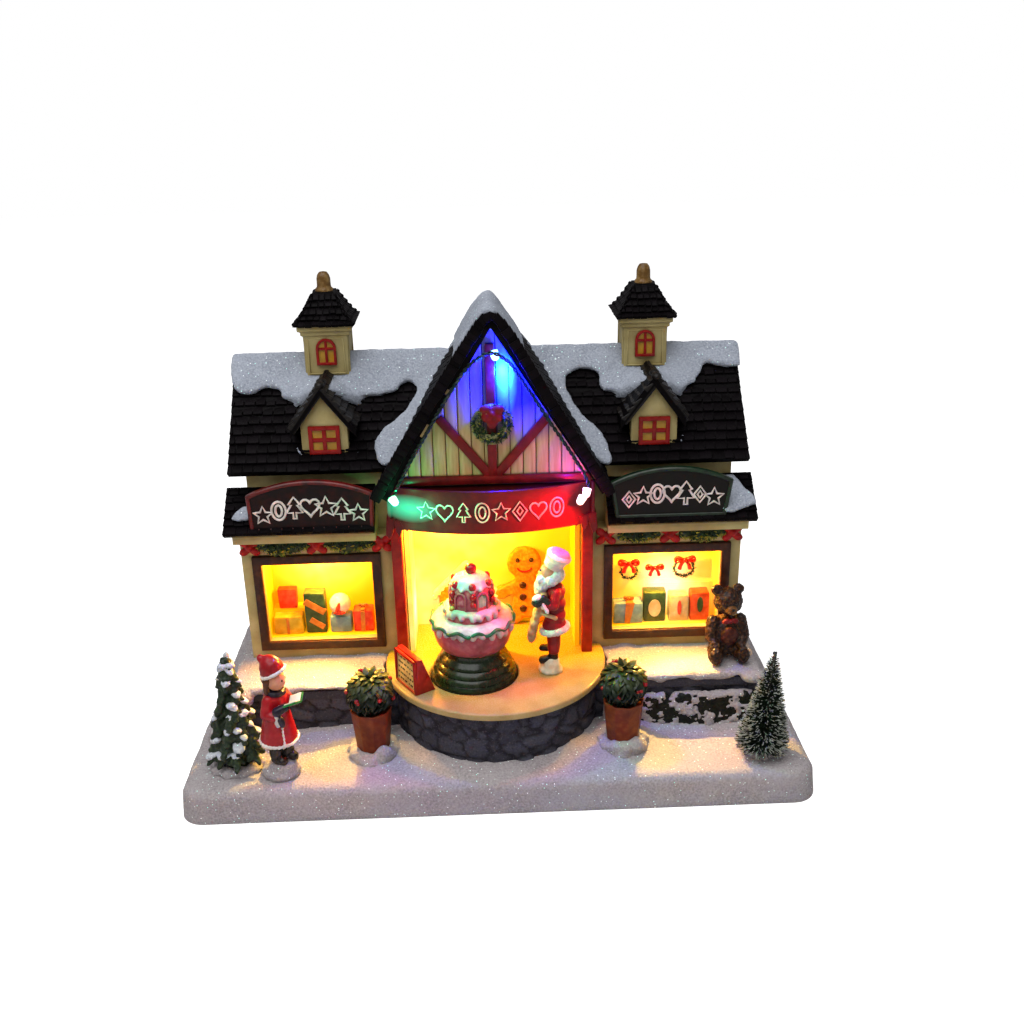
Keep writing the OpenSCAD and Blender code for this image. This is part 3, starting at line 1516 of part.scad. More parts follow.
// A faceted clay pot with a clipped holly bush; leaves are scattered by the golden angle
module potted_bush(side) {
    leaves = 22;
    golden_angle = 137.5;
    translate([side * bay_r * 1.165, -base_d * 0.339, base_h]) {
        color("sienna") {
            cylinder(r1 = pot_r * 0.66, r2 = pot_r * 0.94, h = pot_h * 0.86, $fn = 8);
            translate([0, 0, pot_h * 0.86]) cylinder(r = pot_r, h = pot_h * 0.14, $fn = 8);
        }
        color("darkgreen") translate([0, 0, pot_h + bush_r * 0.8]) {
            sphere(bush_r * 0.86, $fn = 20);
            for (i = [0 : leaves - 1])
                let (z = 1 - 2 * (i + 0.5) / leaves, a = golden_angle * i, w = sqrt(1 - z * z))
                hull()
                    for (k = [0.72, 0.9])
                        translate(bush_r * k * [w * cos(a), w * sin(a), z])
                            sphere(bush_r * (1.12 - k) * 0.5, $fn = 6);
        }
    }
}

// A wedge-shaped board that leans on its own foot, turned towards the street
module menu_board() {
    foot = menu_h * 0.55;
    thick = menu_h / 10;
    menu_turn = 57.7;
    color("firebrick")
        translate([-floor_r * 0.815, -terrace_front - menu_w * 0.55, floor_top])
            rotate([0, 0, -menu_turn])
                difference() {
                    along_x([[0, 0], [foot, 0], [foot * 0.5, menu_h]], -menu_w / 2, menu_w / 2);
                    along_x([[thick * 2, -cut], [foot - thick * 2, -cut], [foot * 0.5, menu_h - 4 * thick]],
                        -menu_w / 2 - cut, menu_w / 2 + cut);
                }
}

module hedge() {
    tufts = 12;
    r = hedge_h / 3.4;
    left = terrace_w / 2 - hedge_w;
    color("darkslategray") translate([0, -terrace_front, bank_top])
        intersection() {
            for (i = [0 : tufts - 2])
                hull()
                    for (j = [i, i + 1])
                        for (k = [0.2, 0.62 + 0.12 * (j % 2)])
                            translate([left + r + (hedge_w - 2 * r) * j / (tufts - 1), 0, hedge_h * k])
                                sphere(r, $fn = coarse_fn);
            box([left, -hedge_t, 0], [terrace_w / 2, 0, hedge_h]);
        }
}

base_shell();
bottom_cover();
cover_screws();
battery_door();
battery_contacts();
slide_switch();
switch_knob();
circuit_board();
gear_motor();
motor_pinion();
turntable_gear();
stone_terrace();
display_floor();
cake_stand();
cake_body();
cake_icing();
house_body();
room_lining();
display_box(-1);  // display_box_left
display_box(1);  // display_box_right
window_frame(-1);  // window_frame_left
window_frame(1);  // window_frame_right
garland(-1);  // garland_left
garland(1);  // garland_right
post(-1);  // post_left
post(1);  // post_right
banner();
gable_wall();
gable_timbers();
gable_roof();
gable_snow();
gable_wreath();
light_string();
string_lamps();
shop_lamps();
main_roof();
roof_snow();
porch_roof(-1);  // porch_roof_left
porch_roof(1);  // porch_roof_right
sign(-1);  // sign_left
sign(1);  // sign_right
dormer(-1);  // dormer_left
dormer(1);  // dormer_right
dormer_roof(-1);  // dormer_roof_left
dormer_roof(1);  // dormer_roof_right
cupola(-1);  // cupola_left
cupola(1);  // cupola_right
cupola_roof(-1);  // cupola_roof_left
cupola_roof(1);  // cupola_roof_right
gingerbread_figure();
gingerbread_house();
chef();
carol_singer();
bear();
snowy_tree();
bottle_brush_tree();
potted_bush(-1);  // potted_bush_left
potted_bush(1);  // potted_bush_right
menu_board();
hedge();
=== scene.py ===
import math
import random

import bmesh
import bpy
from mathutils import Matrix, Vector, noise


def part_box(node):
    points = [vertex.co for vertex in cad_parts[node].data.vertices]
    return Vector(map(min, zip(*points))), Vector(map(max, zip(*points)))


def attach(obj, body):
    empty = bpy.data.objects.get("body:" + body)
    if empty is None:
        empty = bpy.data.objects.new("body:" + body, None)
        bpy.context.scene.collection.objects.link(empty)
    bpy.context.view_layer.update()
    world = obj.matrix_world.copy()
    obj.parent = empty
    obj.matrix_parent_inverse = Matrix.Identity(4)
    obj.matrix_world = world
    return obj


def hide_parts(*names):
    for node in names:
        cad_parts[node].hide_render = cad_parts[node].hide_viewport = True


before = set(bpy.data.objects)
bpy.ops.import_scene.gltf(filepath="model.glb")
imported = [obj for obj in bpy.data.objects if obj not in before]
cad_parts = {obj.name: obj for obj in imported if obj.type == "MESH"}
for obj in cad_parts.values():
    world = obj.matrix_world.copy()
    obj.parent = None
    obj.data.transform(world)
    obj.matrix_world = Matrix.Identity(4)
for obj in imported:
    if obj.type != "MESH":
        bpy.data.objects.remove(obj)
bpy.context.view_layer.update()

# Studio. The camera stands where the photograph was taken from, a little above the roofs. One
# wide soft lamp and a pale room light the object. The floor is white to the camera, keeps the
# object's shadow and is open under the base, so that the underside shows from below.
MM = 0.001
CAMERA_PLACE = Vector((-2.351, -426.191, 267.130))
CAMERA_TURNS = ((-1.49, "Z"), (68.13, "X"), (-1.23, "Z"))
CAMERA_LENS = 38.48
CAMERA_SENSOR = 36
CAMERA_NEAREST = 10
LAMP_PLACE = Vector((-150, -300, 900))
LAMP_SIZE = 900
LAMP_WATTS = 8.6
ROOM_COLOUR = "#e8e7ea"
ROOM_LEVEL = 0.325
FLOOR_HALF = 2000
FLOOR_OPENING = (118, 68)
FLOOR_COLOUR = "#d9d9d9"
FLOOR_LIFT = 0.8
FLOOR_ROUGHNESS = 0.9
CORNERS = ((-1, -1), (1, -1), (1, 1), (-1, 1))


def linear(text):
    """An sRGB hex colour as a linear RGBA tuple."""
    parts = [int(text[i:i + 2], 16) / 255 for i in (1, 3, 5)]
    return tuple(p / 12.92 if p <= 0.04045 else ((p + 0.055) / 1.055) ** 2.4 for p in parts) + (1.0,)


def add(tree, kind, inputs=None, **settings):
    """Adds a shader node. An input given as a node or a socket is linked, any other is set."""
    made = tree.nodes.new("ShaderNode" + kind)
    for name, value in settings.items():
        setattr(made, name, value)
    for name, value in (inputs or {}).items():
        value = value.outputs[0] if isinstance(value, bpy.types.Node) else value
        if isinstance(value, bpy.types.NodeSocket):
            tree.links.new(value, made.inputs[name])
        else:
            made.inputs[name].default_value = value
    return made


def node_tree(owner):
    """The empty node tree of a material or a world."""
    owner.use_nodes = True
    owner.node_tree.nodes.clear()
    return owner.node_tree


def seen(tree):
    """1 for what the camera sees, also through clear things, and 0 for light."""
    rays = add(tree, "LightPath")
    return add(tree, "Math", {0: rays.outputs["Is Camera Ray"], 1: rays.outputs["Is Transmission Ray"]},
               operation="MAXIMUM")


def put(name, data):
    """A new object in the scene."""
    made = bpy.data.objects.new(name, data)
    scene.collection.objects.link(made)
    return made


scene = bpy.context.scene
scene.view_settings.view_transform = "Standard"
camera = put("camera", bpy.data.cameras.new("camera"))
camera.data.lens = CAMERA_LENS
camera.data.sensor_width = CAMERA_SENSOR
camera.data.clip_start = CAMERA_NEAREST * MM
turn = Matrix.Identity(4)
for angle, axis in CAMERA_TURNS:
    turn = turn @ Matrix.Rotation(math.radians(angle), 4, axis)
camera.matrix_world = Matrix.Translation(CAMERA_PLACE * MM) @ turn
scene.camera = camera

scene.world = bpy.data.worlds.new("room")
tree = node_tree(scene.world)
pale = add(tree, "Background", {"Color": linear(ROOM_COLOUR), "Strength": ROOM_LEVEL})
white = add(tree, "Background", {"Color": linear("#ffffff"), "Strength": 1.0})
add(tree, "OutputWorld", {"Surface": add(tree, "MixShader", {0: seen(tree), 1: pale, 2: white})})

softbox = put("softbox", bpy.data.lights.new("softbox", "AREA"))
softbox.data.size = LAMP_SIZE * MM
softbox.data.energy = LAMP_WATTS
softbox.location = LAMP_PLACE * MM
softbox.rotation_euler = (-LAMP_PLACE).to_track_quat("-Z", "Y").to_euler()

bm = bmesh.new()
outer = [bm.verts.new((x * FLOOR_HALF * MM, y * FLOOR_HALF * MM, 0)) for x, y in CORNERS]
inner = [bm.verts.new((x * FLOOR_OPENING[0] * MM, y * FLOOR_OPENING[1] * MM, 0)) for x, y in CORNERS]
for k in range(4):
    bm.faces.new((outer[k - 1], outer[k], inner[k], inner[k - 1]))
floor = put("floor", bpy.data.meshes.new("floor"))
bm.to_mesh(floor.data)
bm.free()
paper = bpy.data.materials.new("pale_paper")
tree = node_tree(paper)
lift = add(tree, "Math", {0: seen(tree), 1: FLOOR_LIFT}, operation="MULTIPLY")
skin = add(tree, "BsdfPrincipled", {
    "Base Color": linear(FLOOR_COLOUR), "Roughness": FLOOR_ROUGHNESS,
    "Emission Color": linear("#ffffff"), "Emission Strength": lift})
add(tree, "OutputMaterial", {"Surface": skin})
floor.data.materials.append(paper)

# Snow on the base. The real base is a hollow cast-resin slab, sprayed with white texture
# paint and rolled in fine glitter while wet. It is one blanket with a rounded edge that rises
# in low banks against the terrace, and its grain and flecks are painted on in the material.
SNOW_COLOUR = "#b0a9aa"
SNOW_SHADE = "#888183"
SNOW_GRAIN = 0.8
GLITTER_CELL = 0.5
GLOSS = 0.18
SHARP = math.radians(42)
BASE_STEP = 1.5
BASE_CORNER = 10
BASE_HEIGHT = 13.6
BASE_WALL = 3.2
BASE_RECESS = 3.4
BASE_REACH = 44
EDGE_ROUND = 4.2
BATTER = 1.0
BANK_RISE = 2.6
BANK_REACH = 7
BAY_CENTRE = Vector((0, -20))
BAY_RADIUS = 43
BAY_OUT = 28.3
TERRACE_HALF = 107.6
HEAPS = ((-47, -50, 9, 3.5), (47, -47, 8, 7.5), (58, -42, 10, 2.5), (-60, -42, 14, 2), (-116, -30, 12, 3),
         (-105, -42, 8, 6), (112, -38, 10, 3), (-30, -62, 9, 1.2), (34, -58, 8, 2.4), (0, 70, 60, 1))


def span(node):
    """A node's lowest and highest corners, in millimetres."""
    low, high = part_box(node)
    return low / MM, high / MM


def surface_of(tree, colour, roughness, bump, depth, values):
    """Ends a material's tree in a surface; the values are further inputs, with _ for a space."""
    inputs = {"Base Color": linear(colour) if isinstance(colour, str) else colour, "Roughness": roughness,
              "Specular IOR Level": GLOSS}
    for name, value in values.items():
        inputs[name.replace("_", " ").title().replace("Ior", "IOR")] = value
    if bump:
        inputs["Normal"] = add(tree, "Bump", {"Height": bump, "Distance": depth * MM})
    add(tree, "OutputMaterial", {"Surface": add(tree, "BsdfPrincipled", inputs)})


def place_mm(tree):
    """The place on the object, in millimetres."""
    where = add(tree, "TexCoord").outputs["Object"]
    return add(tree, "VectorMath", {0: where, 1: (1 / MM,) * 3}, operation="MULTIPLY")


def material(name):
    """A new material, its empty node tree and the place on the object."""
    made = bpy.data.materials.new(name)
    tree = node_tree(made)
    return made, tree, place_mm(tree)


def mixed(tree, factor, low, high):
    """A colour from low to high, each a hex colour or a socket."""
    ends = [linear(end) if isinstance(end, str) else end for end in (low, high)]
    return add(tree, "Mix", {0: factor, 6: ends[0], 7: ends[1]}, data_type="RGBA").outputs[2]


def stretched(tree, value, low, high, to_low=0.0, to_high=1.0):
    """A value moved from the range low to high to another range, and held inside it."""
    return add(tree, "MapRange", {0: value, 1: low, 2: high, 3: to_low, 4: to_high})


def make_snow(name, colour, shade):
    """Texture paint with glitter: matt grainy white, with sparse glossy flecks that also glow a little as a
    painted glint.
    """
    made, tree, place = material(name)
    grain = add(tree, "TexNoise", {"Vector": place, "Scale": 1 / SNOW_GRAIN, "Detail": 3.0})
    drift = add(tree, "TexNoise", {"Vector": place, "Scale": 0.07, "Detail": 2.0})
    tone = mixed(tree, stretched(tree, grain, 0.3, 0.7), shade, colour)
    tone = mixed(tree, stretched(tree, drift, 0.35, 0.65, 0.0, 0.4), tone, colour)
    flecks = add(tree, "TexVoronoi", {"Vector": place, "Scale": 1 / GLITTER_CELL})
    pick = add(tree, "SeparateColor", {0: flecks.outputs["Color"]})
    rare = stretched(tree, pick.outputs[0], 0.975, 0.985)
    near = stretched(tree, flecks.outputs["Distance"], 0.45, 0.3)
    fleck_and_glint = add(tree, "Math", {0: rare, 1: near}, operation="MULTIPLY")
    hue = mixed(tree, pick.outputs[1], "#ffffff", "#b8fff2")
    tone = mixed(tree, fleck_and_glint.outputs[0], tone, hue)
    # The flecks glow at half strength: a painted glint that shows under any light.
    level = add(tree, "Math", {0: fleck_and_glint, 1: 0.5}, operation="MULTIPLY")
    rough = stretched(tree, fleck_and_glint, 0.0, 1.0, 0.85, 0.25)
    surface_of(tree, tone, rough, grain, 0.5, {"emission_color": hue, "emission_strength": level})
    return made


def piece(name, parts, nodes=(), body="root"):
    """Joins parts, each a bmesh in millimetres with its material, into one piece on a body."""
    whole = bmesh.new()
    made = put(name, bpy.data.meshes.new(name))
    for part, paint in parts:
        if paint.name not in made.data.materials:
            made.data.materials.append(paint)
        index = made.data.materials.find(paint.name)
        for face in part.faces:
            face.material_index = index
        step = bpy.data.meshes.new("step")
        part.to_mesh(step)
        part.free()
        whole.from_mesh(step)
        bpy.data.meshes.remove(step)
    bmesh.ops.scale(whole, vec=(MM,) * 3, verts=whole.verts)
    for edge in whole.edges:
        edge.smooth = len(edge.link_faces) != 2 or edge.calc_face_angle() < SHARP
    for face in whole.faces:
        face.smooth = True
    whole.to_mesh(made.data)
    whole.free()
    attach(made, body)
    if nodes:
        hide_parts(*nodes)


def lofted(bm, rings, closed=True):
    """Skins rings of as many points each by extruding the first from one to the next."""
    spot = bm.verts.layers.int.get("spot") or bm.verts.layers.int.new("spot")
    first = [bm.verts.new(point) for point in rings[0]]
    for index, vert in enumerate(first):
        vert[spot] = index
    edges = [bm.edges.new(pair) for pair in zip(first, first[1:] + first[:1] if closed else first[1:])]
    for ring in rings[1:]:
        fresh = bmesh.ops.extrude_edge_only(bm, edges=edges)["geom"]
        verts = {part for part in fresh if isinstance(part, bmesh.types.BMVert)}
        edges = [part for part in fresh if isinstance(part, bmesh.types.BMEdge)]
        edges = [edge for edge in edges if verts.issuperset(edge.verts)]
        for vert in verts:
            vert.co = ring[vert[spot]]
    return edges


def looped(bm, rings):
    """Skins rings and joins the last to the first."""
    last = lofted(bm, rings)
    first = [edge for edge in bm.edges if edge.is_boundary and edge not in set(last)]
    bmesh.ops.bridge_loops(bm, edges=first + last)
    bmesh.ops.recalc_face_normals(bm, faces=bm.faces)


def rounded_ring(half_x, half_y, radius, z, counts):
    """Points round a rectangle with rounded corners: counts are those of a corner and of the sides."""
    points = []
    flat_x, flat_y = half_x - radius, half_y - radius
    ahead = (Vector((0, 2 * flat_y, 0)), Vector((-2 * flat_x, 0, 0)), Vector((0, -2 * flat_y, 0)),
             Vector((2 * flat_x, 0, 0)))
    for corner, (sx, sy) in enumerate(((1, -1), (1, 1), (-1, 1), (-1, -1))):
        middle = Vector((sx * flat_x, sy * flat_y, z))
        sweep = [math.radians(90 * (corner - 1 + k / counts[0])) for k in range(counts[0] + 1)]
        points += [middle + Vector((math.cos(a), math.sin(a), 0)) * radius for a in sweep]
        steps = counts[1 + (corner + 1) % 2]
        points += [points[-1] + ahead[corner] * k / steps for k in range(1, steps)]
    return points


def snow_height(x, y):
    """Height of the snow on the base: level at the edge, banked against the terrace."""
    bay = (Vector((x, y)) - BAY_CENTRE).length - BAY_RADIUS
    wall = max(abs(x) - TERRACE_HALF, wall_front - y, y - terrace_high.y)
    height = BASE_HEIGHT + BANK_RISE * math.exp(-max(min(bay, wall), 0) / BANK_REACH)
    for heap_x, heap_y, reach, rise in HEAPS:
        height += rise * math.exp(-((x - heap_x) ** 2 + (y - heap_y) ** 2) / reach ** 2)
    place = Vector((x, y, 0))
    return height + 0.7 * noise.noise(place / 17) + 0.25 * noise.noise(place / 5)


random.seed(24)
base_low, base_high = span("base_shell")
terrace_low, terrace_high = span("stone_terrace")
wall_front = terrace_low.y + BAY_OUT
snow = make_snow("glitter_snow", SNOW_COLOUR, SNOW_SHADE)
profile = [(BASE_WALL + 6, BASE_RECESS), (BASE_WALL, BASE_RECESS), (BASE_WALL, 0), (0.4, 0), (0, 0.4)]
rim = BASE_HEIGHT - EDGE_ROUND
profile += [(BATTER * k / 6, 0.4 + (rim - 0.4) * k / 6) for k in range(1, 7)]
for k in range(1, 7):
    angle = math.radians(90 * k / 6)
    profile.append((BATTER + EDGE_ROUND * (1 - math.cos(angle)), rim + EDGE_ROUND * math.sin(angle)))
inset = BATTER + EDGE_ROUND
while inset < BASE_REACH:
    inset += BASE_STEP
    profile.append((inset, BASE_HEIGHT))
profile += [(inset, BASE_HEIGHT - 3), (BASE_WALL + 6, BASE_HEIGHT - 3)]
counts = (10, round(2 * base_high.x / BASE_STEP), round(2 * base_high.y / BASE_STEP))
rings = []
for index, (inset, z) in enumerate(profile):
    ring = rounded_ring(base_high.x - inset, base_high.y - inset, max(BASE_CORNER - inset, 0.4), z, counts)
    if z > BASE_HEIGHT - EDGE_ROUND and index < len(profile) - 2:
        share = min(1, max(0, (inset - BATTER) / (EDGE_ROUND + 5)))
        for point in ring:
            point.z += share * (snow_height(point.x, point.y) - BASE_HEIGHT)
    for point in ring:
        if 0 < z < BASE_HEIGHT:
            out = 0.25 * noise.noise(point / 9) + 0.12 * noise.noise(point / 3)
            point.xy = point.xy * (1 - 0.3 / base_high.x) + point.xy.normalized() * out
    rings.append(ring)
bm = bmesh.new()
looped(bm, rings)
piece("snow_base", [(bm, snow)], ["base_shell"])

# Terrace. The wall under the shops is cast with the base: rounded field stones with deep
# joints, painted slate grey and dry-brushed, under a smooth cap course.
STONE_STEP = 0.9
TERRACE_BACK = 58
STONE_CELL = 8.6
STONE_PROUD = 1.0
STONE_ROWS = 26
STONE_FOOT = 12.6
WALL_TOP = 33.9
BAY_TOP = 36.2
CAP_LOW = 30.6
CAP_PROUD = 1.15
STONE_LIGHT = "#4b4c57"
STONE_DARK = "#1c1b22"
SNOW_LAYER = 2.6


def wall_path():
    """Points along the terrace's outer wall and its round bay, with their outward directions."""
    start = math.asin((wall_front - BAY_CENTRE.y) / BAY_RADIUS)
    foot = BAY_RADIUS * math.cos(start)
    corners = [(-TERRACE_HALF, TERRACE_BACK), (-TERRACE_HALF, wall_front), (-foot, wall_front)]
    corners += [(BAY_RADIUS * math.cos(a), BAY_CENTRE.y + BAY_RADIUS * math.sin(a)) for a in
                (math.pi - start + k / 40 * (math.pi + 2 * start) for k in range(41))]
    corners += [(foot, wall_front), (TERRACE_HALF, wall_front)]
    corners += [(TERRACE_HALF, TERRACE_BACK), (-TERRACE_HALF, TERRACE_BACK)]
    return [Vector(corner) for corner in corners]


def dress(paint_made, *nodes):
    """Gives CAD nodes that stay on show this finish."""
    for name in nodes:
        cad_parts[name].data.materials.clear()
        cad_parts[name].data.materials.append(paint_made)


stone, tree, place = material("painted_field_stone")
shade = add(tree, "Attribute", attribute_name="shade").outputs["Fac"]
grit = add(tree, "TexNoise", {"Vector": place, "Scale": 1.3, "Detail": 4.0})
tone = mixed(tree, shade, STONE_DARK, STONE_LIGHT)
tone = mixed(tree, stretched(tree, grit, 0.55, 0.75, 0.0, 0.5), tone, "#5f5a62")
tone = mixed(tree, stretched(tree, grit, 0.45, 0.3, 0.0, 0.6), tone, "#2c2427")
surface_of(tree, tone, 0.62, grit, 0.25, {})


def stone_relief(run, z, seed):
    """Height of the stone face out of the wall, 0 in a joint, and its paint shade."""
    spot = Vector((run / STONE_CELL, z / (STONE_CELL * 0.72), seed))
    spot += Vector((noise.noise(spot * 2.1), noise.noise(spot * 2.1 + Vector((7, 3, 1))), 0)) * 0.22
    far, cells = noise.voronoi(spot)
    gap = min(1, max(0, (far[1] - far[0]) / 0.2))
    dome = gap * gap * (3 - 2 * gap)
    own = noise.noise(cells[0] * 5.3)
    rough = 0.16 * noise.noise(Vector((run, z, seed)) / 1.7)
    return dome * (0.75 + 0.35 * own) + rough * dome, dome * (0.62 + 0.5 * own)


path = wall_path()
bm = bmesh.new()
columns, run = [], 0
for a, b in zip(path, path[1:]):
    steps = max(1, round((b - a).length / STONE_STEP))
    for k in range(steps):
        columns.append((a.lerp(b, k / steps), (b - a).normalized(), run + (b - a).length * k / steps))
    run += (b - a).length
rings, shades = [], []
for row in range(STONE_ROWS + 1):
    ring = []
    for spot, along, at in columns:
        on_bay = (spot - BAY_CENTRE).length < BAY_RADIUS + 0.5 and spot.y < wall_front - 0.1
        top = BAY_TOP if on_bay else WALL_TOP
        z = STONE_FOOT + (top - STONE_FOOT) * row / STONE_ROWS
        out, tint = stone_relief(at, z, 3.3)
        if not on_bay and z > CAP_LOW:
            out, tint = CAP_PROUD / STONE_PROUD + 0.08 * noise.noise(Vector((at, z, 0)) / 4), 0.45
        outward = Vector((along.y, -along.x))
        shades.append(tint)
        ring.append(Vector((*(spot + outward * (0.1 + STONE_PROUD * out)), z)))
    rings.append(ring)
for row in (STONE_ROWS, 0):
    ring = []
    for index, (spot, along, at) in enumerate(columns):
        shades.append(0.3)
        ring.append(Vector((*(spot - Vector((along.y, -along.x)) * STONE_PROUD), rings[row][index].z)))
    rings.append(ring)
looped(bm, rings)
shade_layer = bm.verts.layers.float.new("shade")
spot_layer = bm.verts.layers.int["spot"]
heights = [0] * len(columns)
for vert in bm.verts:
    index = vert[spot_layer]
    vert[shade_layer] = min(1, max(0, shades[heights[index] * len(columns) + index]))
    heights[index] += 1
piece("terrace_stones", [(bm, stone)])
dress(stone, "stone_terrace")

# Snow on the terrace. The same texture paint lies on the terrace as a layer with a lumpy
# lip that hangs over the cap course, and as small drifts against the walls and the bay.
LIP_PROUD = 1.0
SNOW_VOXEL = 0.8
SNOW_CLEAR = 3.5


def ball(bm, centre, radii, turn=None, fine=2):
    """A rounded lump: radii is one number or one for each axis, turn a rotation matrix."""
    radii = (radii,) * 3 if isinstance(radii, (int, float)) else radii
    place = Matrix.Translation(centre) @ (turn or Matrix.Identity(4)) @ Matrix.Diagonal((*radii, 1))
    return bmesh.ops.create_icosphere(bm, subdivisions=fine, radius=1, matrix=place)["verts"]


def plate(bm, outline, low, high, axis="Z"):
    """A flat plate with this outline, from low to high along an axis."""
    order = {"X": lambda u, v, w: (w, u, v), "Y": lambda u, v, w: (u, w, v),
             "Z": lambda u, v, w: (u, v, w)}[axis]
    face = bm.faces.new([bm.verts.new(order(u, v, low)) for u, v in outline])
    fresh = bmesh.ops.extrude_face_region(bm, geom=[face])["geom"]
    top = [part for part in fresh if isinstance(part, bmesh.types.BMVert)]
    bmesh.ops.translate(bm, vec=order(0, 0, high - low), verts=top)
    whole = {part for vert in top for part in vert.link_faces} | {face}
    whole |= {near for edge in face.edges for near in edge.link_faces}
    bmesh.ops.recalc_face_normals(bm, faces=list(whole))
    return list(face.verts) + top


def block(bm, low, high):
    """A block between two corners."""
    low, high = Vector(low), Vector(high)
    place = Matrix.Translation((low + high) / 2) @ Matrix.Diagonal((*(high - low), 1))
    return bmesh.ops.create_cube(bm, size=1, matrix=place)["verts"]


def remeshed(bm, voxel, rounds=4, factor=0.5):
    """Melts overlapping lumps into one skin with even faces, and smooths it as thick paint would."""
    rough = put("rough", bpy.data.meshes.new("rough"))
    bm.to_mesh(rough.data)
    bm.free()
    grid = rough.modifiers.new("grid", "REMESH")
    grid.mode = "VOXEL"
    grid.voxel_size = voxel
    skin = bpy.data.meshes.new_from_object(rough.evaluated_get(bpy.context.evaluated_depsgraph_get()))
    bpy.data.meshes.remove(rough.data)
    fine = bmesh.new()
    fine.from_mesh(skin)
    bpy.data.meshes.remove(skin)
    for _ in range(rounds):
        bmesh.ops.smooth_vert(fine, verts=fine.verts, factor=factor, use_axis_x=True, use_axis_y=True,
                              use_axis_z=True)
    return fine


def roughened(bm, depth, grain):
    """Moves the skin in and out by a noise of this depth and grain, as a hand-cast surface has."""
    bm.normal_update()
    for vert in bm.verts:
        vert.co += vert.normal * depth * noise.noise(vert.co / grain)
    return bm


def melted(bm, voxel, depth=0.1, grain=1.6, rounds=3):
    """Lumps melted into one hand-cast form."""
    return roughened(remeshed(bm, voxel, rounds), depth, grain)


top = terrace_high.z
layer = (top - SNOW_LAYER * 0.6, top + 0.5)
bay_gap = BAY_RADIUS + SNOW_CLEAR
lip_x = TERRACE_HALF + LIP_PROUD
bm = bmesh.new()
sweep = [math.radians(k) for k in range(-18, 13, 3)]
edge = [(bay_gap * math.cos(a), BAY_CENTRE.y + bay_gap * math.sin(a)) for a in sweep]
for side in (-1, 1):
    front = edge + [(98, -8), (lip_x, -8), (lip_x, wall_front - LIP_PROUD)]
    plate(bm, [(side * x, y) for x, y in front], *layer)
    flank = ((100, -12), (lip_x, -12), (lip_x, TERRACE_BACK + 1), (100, TERRACE_BACK + 1))
    plate(bm, [(side * x, y) for x, y in flank], *layer)
plate(bm, [(-TERRACE_HALF, 50), (TERRACE_HALF, 50), (TERRACE_HALF, TERRACE_BACK + LIP_PROUD),
           (-TERRACE_HALF, TERRACE_BACK + LIP_PROUD)], *layer)
x = -TERRACE_HALF
while x < TERRACE_HALF:
    wide = random.uniform(2.5, 6.5)
    if abs(x) > bay_gap * 0.96 + 1:
        drop = random.uniform(0.6, 2.3)
        ball(bm, (x, wall_front - LIP_PROUD + random.uniform(-0.2, 0.5), top - drop * 0.75), (wide, 1.5, drop))
    ball(bm, (x, TERRACE_BACK + random.uniform(0.4, 1.0), top - 1), (wide, 1.5, random.uniform(0.8, 2)))
    x += wide * 0.8
for side in (-1, 1):
    y = wall_front
    while y < TERRACE_BACK:
        wide = random.uniform(2.5, 6.5)
        spot = (side * (TERRACE_HALF + random.uniform(0.2, 0.8)), y, top - 1)
        ball(bm, spot, (1.5, wide, random.uniform(0.8, 2)))
        y += wide * 0.8
for x, y, z, r, h in (
        (-104, -36, 32, 5, 5), (-108, -40, 26, 6, 7), (-111, -44, 19, 7, 6), (-107, -46, 16, 8, 3),
        (105, -36, 34, 4.5, 3), (-98, -11, top, 5, 1.4), (-75, -11, top, 9, 1.2), (56, -11, top, 5, 2.0),
        (-52, -12, top, 5, 1.5), (70, -11, top, 10, 1.0), (106, -14, top, 4, 2), (104, -9, top, 4, 3),
        (45.5, -38.5, 22, 2.2, 12), (-45.3, -38.5, 24, 1.9, 9), (47, -40, 18, 4, 7), (-47, -41, 17, 3.5, 6)):
    ball(bm, (x, y, z), (r, r * 0.8, h))
piece("terrace_snow", [(melted(bm, SNOW_VOXEL, 0.35, 3, 5), snow)])

# Display floor. A separate moulded plate, cream and glossy, with a rounded rim that stands
# over the bay. A round hole leaves the turntable free.
FLOOR_ROUND = 0.9
FLOOR_PAINT = "#aa925c"
HOLE_RADIUS = 18
HOLE_CENTRE = Vector((-9, -32.3))
WING_HALF = 36
WING_FRONT = -11.3
WING_DEGREES = 11
floor_low, floor_high = span("display_floor")
cream_gloss, tree, place = material("cream_gloss_plastic")
blotch = add(tree, "TexNoise", {"Vector": place, "Scale": 0.12, "Detail": 2.0})
fine = add(tree, "TexNoise", {"Vector": place, "Scale": 1.6, "Detail": 3.0})
tone = mixed(tree, stretched(tree, blotch, 0.3, 0.7), "#9a804c", FLOOR_PAINT)
# Toward the back the cream turns deep yellow: painted light from the glowing lining behind it.
back_of = add(tree, "SeparateXYZ", {0: place}).outputs[1]
tone = mixed(tree, stretched(tree, back_of, -30, -20, 0.0, 0.85), tone, "#c09a1c")
surface_of(tree, tone, stretched(tree, fine, 0.3, 0.7, 0.2, 0.34), fine, 0.05,
           {"coat_weight": 0.4, "coat_roughness": 0.12})


def circle(count):
    """Angles evenly round a circle."""
    return [math.tau * k / count for k in range(count)]


def rim(bm, verts, z, round_by, segments=3):
    """Rounds the edges that lie all at one height among these verts."""
    near = [edge for vert in verts for edge in vert.link_edges
            if all(abs(end.co.z - z) < 1e-4 for end in edge.verts)]
    bmesh.ops.bevel(bm, geom=list(set(near)), offset=round_by, segments=segments, profile=0.5, affect="EDGES",
                    clamp_overlap=True, material=-1)


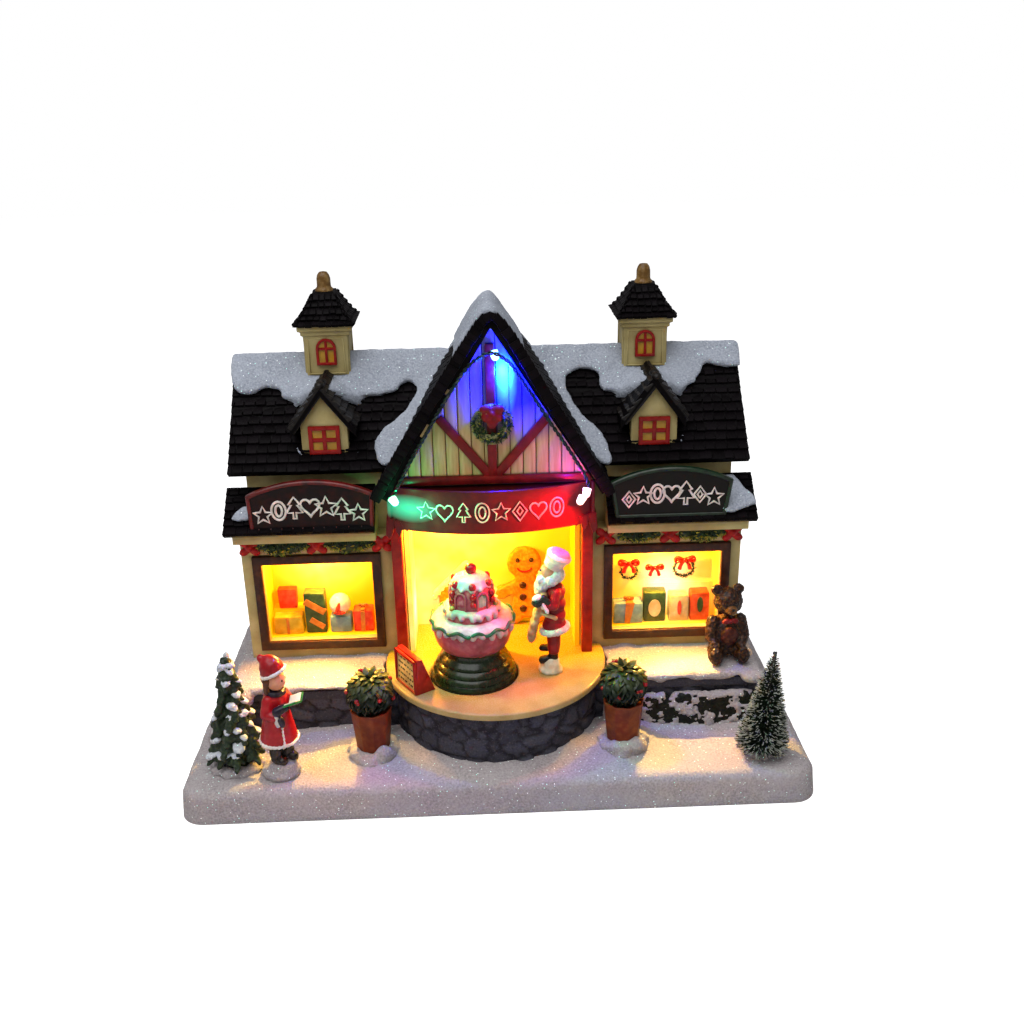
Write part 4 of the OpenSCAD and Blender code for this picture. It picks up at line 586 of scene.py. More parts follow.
radius = -(floor_low.y - BAY_CENTRE.y)
sweep = (math.radians(180 - WING_DEGREES + k / 80 * (180 + 2 * WING_DEGREES)) for k in range(81))
outline = [(-WING_HALF, floor_high.y), (-WING_HALF, WING_FRONT)]
outline += [(radius * math.cos(a), BAY_CENTRE.y + radius * math.sin(a)) for a in sweep]
outline += [(WING_HALF, WING_FRONT), (WING_HALF, floor_high.y)]
bm = bmesh.new()
rim_verts = [bm.verts.new((x, y, floor_high.z)) for x, y in outline]
edges = [bm.edges.new(pair) for pair in zip(rim_verts, rim_verts[1:] + rim_verts[:1])]
hole = [bm.verts.new((HOLE_CENTRE.x + HOLE_RADIUS * math.cos(a), HOLE_CENTRE.y + HOLE_RADIUS * math.sin(a),
                      floor_high.z)) for a in circle(72)]
edges += [bm.edges.new(pair) for pair in zip(hole, hole[1:] + hole[:1])]
bmesh.ops.triangle_fill(bm, edges=edges, use_beauty=True, use_dissolve=True, normal=(0, 0, 1))
bm.normal_update()
bmesh.ops.solidify(bm, geom=bm.faces[:], thickness=floor_high.z - terrace_high.z)
bmesh.ops.recalc_face_normals(bm, faces=bm.faces)
top_verts = [vert for vert in bm.verts if vert.co.z > floor_high.z - 1e-4]
edge_verts = [vert for vert in top_verts if len({round(face.normal.z, 1) for face in vert.link_faces}) > 1]
rim(bm, edge_verts, floor_high.z, FLOOR_ROUND)
piece("display_floor_plate", [(bm, cream_gloss)], ["display_floor"])

# Cake stand, on the turntable. A moulded foot with turned ribs, painted dark green and
# varnished, so that the lamps lie on it as soft streaks.
STAND_RIBS = ((17.2, 0.0), (17.2, 1.2), (16.5, 2.0), (16.9, 2.6), (16.7, 3.6), (15.4, 4.6), (15.8, 5.2),
              (15.4, 6.3), (13.9, 7.4), (14.2, 8.0), (13.8, 9.0), (12.0, 10.1), (11.4, 11.2), (11.4, 12.4),
              (12.4, 13.0), (12.6, 13.7))


def close_ends(bm):
    """Fills a skin's open ends and turns its faces outward."""
    bmesh.ops.holes_fill(bm, edges=[edge for edge in bm.edges if edge.is_boundary], sides=0)
    bmesh.ops.recalc_face_normals(bm, faces=bm.faces)


def turned(bm, profile, centre, steps=64):
    """A closed turned form from points (radius, height) at a centre."""
    verts = [bm.verts.new(centre + Vector((r, 0, z))) for r, z in profile]
    edges = [bm.edges.new(pair) for pair in zip(verts, verts[1:])]
    bmesh.ops.spin(bm, geom=verts + edges, cent=centre, axis=(0, 0, 1), angle=math.tau, steps=steps,
                   use_merge=True, use_normal_flip=False, use_duplicate=False)
    bmesh.ops.remove_doubles(bm, verts=bm.verts, dist=0.001)
    close_ends(bm)
    return bm


def paint(name, colour, roughness=0.42, worn=None, grain=2.2, depth=0.12, coat=0.15):
    """Brushed-on acrylic under varnish: uneven in tone, thinner where the brush lifted."""
    made, tree, place = material(name)
    stroke = add(tree, "TexNoise", {"Vector": place, "Scale": 1 / grain, "Detail": 4.0})
    patch = add(tree, "TexNoise", {"Vector": place, "Scale": 0.35 / grain, "Detail": 2.0})
    tone = mixed(tree, stretched(tree, stroke, 0.42, 0.72), colour, worn or colour)
    tone = mixed(tree, stretched(tree, patch, 0.62, 0.3, 0.0, 0.35), tone, "#150c08")
    surface_of(tree, tone, stretched(tree, stroke, 0.3, 0.7, roughness - 0.08, roughness + 0.1), stroke, depth,
               {"coat_weight": coat, "coat_roughness": 0.2})
    return made


stand_low, stand_high = span("cake_stand")
turn_centre = Vector((HOLE_CENTRE.x, HOLE_CENTRE.y, 0))
green_stand = paint("varnished_green", "#17240f", 0.24, "#22351a", coat=0.35)
bm = turned(bmesh.new(), STAND_RIBS, turn_centre + Vector((0, 0, stand_low.z)), 72)
piece("cake_stand_ribbed", [(bm, green_stand)], ["cake_stand"], "turntable")

# Cake, on the stand. A cast-resin bowl cake with a smaller tier and a domed top that has arched
# recesses. The parts are painted one by one, so the colours meet at soft, slightly uneven lines.
CAKE_PROFILE = ((11.8, 0.0), (13.4, 0.5), (14.7, 2.4), (15.6, 5.2), (16.0, 8.4), (15.8, 10.6), (15.0, 12.0),
                (11.4, 12.8), (11.0, 13.4), (11.0, 16.6), (10.4, 17.2), (8.9, 17.6), (8.6, 20.5),
                (8.4, 24.0), (7.6, 27.4), (5.9, 29.7), (3.2, 30.9), (0.0, 31.0))
SKIRT = ((0, 10.6), (15.4, 10.6), (16.5, 11.0), (16.4, 12.4), (14.6, 13.7), (10, 14.0), (0, 14.0))
COLLAR = ((0, 16.3), (10.6, 16.3), (11.3, 16.9), (11.0, 18.0), (9.2, 18.6), (0, 18.6))
CAP = ((0, 27.0), (7.9, 26.9), (8.1, 27.6), (6.4, 30.1), (3.4, 31.5), (0, 31.8))
ICING_VOXEL = 0.45
ARCHES = 6
CHERRY = 2.4


def tube(bm, points, radius, sides=8, closed=False):
    """A round bar along points; radius is one number or one for each point."""
    points = [Vector(point) for point in points]
    count = len(points)
    side = None
    rings = []
    for k, point in enumerate(points):
        ahead = points[(k + 1) % count] if closed else points[min(k + 1, count - 1)]
        behind = points[k - 1] if closed else points[max(k - 1, 0)]
        along = (ahead - behind).normalized()
        side = along.orthogonal() if side is None else side - along * side.dot(along)
        side.normalize()
        other = along.cross(side)
        r = radius if isinstance(radius, (int, float)) else radius[k]
        rings.append([point + (side * math.cos(a) + other * math.sin(a)) * r
                      for a in circle(sides)])
    before = set(bm.faces)
    if closed:
        rings.append(rings[0])
    lofted(bm, rings)
    if closed:
        bmesh.ops.remove_doubles(bm, verts=bm.verts, dist=0.001)
    else:
        ends = [edge for edge in bm.edges if edge.is_boundary]
        bmesh.ops.holes_fill(bm, edges=ends, sides=0)
    bmesh.ops.recalc_face_normals(bm, faces=[face for face in bm.faces if face not in before])


def joined(*parts):
    """One bmesh from several."""
    whole = bmesh.new()
    for part in parts:
        step = bpy.data.meshes.new("step")
        part.to_mesh(step)
        part.free()
        whole.from_mesh(step)
        bpy.data.meshes.remove(step)
    return whole


cake_foot = turn_centre + Vector((0, 0, span("cake_body")[0].z))


def on_cake(degrees, radius, height):
    """A place round the cake: 0 degrees is its front."""
    angle = math.radians(degrees - 90)
    return cake_foot + Vector((radius * math.cos(angle), radius * math.sin(angle), height))


pink = paint("pink_acrylic", "#a84c58", 0.4, "#ba666c", coat=0.05)
icing = paint("icing_white_gloss", "#b5a3a2", 0.34, "#ccbab6", coat=0.1)
berry_red = paint("berry_red_gloss", "#960a14", 0.24, "#b01c22", coat=0.4)
leaf_green = paint("leaf_green_gloss", "#1f5236", 0.34, "#2f6e48", coat=0.3)
rose = paint("rose_recess", "#a83450", 0.45, "#d9788c")
mint = paint("mint_recess", "#9cc0a8", 0.45, "#b5d6bf")
piece("cake_tiers", [(turned(bmesh.new(), CAKE_PROFILE, cake_foot, 72), pink)], ["cake_body"],
      "turntable")

skirt = turned(bmesh.new(), SKIRT, cake_foot)
for k in range(26):
    at = k * 360 / 26 + random.uniform(-3, 3)
    long = random.uniform(0.8, 3.4)
    ball(skirt, on_cake(at, 16.0, 11.2 - long * 0.45), (1.5, 1.5, 1.0 + long * 0.55))
collar = turned(bmesh.new(), COLLAR, cake_foot)
for k in range(18):
    long = random.uniform(0.8, 3.0)
    ball(collar, on_cake(k * 20 + random.uniform(-4, 4), 10.9, 16.8 - long * 0.4), (1.4, 1.4, 0.9 + long * 0.5))
cap = turned(bmesh.new(), CAP, cake_foot, 48)
for k in range(12):
    long = random.uniform(0.3, 1.4)
    ball(cap, on_cake(k * 30 + random.uniform(-5, 5), 7.8, 27.2 - long * 0.4), (1.3, 1.3, 0.8 + long * 0.5))
arches, rosy, minty, berries, sweets, wave = (bmesh.new() for _ in range(6))
for k in range(ARCHES):
    middle = 30 + k * 360 / ARCHES
    path = [on_cake(middle - 15, 8.9, 18.4 + j) for j in range(6)]
    path += [on_cake(middle + 15 * math.cos(a), 8.9 - 0.35 * math.sin(a), 23.4 + 2.3 * math.sin(a))
             for a in (math.pi * (1 - j / 8) for j in range(9))]
    path += [on_cake(middle + 15, 8.9, 23.4 - j) for j in range(6)]
    tube(arches, path, 0.62, 7)
    inner = minty if k % 3 == 0 else rosy
    for j in range(-1, 2):
        place = on_cake(middle + 7 * j, 8.1, 21.6)
        turn = Matrix.Rotation(math.radians(middle + 7 * j), 4, "Z")
        ball(inner, place, (1.3, 0.75, 3.6 - 0.5 * abs(j)), turn)
    for height, out, size in ((28.2, 7.4, 1.55), (24.6, 9.0, 1.35), (21.4, 9.3, 1.25)):
        ball(berries, on_cake(k * 360 / ARCHES + 4, out, height), (size, size, size * 1.15))
ball(berries, on_cake(0, 0.3, 33.4), (CHERRY, CHERRY, CHERRY * 0.95), fine=3)
for at, height in ((-52, 18.9), (75, 19.0), (160, 18.9)):
    ball(sweets, on_cake(at, 10.0, height), (1.2, 1.2, 1.1))
ripples = [(3 * k, math.radians(39 * k)) for k in range(120)]
wave_line = [on_cake(at, 16.6 + 0.25 * math.cos(a), 11.9 + 0.8 * math.sin(a)) for at, a in ripples]
tube(wave, wave_line, 0.72, closed=True)
drips = joined(*(melted(part, ICING_VOXEL, 0.15, 2.5, 4) for part in (skirt, collar, cap)))
sweet_yellow = paint("yellow_sweet", "#b9a24a", 0.4, "#d4c270")
piece("cake_icing_drips", [
    (drips, icing), (remeshed(arches, 0.35, 2), pink), (rosy, rose), (minty, mint), (berries, berry_red),
    (wave, leaf_green), (sweets, sweet_yellow)], ["cake_icing"], "turntable")

# Shop walls. One hollow cast shell, sprayed cream, with painted shade in brown darkening the
# corners and the strip under the eaves. Corner boards and a sill course are cast on it.
WALL_CREAM = "#c2b47e"
WALL_SHADE = "#9e8a54"
cream, tree, place = material("cream_wall_paint")
mottle = add(tree, "TexNoise", {"Vector": place, "Scale": 0.09, "Detail": 3.0})
grain = add(tree, "TexNoise", {"Vector": place, "Scale": 1.1, "Detail": 4.0})
tone = mixed(tree, stretched(tree, mottle, 0.35, 0.7, 0.75, 0.0), WALL_CREAM, WALL_SHADE)
tone = mixed(tree, stretched(tree, grain, 0.62, 0.78, 0.0, 0.3), tone, "#7c693b")
# Painted shade: an occlusion test darkens the corners and the strip under the eaves toward brown.
corner = add(tree, "AmbientOcclusion", {"Distance": 6 * MM}, samples=6, only_local=False)
tone = mixed(tree, stretched(tree, corner.outputs["AO"], 0.75, 0.3, 0.0, 0.55), tone, "#4d3b18")
surface_of(tree, tone, 0.55, grain, 0.12, {})
dress(cream, "house_body")

# Lamps. Warm and coloured lamps, 3 mm across, are pushed through holes in the casting. Each is
# a clear dome on a collar that glows in its own colour, with a small light at the same place.
# A lamp's light has a place, a colour, watts, a size, and where it is a spot a way and an angle.
LAMP_RADIUS = 1.5
LAMPS = {
    "room": ((-18.7, -13.6, 95.6), "#ffc22e", 0.38, 2.0, None, 0),
    "left": ((-72.7, -3.0, 78.2), "#ffbe48", 0.10, 1.5, None, 0),
    "right": ((72.7, -3.0, 78.2), "#ffbe48", 0.10, 1.5, None, 0),
    "left_sill": ((-70.7, -11.6, 77.5), "#ffbc3c", 0.12, 1.0, (0, -0.6, -0.8), 140),
    "right_sill": ((70.7, -11.6, 77.5), "#ffbe48", 0.16, 1.0, (0, -0.6, -0.8), 140),
    "left_ground": ((-62.0, -11.6, 77.5), "#ffd46c", 0.50, 1.0, (-0.30, -0.70, -0.66), 84),
    "right_ground": ((68.0, -11.6, 77.5), "#ffd46c", 0.48, 1.0, (0.22, -0.70, -0.66), 80),
    "blue": ((6.0, -28.2, 163.0), "#0808ff", 0.44, 1.2, None, 0),
    "cyan": ((5.2, -25.2, 163.0), "#18a8ff", 0.020, 0.8, None, 0),
    "green": ((-37.4, -40.0, 114.6), "#06f08c", 0.26, 1.2, (0.75, 0.3, -0.6), 104),
    "green_edge": ((-37.0, -36.0, 114.0), "#06f08c", 0.012, 1.0, None, 0),
    "pink": ((37.0, -40.6, 115.4), "#ff0428", 0.30, 1.2, (-0.7, 0.25, -0.65), 112),
    "pink_edge": ((34.0, -36.0, 114.0), "#ff0448", 0.018, 1.0, None, 0),
    "violet": ((33.0, -34.0, 120.0), "#6a20ff", 0.012, 1.2, None, 0),
}


def lamp_bulb(bm, tip, length, toward):
    """A clear lamp: a dome with a collar, its tip at a place, pointing a way."""
    toward = Vector(toward).normalized()
    turn = toward.to_track_quat("Z", "Y").to_matrix().to_4x4()
    ball(bm, Vector(tip) - toward * LAMP_RADIUS, LAMP_RADIUS, turn)
    back = Vector(tip) - toward * (LAMP_RADIUS + length / 2)
    bmesh.ops.create_cone(bm, cap_ends=True, segments=16, radius1=LAMP_RADIUS * 1.15, radius2=LAMP_RADIUS,
                          depth=length, matrix=Matrix.Translation(back) @ turn)


def lit_lamp(name, lens, strength):
    """A lamp's clear epoxy lens while lit: bright at the core, and glossy at its rim."""
    made = bpy.data.materials.new(name)
    tree = node_tree(made)
    rim_light = add(tree, "LayerWeight", {"Blend": 0.4}).outputs["Facing"]
    level = stretched(tree, rim_light, 0.0, 1.0, strength, strength * 0.4)
    surface_of(tree, lens, 0.12, None, 0, {"emission_color": linear(lens), "emission_strength": level})
    return made


for name, (spot, colour, watts, size, aim, cone) in LAMPS.items():
    light = put("lamp_" + name, bpy.data.lights.new("lamp_" + name, "SPOT" if aim else "POINT"))
    if aim:
        light.data.spot_size = math.radians(cone)
        light.data.spot_blend = 0.8
        light.rotation_euler = Vector(aim).to_track_quat("-Z", "Y").to_euler()
    light.data.energy = watts
    light.data.color = linear(colour)[:3]
    light.data.shadow_soft_size = size * MM
    light.location = Vector(spot) * MM
warm_lens = lit_lamp("warm_lamp_lens", "#fff3b4", 6.0)
bm = bmesh.new()
lamp_bulb(bm, (-18.7, -11.2, 95.2), 2.6, (0, -0.2, -1))
for side in (-1, 1):
    lamp_bulb(bm, (side * 72.7, -3.5, 79.6), 1.2, (0, -0.3, -1))
piece("warm_lamps", [(bm, warm_lens)], ["shop_lamps"])
lenses = []
for name, lens, level, tip, toward in (
        ("blue", "#9fe8ff", 5.0, (3.4, -29.6, 168.4), (0.3, 0.1, -1)),
        ("green", "#a8ffd6", 4.0, (-36.2, -33.4, 113.6), (0.5, -0.4, -0.6)),
        ("pink", "#ffc4cf", 4.0, (36.4, -33.6, 114.4), (-0.2, -0.5, -0.8)),
        ("rose", "#ffd9d0", 4.0, (33.6, -33.4, 111.6), (-0.5, -0.4, -0.7))):
    bulb = bmesh.new()
    lamp_bulb(bulb, tip, 2.2, toward)
    lenses.append((bulb, lit_lamp(name + "_lamp_lens", lens, level)))
piece("string_lamp_lenses", lenses, ["string_lamps"])

# Cake room lining. A bright yellow plastic insert fills the room behind the cake. Its lamp's
# light is painted on it as a glow, whitest near the lamp and deep yellow away from it.
GLOW_NEAR = "#fff690"
GLOW_FAR = "#f4b000"
LINING_YELLOW = "#e9b21c"
GLARE_REACH = 13


def lit_yellow(name, lamps, reach, near_level, far_level):
    """Yellow plastic with a lamp's light painted on as a glow: brighter within reach of a lamp, with a white
    glare close to it.
    """
    made, tree, place = material(name)
    closest = None
    for spot in lamps:
        away = add(tree, "VectorMath", {0: place, 1: Vector(spot)}, operation="DISTANCE").outputs["Value"]
        if closest is not None:
            away = add(tree, "Math", {0: closest, 1: away}, operation="MINIMUM").outputs[0]
        closest = away
    near = add(tree, "MapRange", {0: closest, 1: reach * 0.12, 2: reach, 3: 1.0, 4: 0.0},
               interpolation_type="SMOOTHSTEP").outputs[0]
    cloud = add(tree, "TexNoise", {"Vector": place, "Scale": 0.14, "Detail": 1.0})
    near = add(tree, "Math", {0: near, 1: stretched(tree, cloud, 0.3, 0.7, 0.75, 1.2)}, operation="MULTIPLY",
               use_clamp=True)
    core = stretched(tree, closest, GLARE_REACH * 0.4, GLARE_REACH, 1.0, 0.0)
    level = stretched(tree, near, 0.0, 1.0, far_level, near_level)
    level = add(tree, "Math", {0: level, 1: core}, operation="MAXIMUM")
    hue = mixed(tree, near.outputs[0], GLOW_FAR, GLOW_NEAR)
    surface_of(tree, LINING_YELLOW, 0.35, cloud, 0.3,
               {"emission_color": mixed(tree, core, hue, "#fffce4"), "emission_strength": level})
    return made


room_glow = lit_yellow("lit_yellow_lining", [(-16, 0, 92), (-30, 0, 54)], 46, 0.8, 0.34)
dress(room_glow, "room_lining")

# Shop displays. Behind each window is a moulded box, lit from its top, with small presents
# cast in it and painted by hand. They are toys and boxes of no make.
PRESENT_ROUND = 0.7
DISPLAY_WALL = 1.6
SIDES = ((-1, "left"), (1, "right"))
display_glow = {-1: lit_yellow("lit_display_left", [(-72.7, -2, 80)], 30, 0.95, 0.34),
                1: lit_yellow("lit_display_right", [(72.7, -2, 80), (75, 1, 61)], 30, 0.95, 0.34)}


def softened(bm, verts, by, segments=2):
    """Rounds every sharp edge among these verts."""
    edges = {edge for vert in verts for edge in vert.link_edges
             if len(edge.link_faces) == 2 and edge.calc_face_angle() > math.radians(30)}
    bmesh.ops.bevel(bm, geom=list(edges), offset=by, segments=segments, profile=0.5, affect="EDGES",
                    clamp_overlap=True, material=-1)


def worn_block(bm, low, high, by):
    """A block with rounded edges."""
    softened(bm, block(bm, low, high), by)


def worn_plate(bm, outline, low, high, axis, by):
    """A plate with rounded edges."""
    softened(bm, plate(bm, outline, low, high, axis), by)


def upright(low, high, inset, y):
    """The corners of a rectangle that faces the front, drawn in by an inset."""
    return [Vector((x, y, z)) for x, z in ((low.x + inset, low.z + inset), (high.x - inset, low.z + inset),
                                           (high.x - inset, high.z - inset), (low.x + inset, high.z - inset))]


def gift(x0, x1, z0, z1, y=-5.5, deep=6.5, lean=0.25):
    """A cast present: a box with worn corners, a little out of square."""
    bm = bmesh.new()
    verts = block(bm, (x0, y, z0), (x1, y + deep, z1))
    for vert in verts:
        across = random.uniform(-lean, lean)
        vert.co += Vector((across, 0, random.uniform(-lean, lean) if vert.co.z > z0 else 0))
    softened(bm, bm.verts[:], PRESENT_ROUND)
    return bm


def ribbon(bm, outline, y=-5.9):
    """A painted band on a present's front, with this outline."""
    plate(bm, outline, y, y + 0.8, "Y")
    return bm


def oval(x, z, rx, rz, count=20):
    """The outline of an oval about a place."""
    return [(x + rx * math.cos(a), z + rz * math.sin(a)) for a in circle(count)]


def strip(x0, z0, x1, z1, wide):
    """The outline of a straight band between two points."""
    along = (Vector((x1, z1)) - Vector((x0, z0))).normalized() * wide / 2
    return [(x0 - along.y, z0 + along.x), (x0 + along.y, z0 - along.x), (x1 + along.y, z1 - along.x),
            (x1 - along.y, z1 + along.x)]


def bow(bm, centre, size, turn=None):
    """A tied bow that faces the front: two loops with hollows, a knot and two tails."""
    centre, turn = Vector(centre), turn or Matrix.Identity(4)
    for side in (-1, 1):
        for at, radii, tilt in (((0.52, 0, 0.16), (0.46, 0.26, 0.2), 0.35),
                                ((0.55, 0, -0.12), (0.42, 0.26, 0.18), -0.3),
                                ((0.9, -0.02, 0.02), (0.16, 0.24, 0.3), 0.0)):
            place = turn @ Vector((side * at[0], at[1], at[2])) * size
            ball(bm, centre + place, [size * r for r in radii], turn @ Matrix.Rotation(-side * tilt, 4, "Y"))
        tail = ((0.1, -0.1), (0.38, -0.5), (0.5, -0.95))
        tail = [centre + turn @ Vector((side * x, -0.05, z)) * size for x, z in tail]
        tube(bm, tail, [0.14 * size, 0.18 * size, 0.2 * size], 6)
    ball(bm, centre + turn @ Vector((0, -0.14, 0)) * size, [size * 0.2, size * 0.24, size * 0.24], turn)
    return bm


def sprig_ring(bm, centre, radius, thick, count, size, arc=(0, 360), turn=None):
    """A wreath, or part of one, of small stiff leaves set all round a ring that faces the front."""
    turn = turn or Matrix.Identity(4)
    for k in range(count):
        at = math.radians(random.uniform(*arc))
        round_by = random.uniform(0, math.tau)
        out = Vector((math.cos(at), 0, math.sin(at)))
        skin = out * math.cos(round_by) + Vector((0, -1, 0)) * math.sin(round_by)
        spot = out * radius + skin * thick * random.uniform(0.55, 1.0)
        along = Vector((-math.sin(at), 0, math.cos(at))) * random.uniform(-1.1, 1.1) + skin
        leaf(bm, Vector(centre) + turn @ spot, turn @ along, size * random.uniform(0.8, 1.2))


def leaf(bm, place, along, size):
    """One stiff pointed leaf: four faces and a base."""
    turn = along.normalized().to_track_quat("Z", "Y").to_matrix().to_4x4()
    turn = turn @ Matrix.Rotation(random.uniform(0, math.tau), 4, "Z")
    bmesh.ops.create_cone(bm, cap_ends=True, segments=4, radius1=size * 0.42, radius2=0, depth=size * 1.6,
                          matrix=Matrix.Translation(place) @ turn @ Matrix.Diagonal((1, 0.5, 1, 1)))


ribbon_red = paint("bow_red", "#a30e12", 0.34, "#bb2018", 1.4, coat=0.12)
holly = paint("holly_green", "#15301c", 0.4, "#3d5a2c", 1.1, coat=0.2)
gift_red = paint("present_red", "#d03520", 0.4, "#e4563a")
gift_orange = paint("present_orange", "#c07024", 0.42, "#d48a3a")
gift_green = paint("present_green", "#2f4a2c", 0.4, "#46633c")
gift_blue = paint("present_blue", "#6f9298", 0.42, "#8eb0b2")
gift_cream = paint("present_cream", "#d9c48a", 0.42, "#eadcae")
gift_yellow = paint("present_yellow", "#c7a41f", 0.42, "#d8bb3c")
for side, name in SIDES:
    low, high = span("display_box_" + name)
    shell = bmesh.new()
    outer_front, outer_back = (upright(low, high, 0, y) for y in (low.y, high.y))
    inner_front, inner_back = (upright(low, high, DISPLAY_WALL, y) for y in (low.y, high.y - DISPLAY_WALL))
    lofted(shell, [inner_front, outer_front, outer_back])
    lofted(shell, [inner_back, inner_front])
    bmesh.ops.remove_doubles(shell, verts=shell.verts, dist=0.01)
    close_ends(shell)
    z = low.z + DISPLAY_WALL
    if side < 0:
        block(shell, (-95.0, 0.6, z), (-81.5, high.y - 0.4, 54.2))
        parts = [
            (shell, display_glow[side]), (gift(-94.2, -82.0, z, 53.2, -5.8, 6.2), gift_yellow),
            (gift(-92.8, -84.9, 54.0, 63.2, 0.4, 4.4), gift_red), (gift(-80.8, -72.0, z, 63.6), gift_green),
            (gift(-70.4, -61.2, z, 52.4), gift_blue), (gift(-60.5, -51.8, z, 55.0), gift_red)]
        bands = ribbon(bmesh.new(), strip(-88.4, z + 0.3, -88.4, 52.8, 1.2), -6.2)
        ribbon(bands, strip(-56.4, z + 0.4, -56.2, 54.6, 1.7))
        ribbon(bands, strip(-80.5, 60.2, -72.3, 54.8, 2.8))
        ribbon(bands, strip(-78.6, 51.6, -73.0, 47.8, 2.4))
        block(bands, (-57.1, -5.4, 54.7), (-55.4, 0.8, 55.4))
        bow(bands, (-56.2, -2.8, 56.4), 2.0)
        globe, toy = bmesh.new(), bmesh.new()
        ball(globe, (-66, -2.2, 57.2), 4.6, fine=3)
        ball(toy, (-66, -6.4, 54.6), (2.8, 0.9, 1.0))
        tube(toy, [(-67.0, -6.8, 54.6), (-66.4, -7.0, 57.2), (-65.7, -6.6, 59.6)], [1.1, 1.0, 0.5], 8)
        globe_white = paint("globe_white", "#efe9d4", 0.25, "#fffbe8", coat=0.4)
        parts += [(bands, gift_orange), (globe, globe_white), (remeshed(toy, 0.35, 2), gift_red)]
    else:
        block(shell, (66.0, 0.8, z), (95.0, high.y - 0.4, 60.3))
        parts = [
            (shell, display_glow[side]), (gift(51.6, 64.2, z, 54.4, -6.4, 7.0), gift_blue),
            (gift(64.6, 74.2, z, 58.8), gift_green), (gift(75.7, 84.2, z, 57.0), gift_cream),
            (gift(84.8, 93.0, z, 57.8), paint("present_coral", "#cf4a20", 0.42, "#e0683a"))]
        bands = ribbon(bmesh.new(), [(56.2, z + 0.6), (58.4, z + 0.2), (60.4, 54.6), (56.6, 54.6)], -6.8)
        block(bands, (56.8, -6.6, 54.3), (60.0, 0.4, 54.8))
        bow(bands, (58.2, -3.4, 55.8), 2.2)
        greens = bmesh.new()
        sprig_ring(greens, (59.0, 3.4, 65.4), 3.6, 0.7, 130, 0.9, (150, 390))
        sprig_ring(greens, (83.0, 3.2, 66.4), 4.2, 0.75, 220, 0.9)
        bows = bow(bmesh.new(), (58.8, 2.4, 69.6), 4.6)
        bow(bows, (70.2, 3.2, 66.8), 4.0)
        bow(bows, (83.0, 2.0, 70.6), 4.6)
        parts += [(bands, gift_orange), (greens, holly), (bows, ribbon_red),
                  (ribbon(bmesh.new(), oval(80.0, 51.4, 0.9, 3.4)), gift_red),
                  (ribbon(bmesh.new(), oval(69.2, 51.6, 2.7, 4.0)), gift_cream),
                  (ribbon(bmesh.new(), oval(88.9, 52.6, 1.3, 3.6)), gift_green)]
    piece("display_" + name, parts, ["display_box_" + name])

# Window frames. Each is a moulded frame, painted dark brown, with a small bevel to its inner
# and outer edges.
FRAME_WIDE = 3.7
FRAME_ROUND = 0.35
frame_brown = paint("frame_brown", "#35180b", 0.38, "#502a12", 3.0, coat=0.2)


def picture_frame(bm, low, high, wide, round_by):
    """A rectangular frame that faces the front, between two corners."""
    looped(bm, [upright(low, high, inset, y) for inset, y in
                ((0, high.y), (0, low.y), (wide, low.y), (wide, high.y))])
    softened(bm, bm.verts[:], round_by)
    return bm


for _, name in SIDES:
    moulding = picture_frame(bmesh.new(), *span("window_frame_" + name), FRAME_WIDE, FRAME_ROUND)
    piece("shop_window_frame_" + name, [(moulding, frame_brown)], ["window_frame_" + name])

# Frieze and holly garlands. A cream board runs over each window. Two cast swags hang on it
# between three ribbon bows. Their leaves are dark green; a few tips are brushed in yellow green,
# and the pale leaves on the lower side are a painted highlight from the light below.
FRIEZE_FRONT = -12.3
FRIEZE_BACK = -10.9
SWAG_Y = -13.0
GARLANDS = {"left": (((-96.0, -75.2, 89.6, 3.6, 1.5), (-69.0, -48.2, 90.2, 4.0, 1.6)), (-99.3, -71.9, -45.2)),
            "right": (((52.0, 69.0, 89.2, 3.0, 0.8), (77.6, 96.0, 89.6, 3.6, 1.2)), (46.8, 73.4, 99.4))}
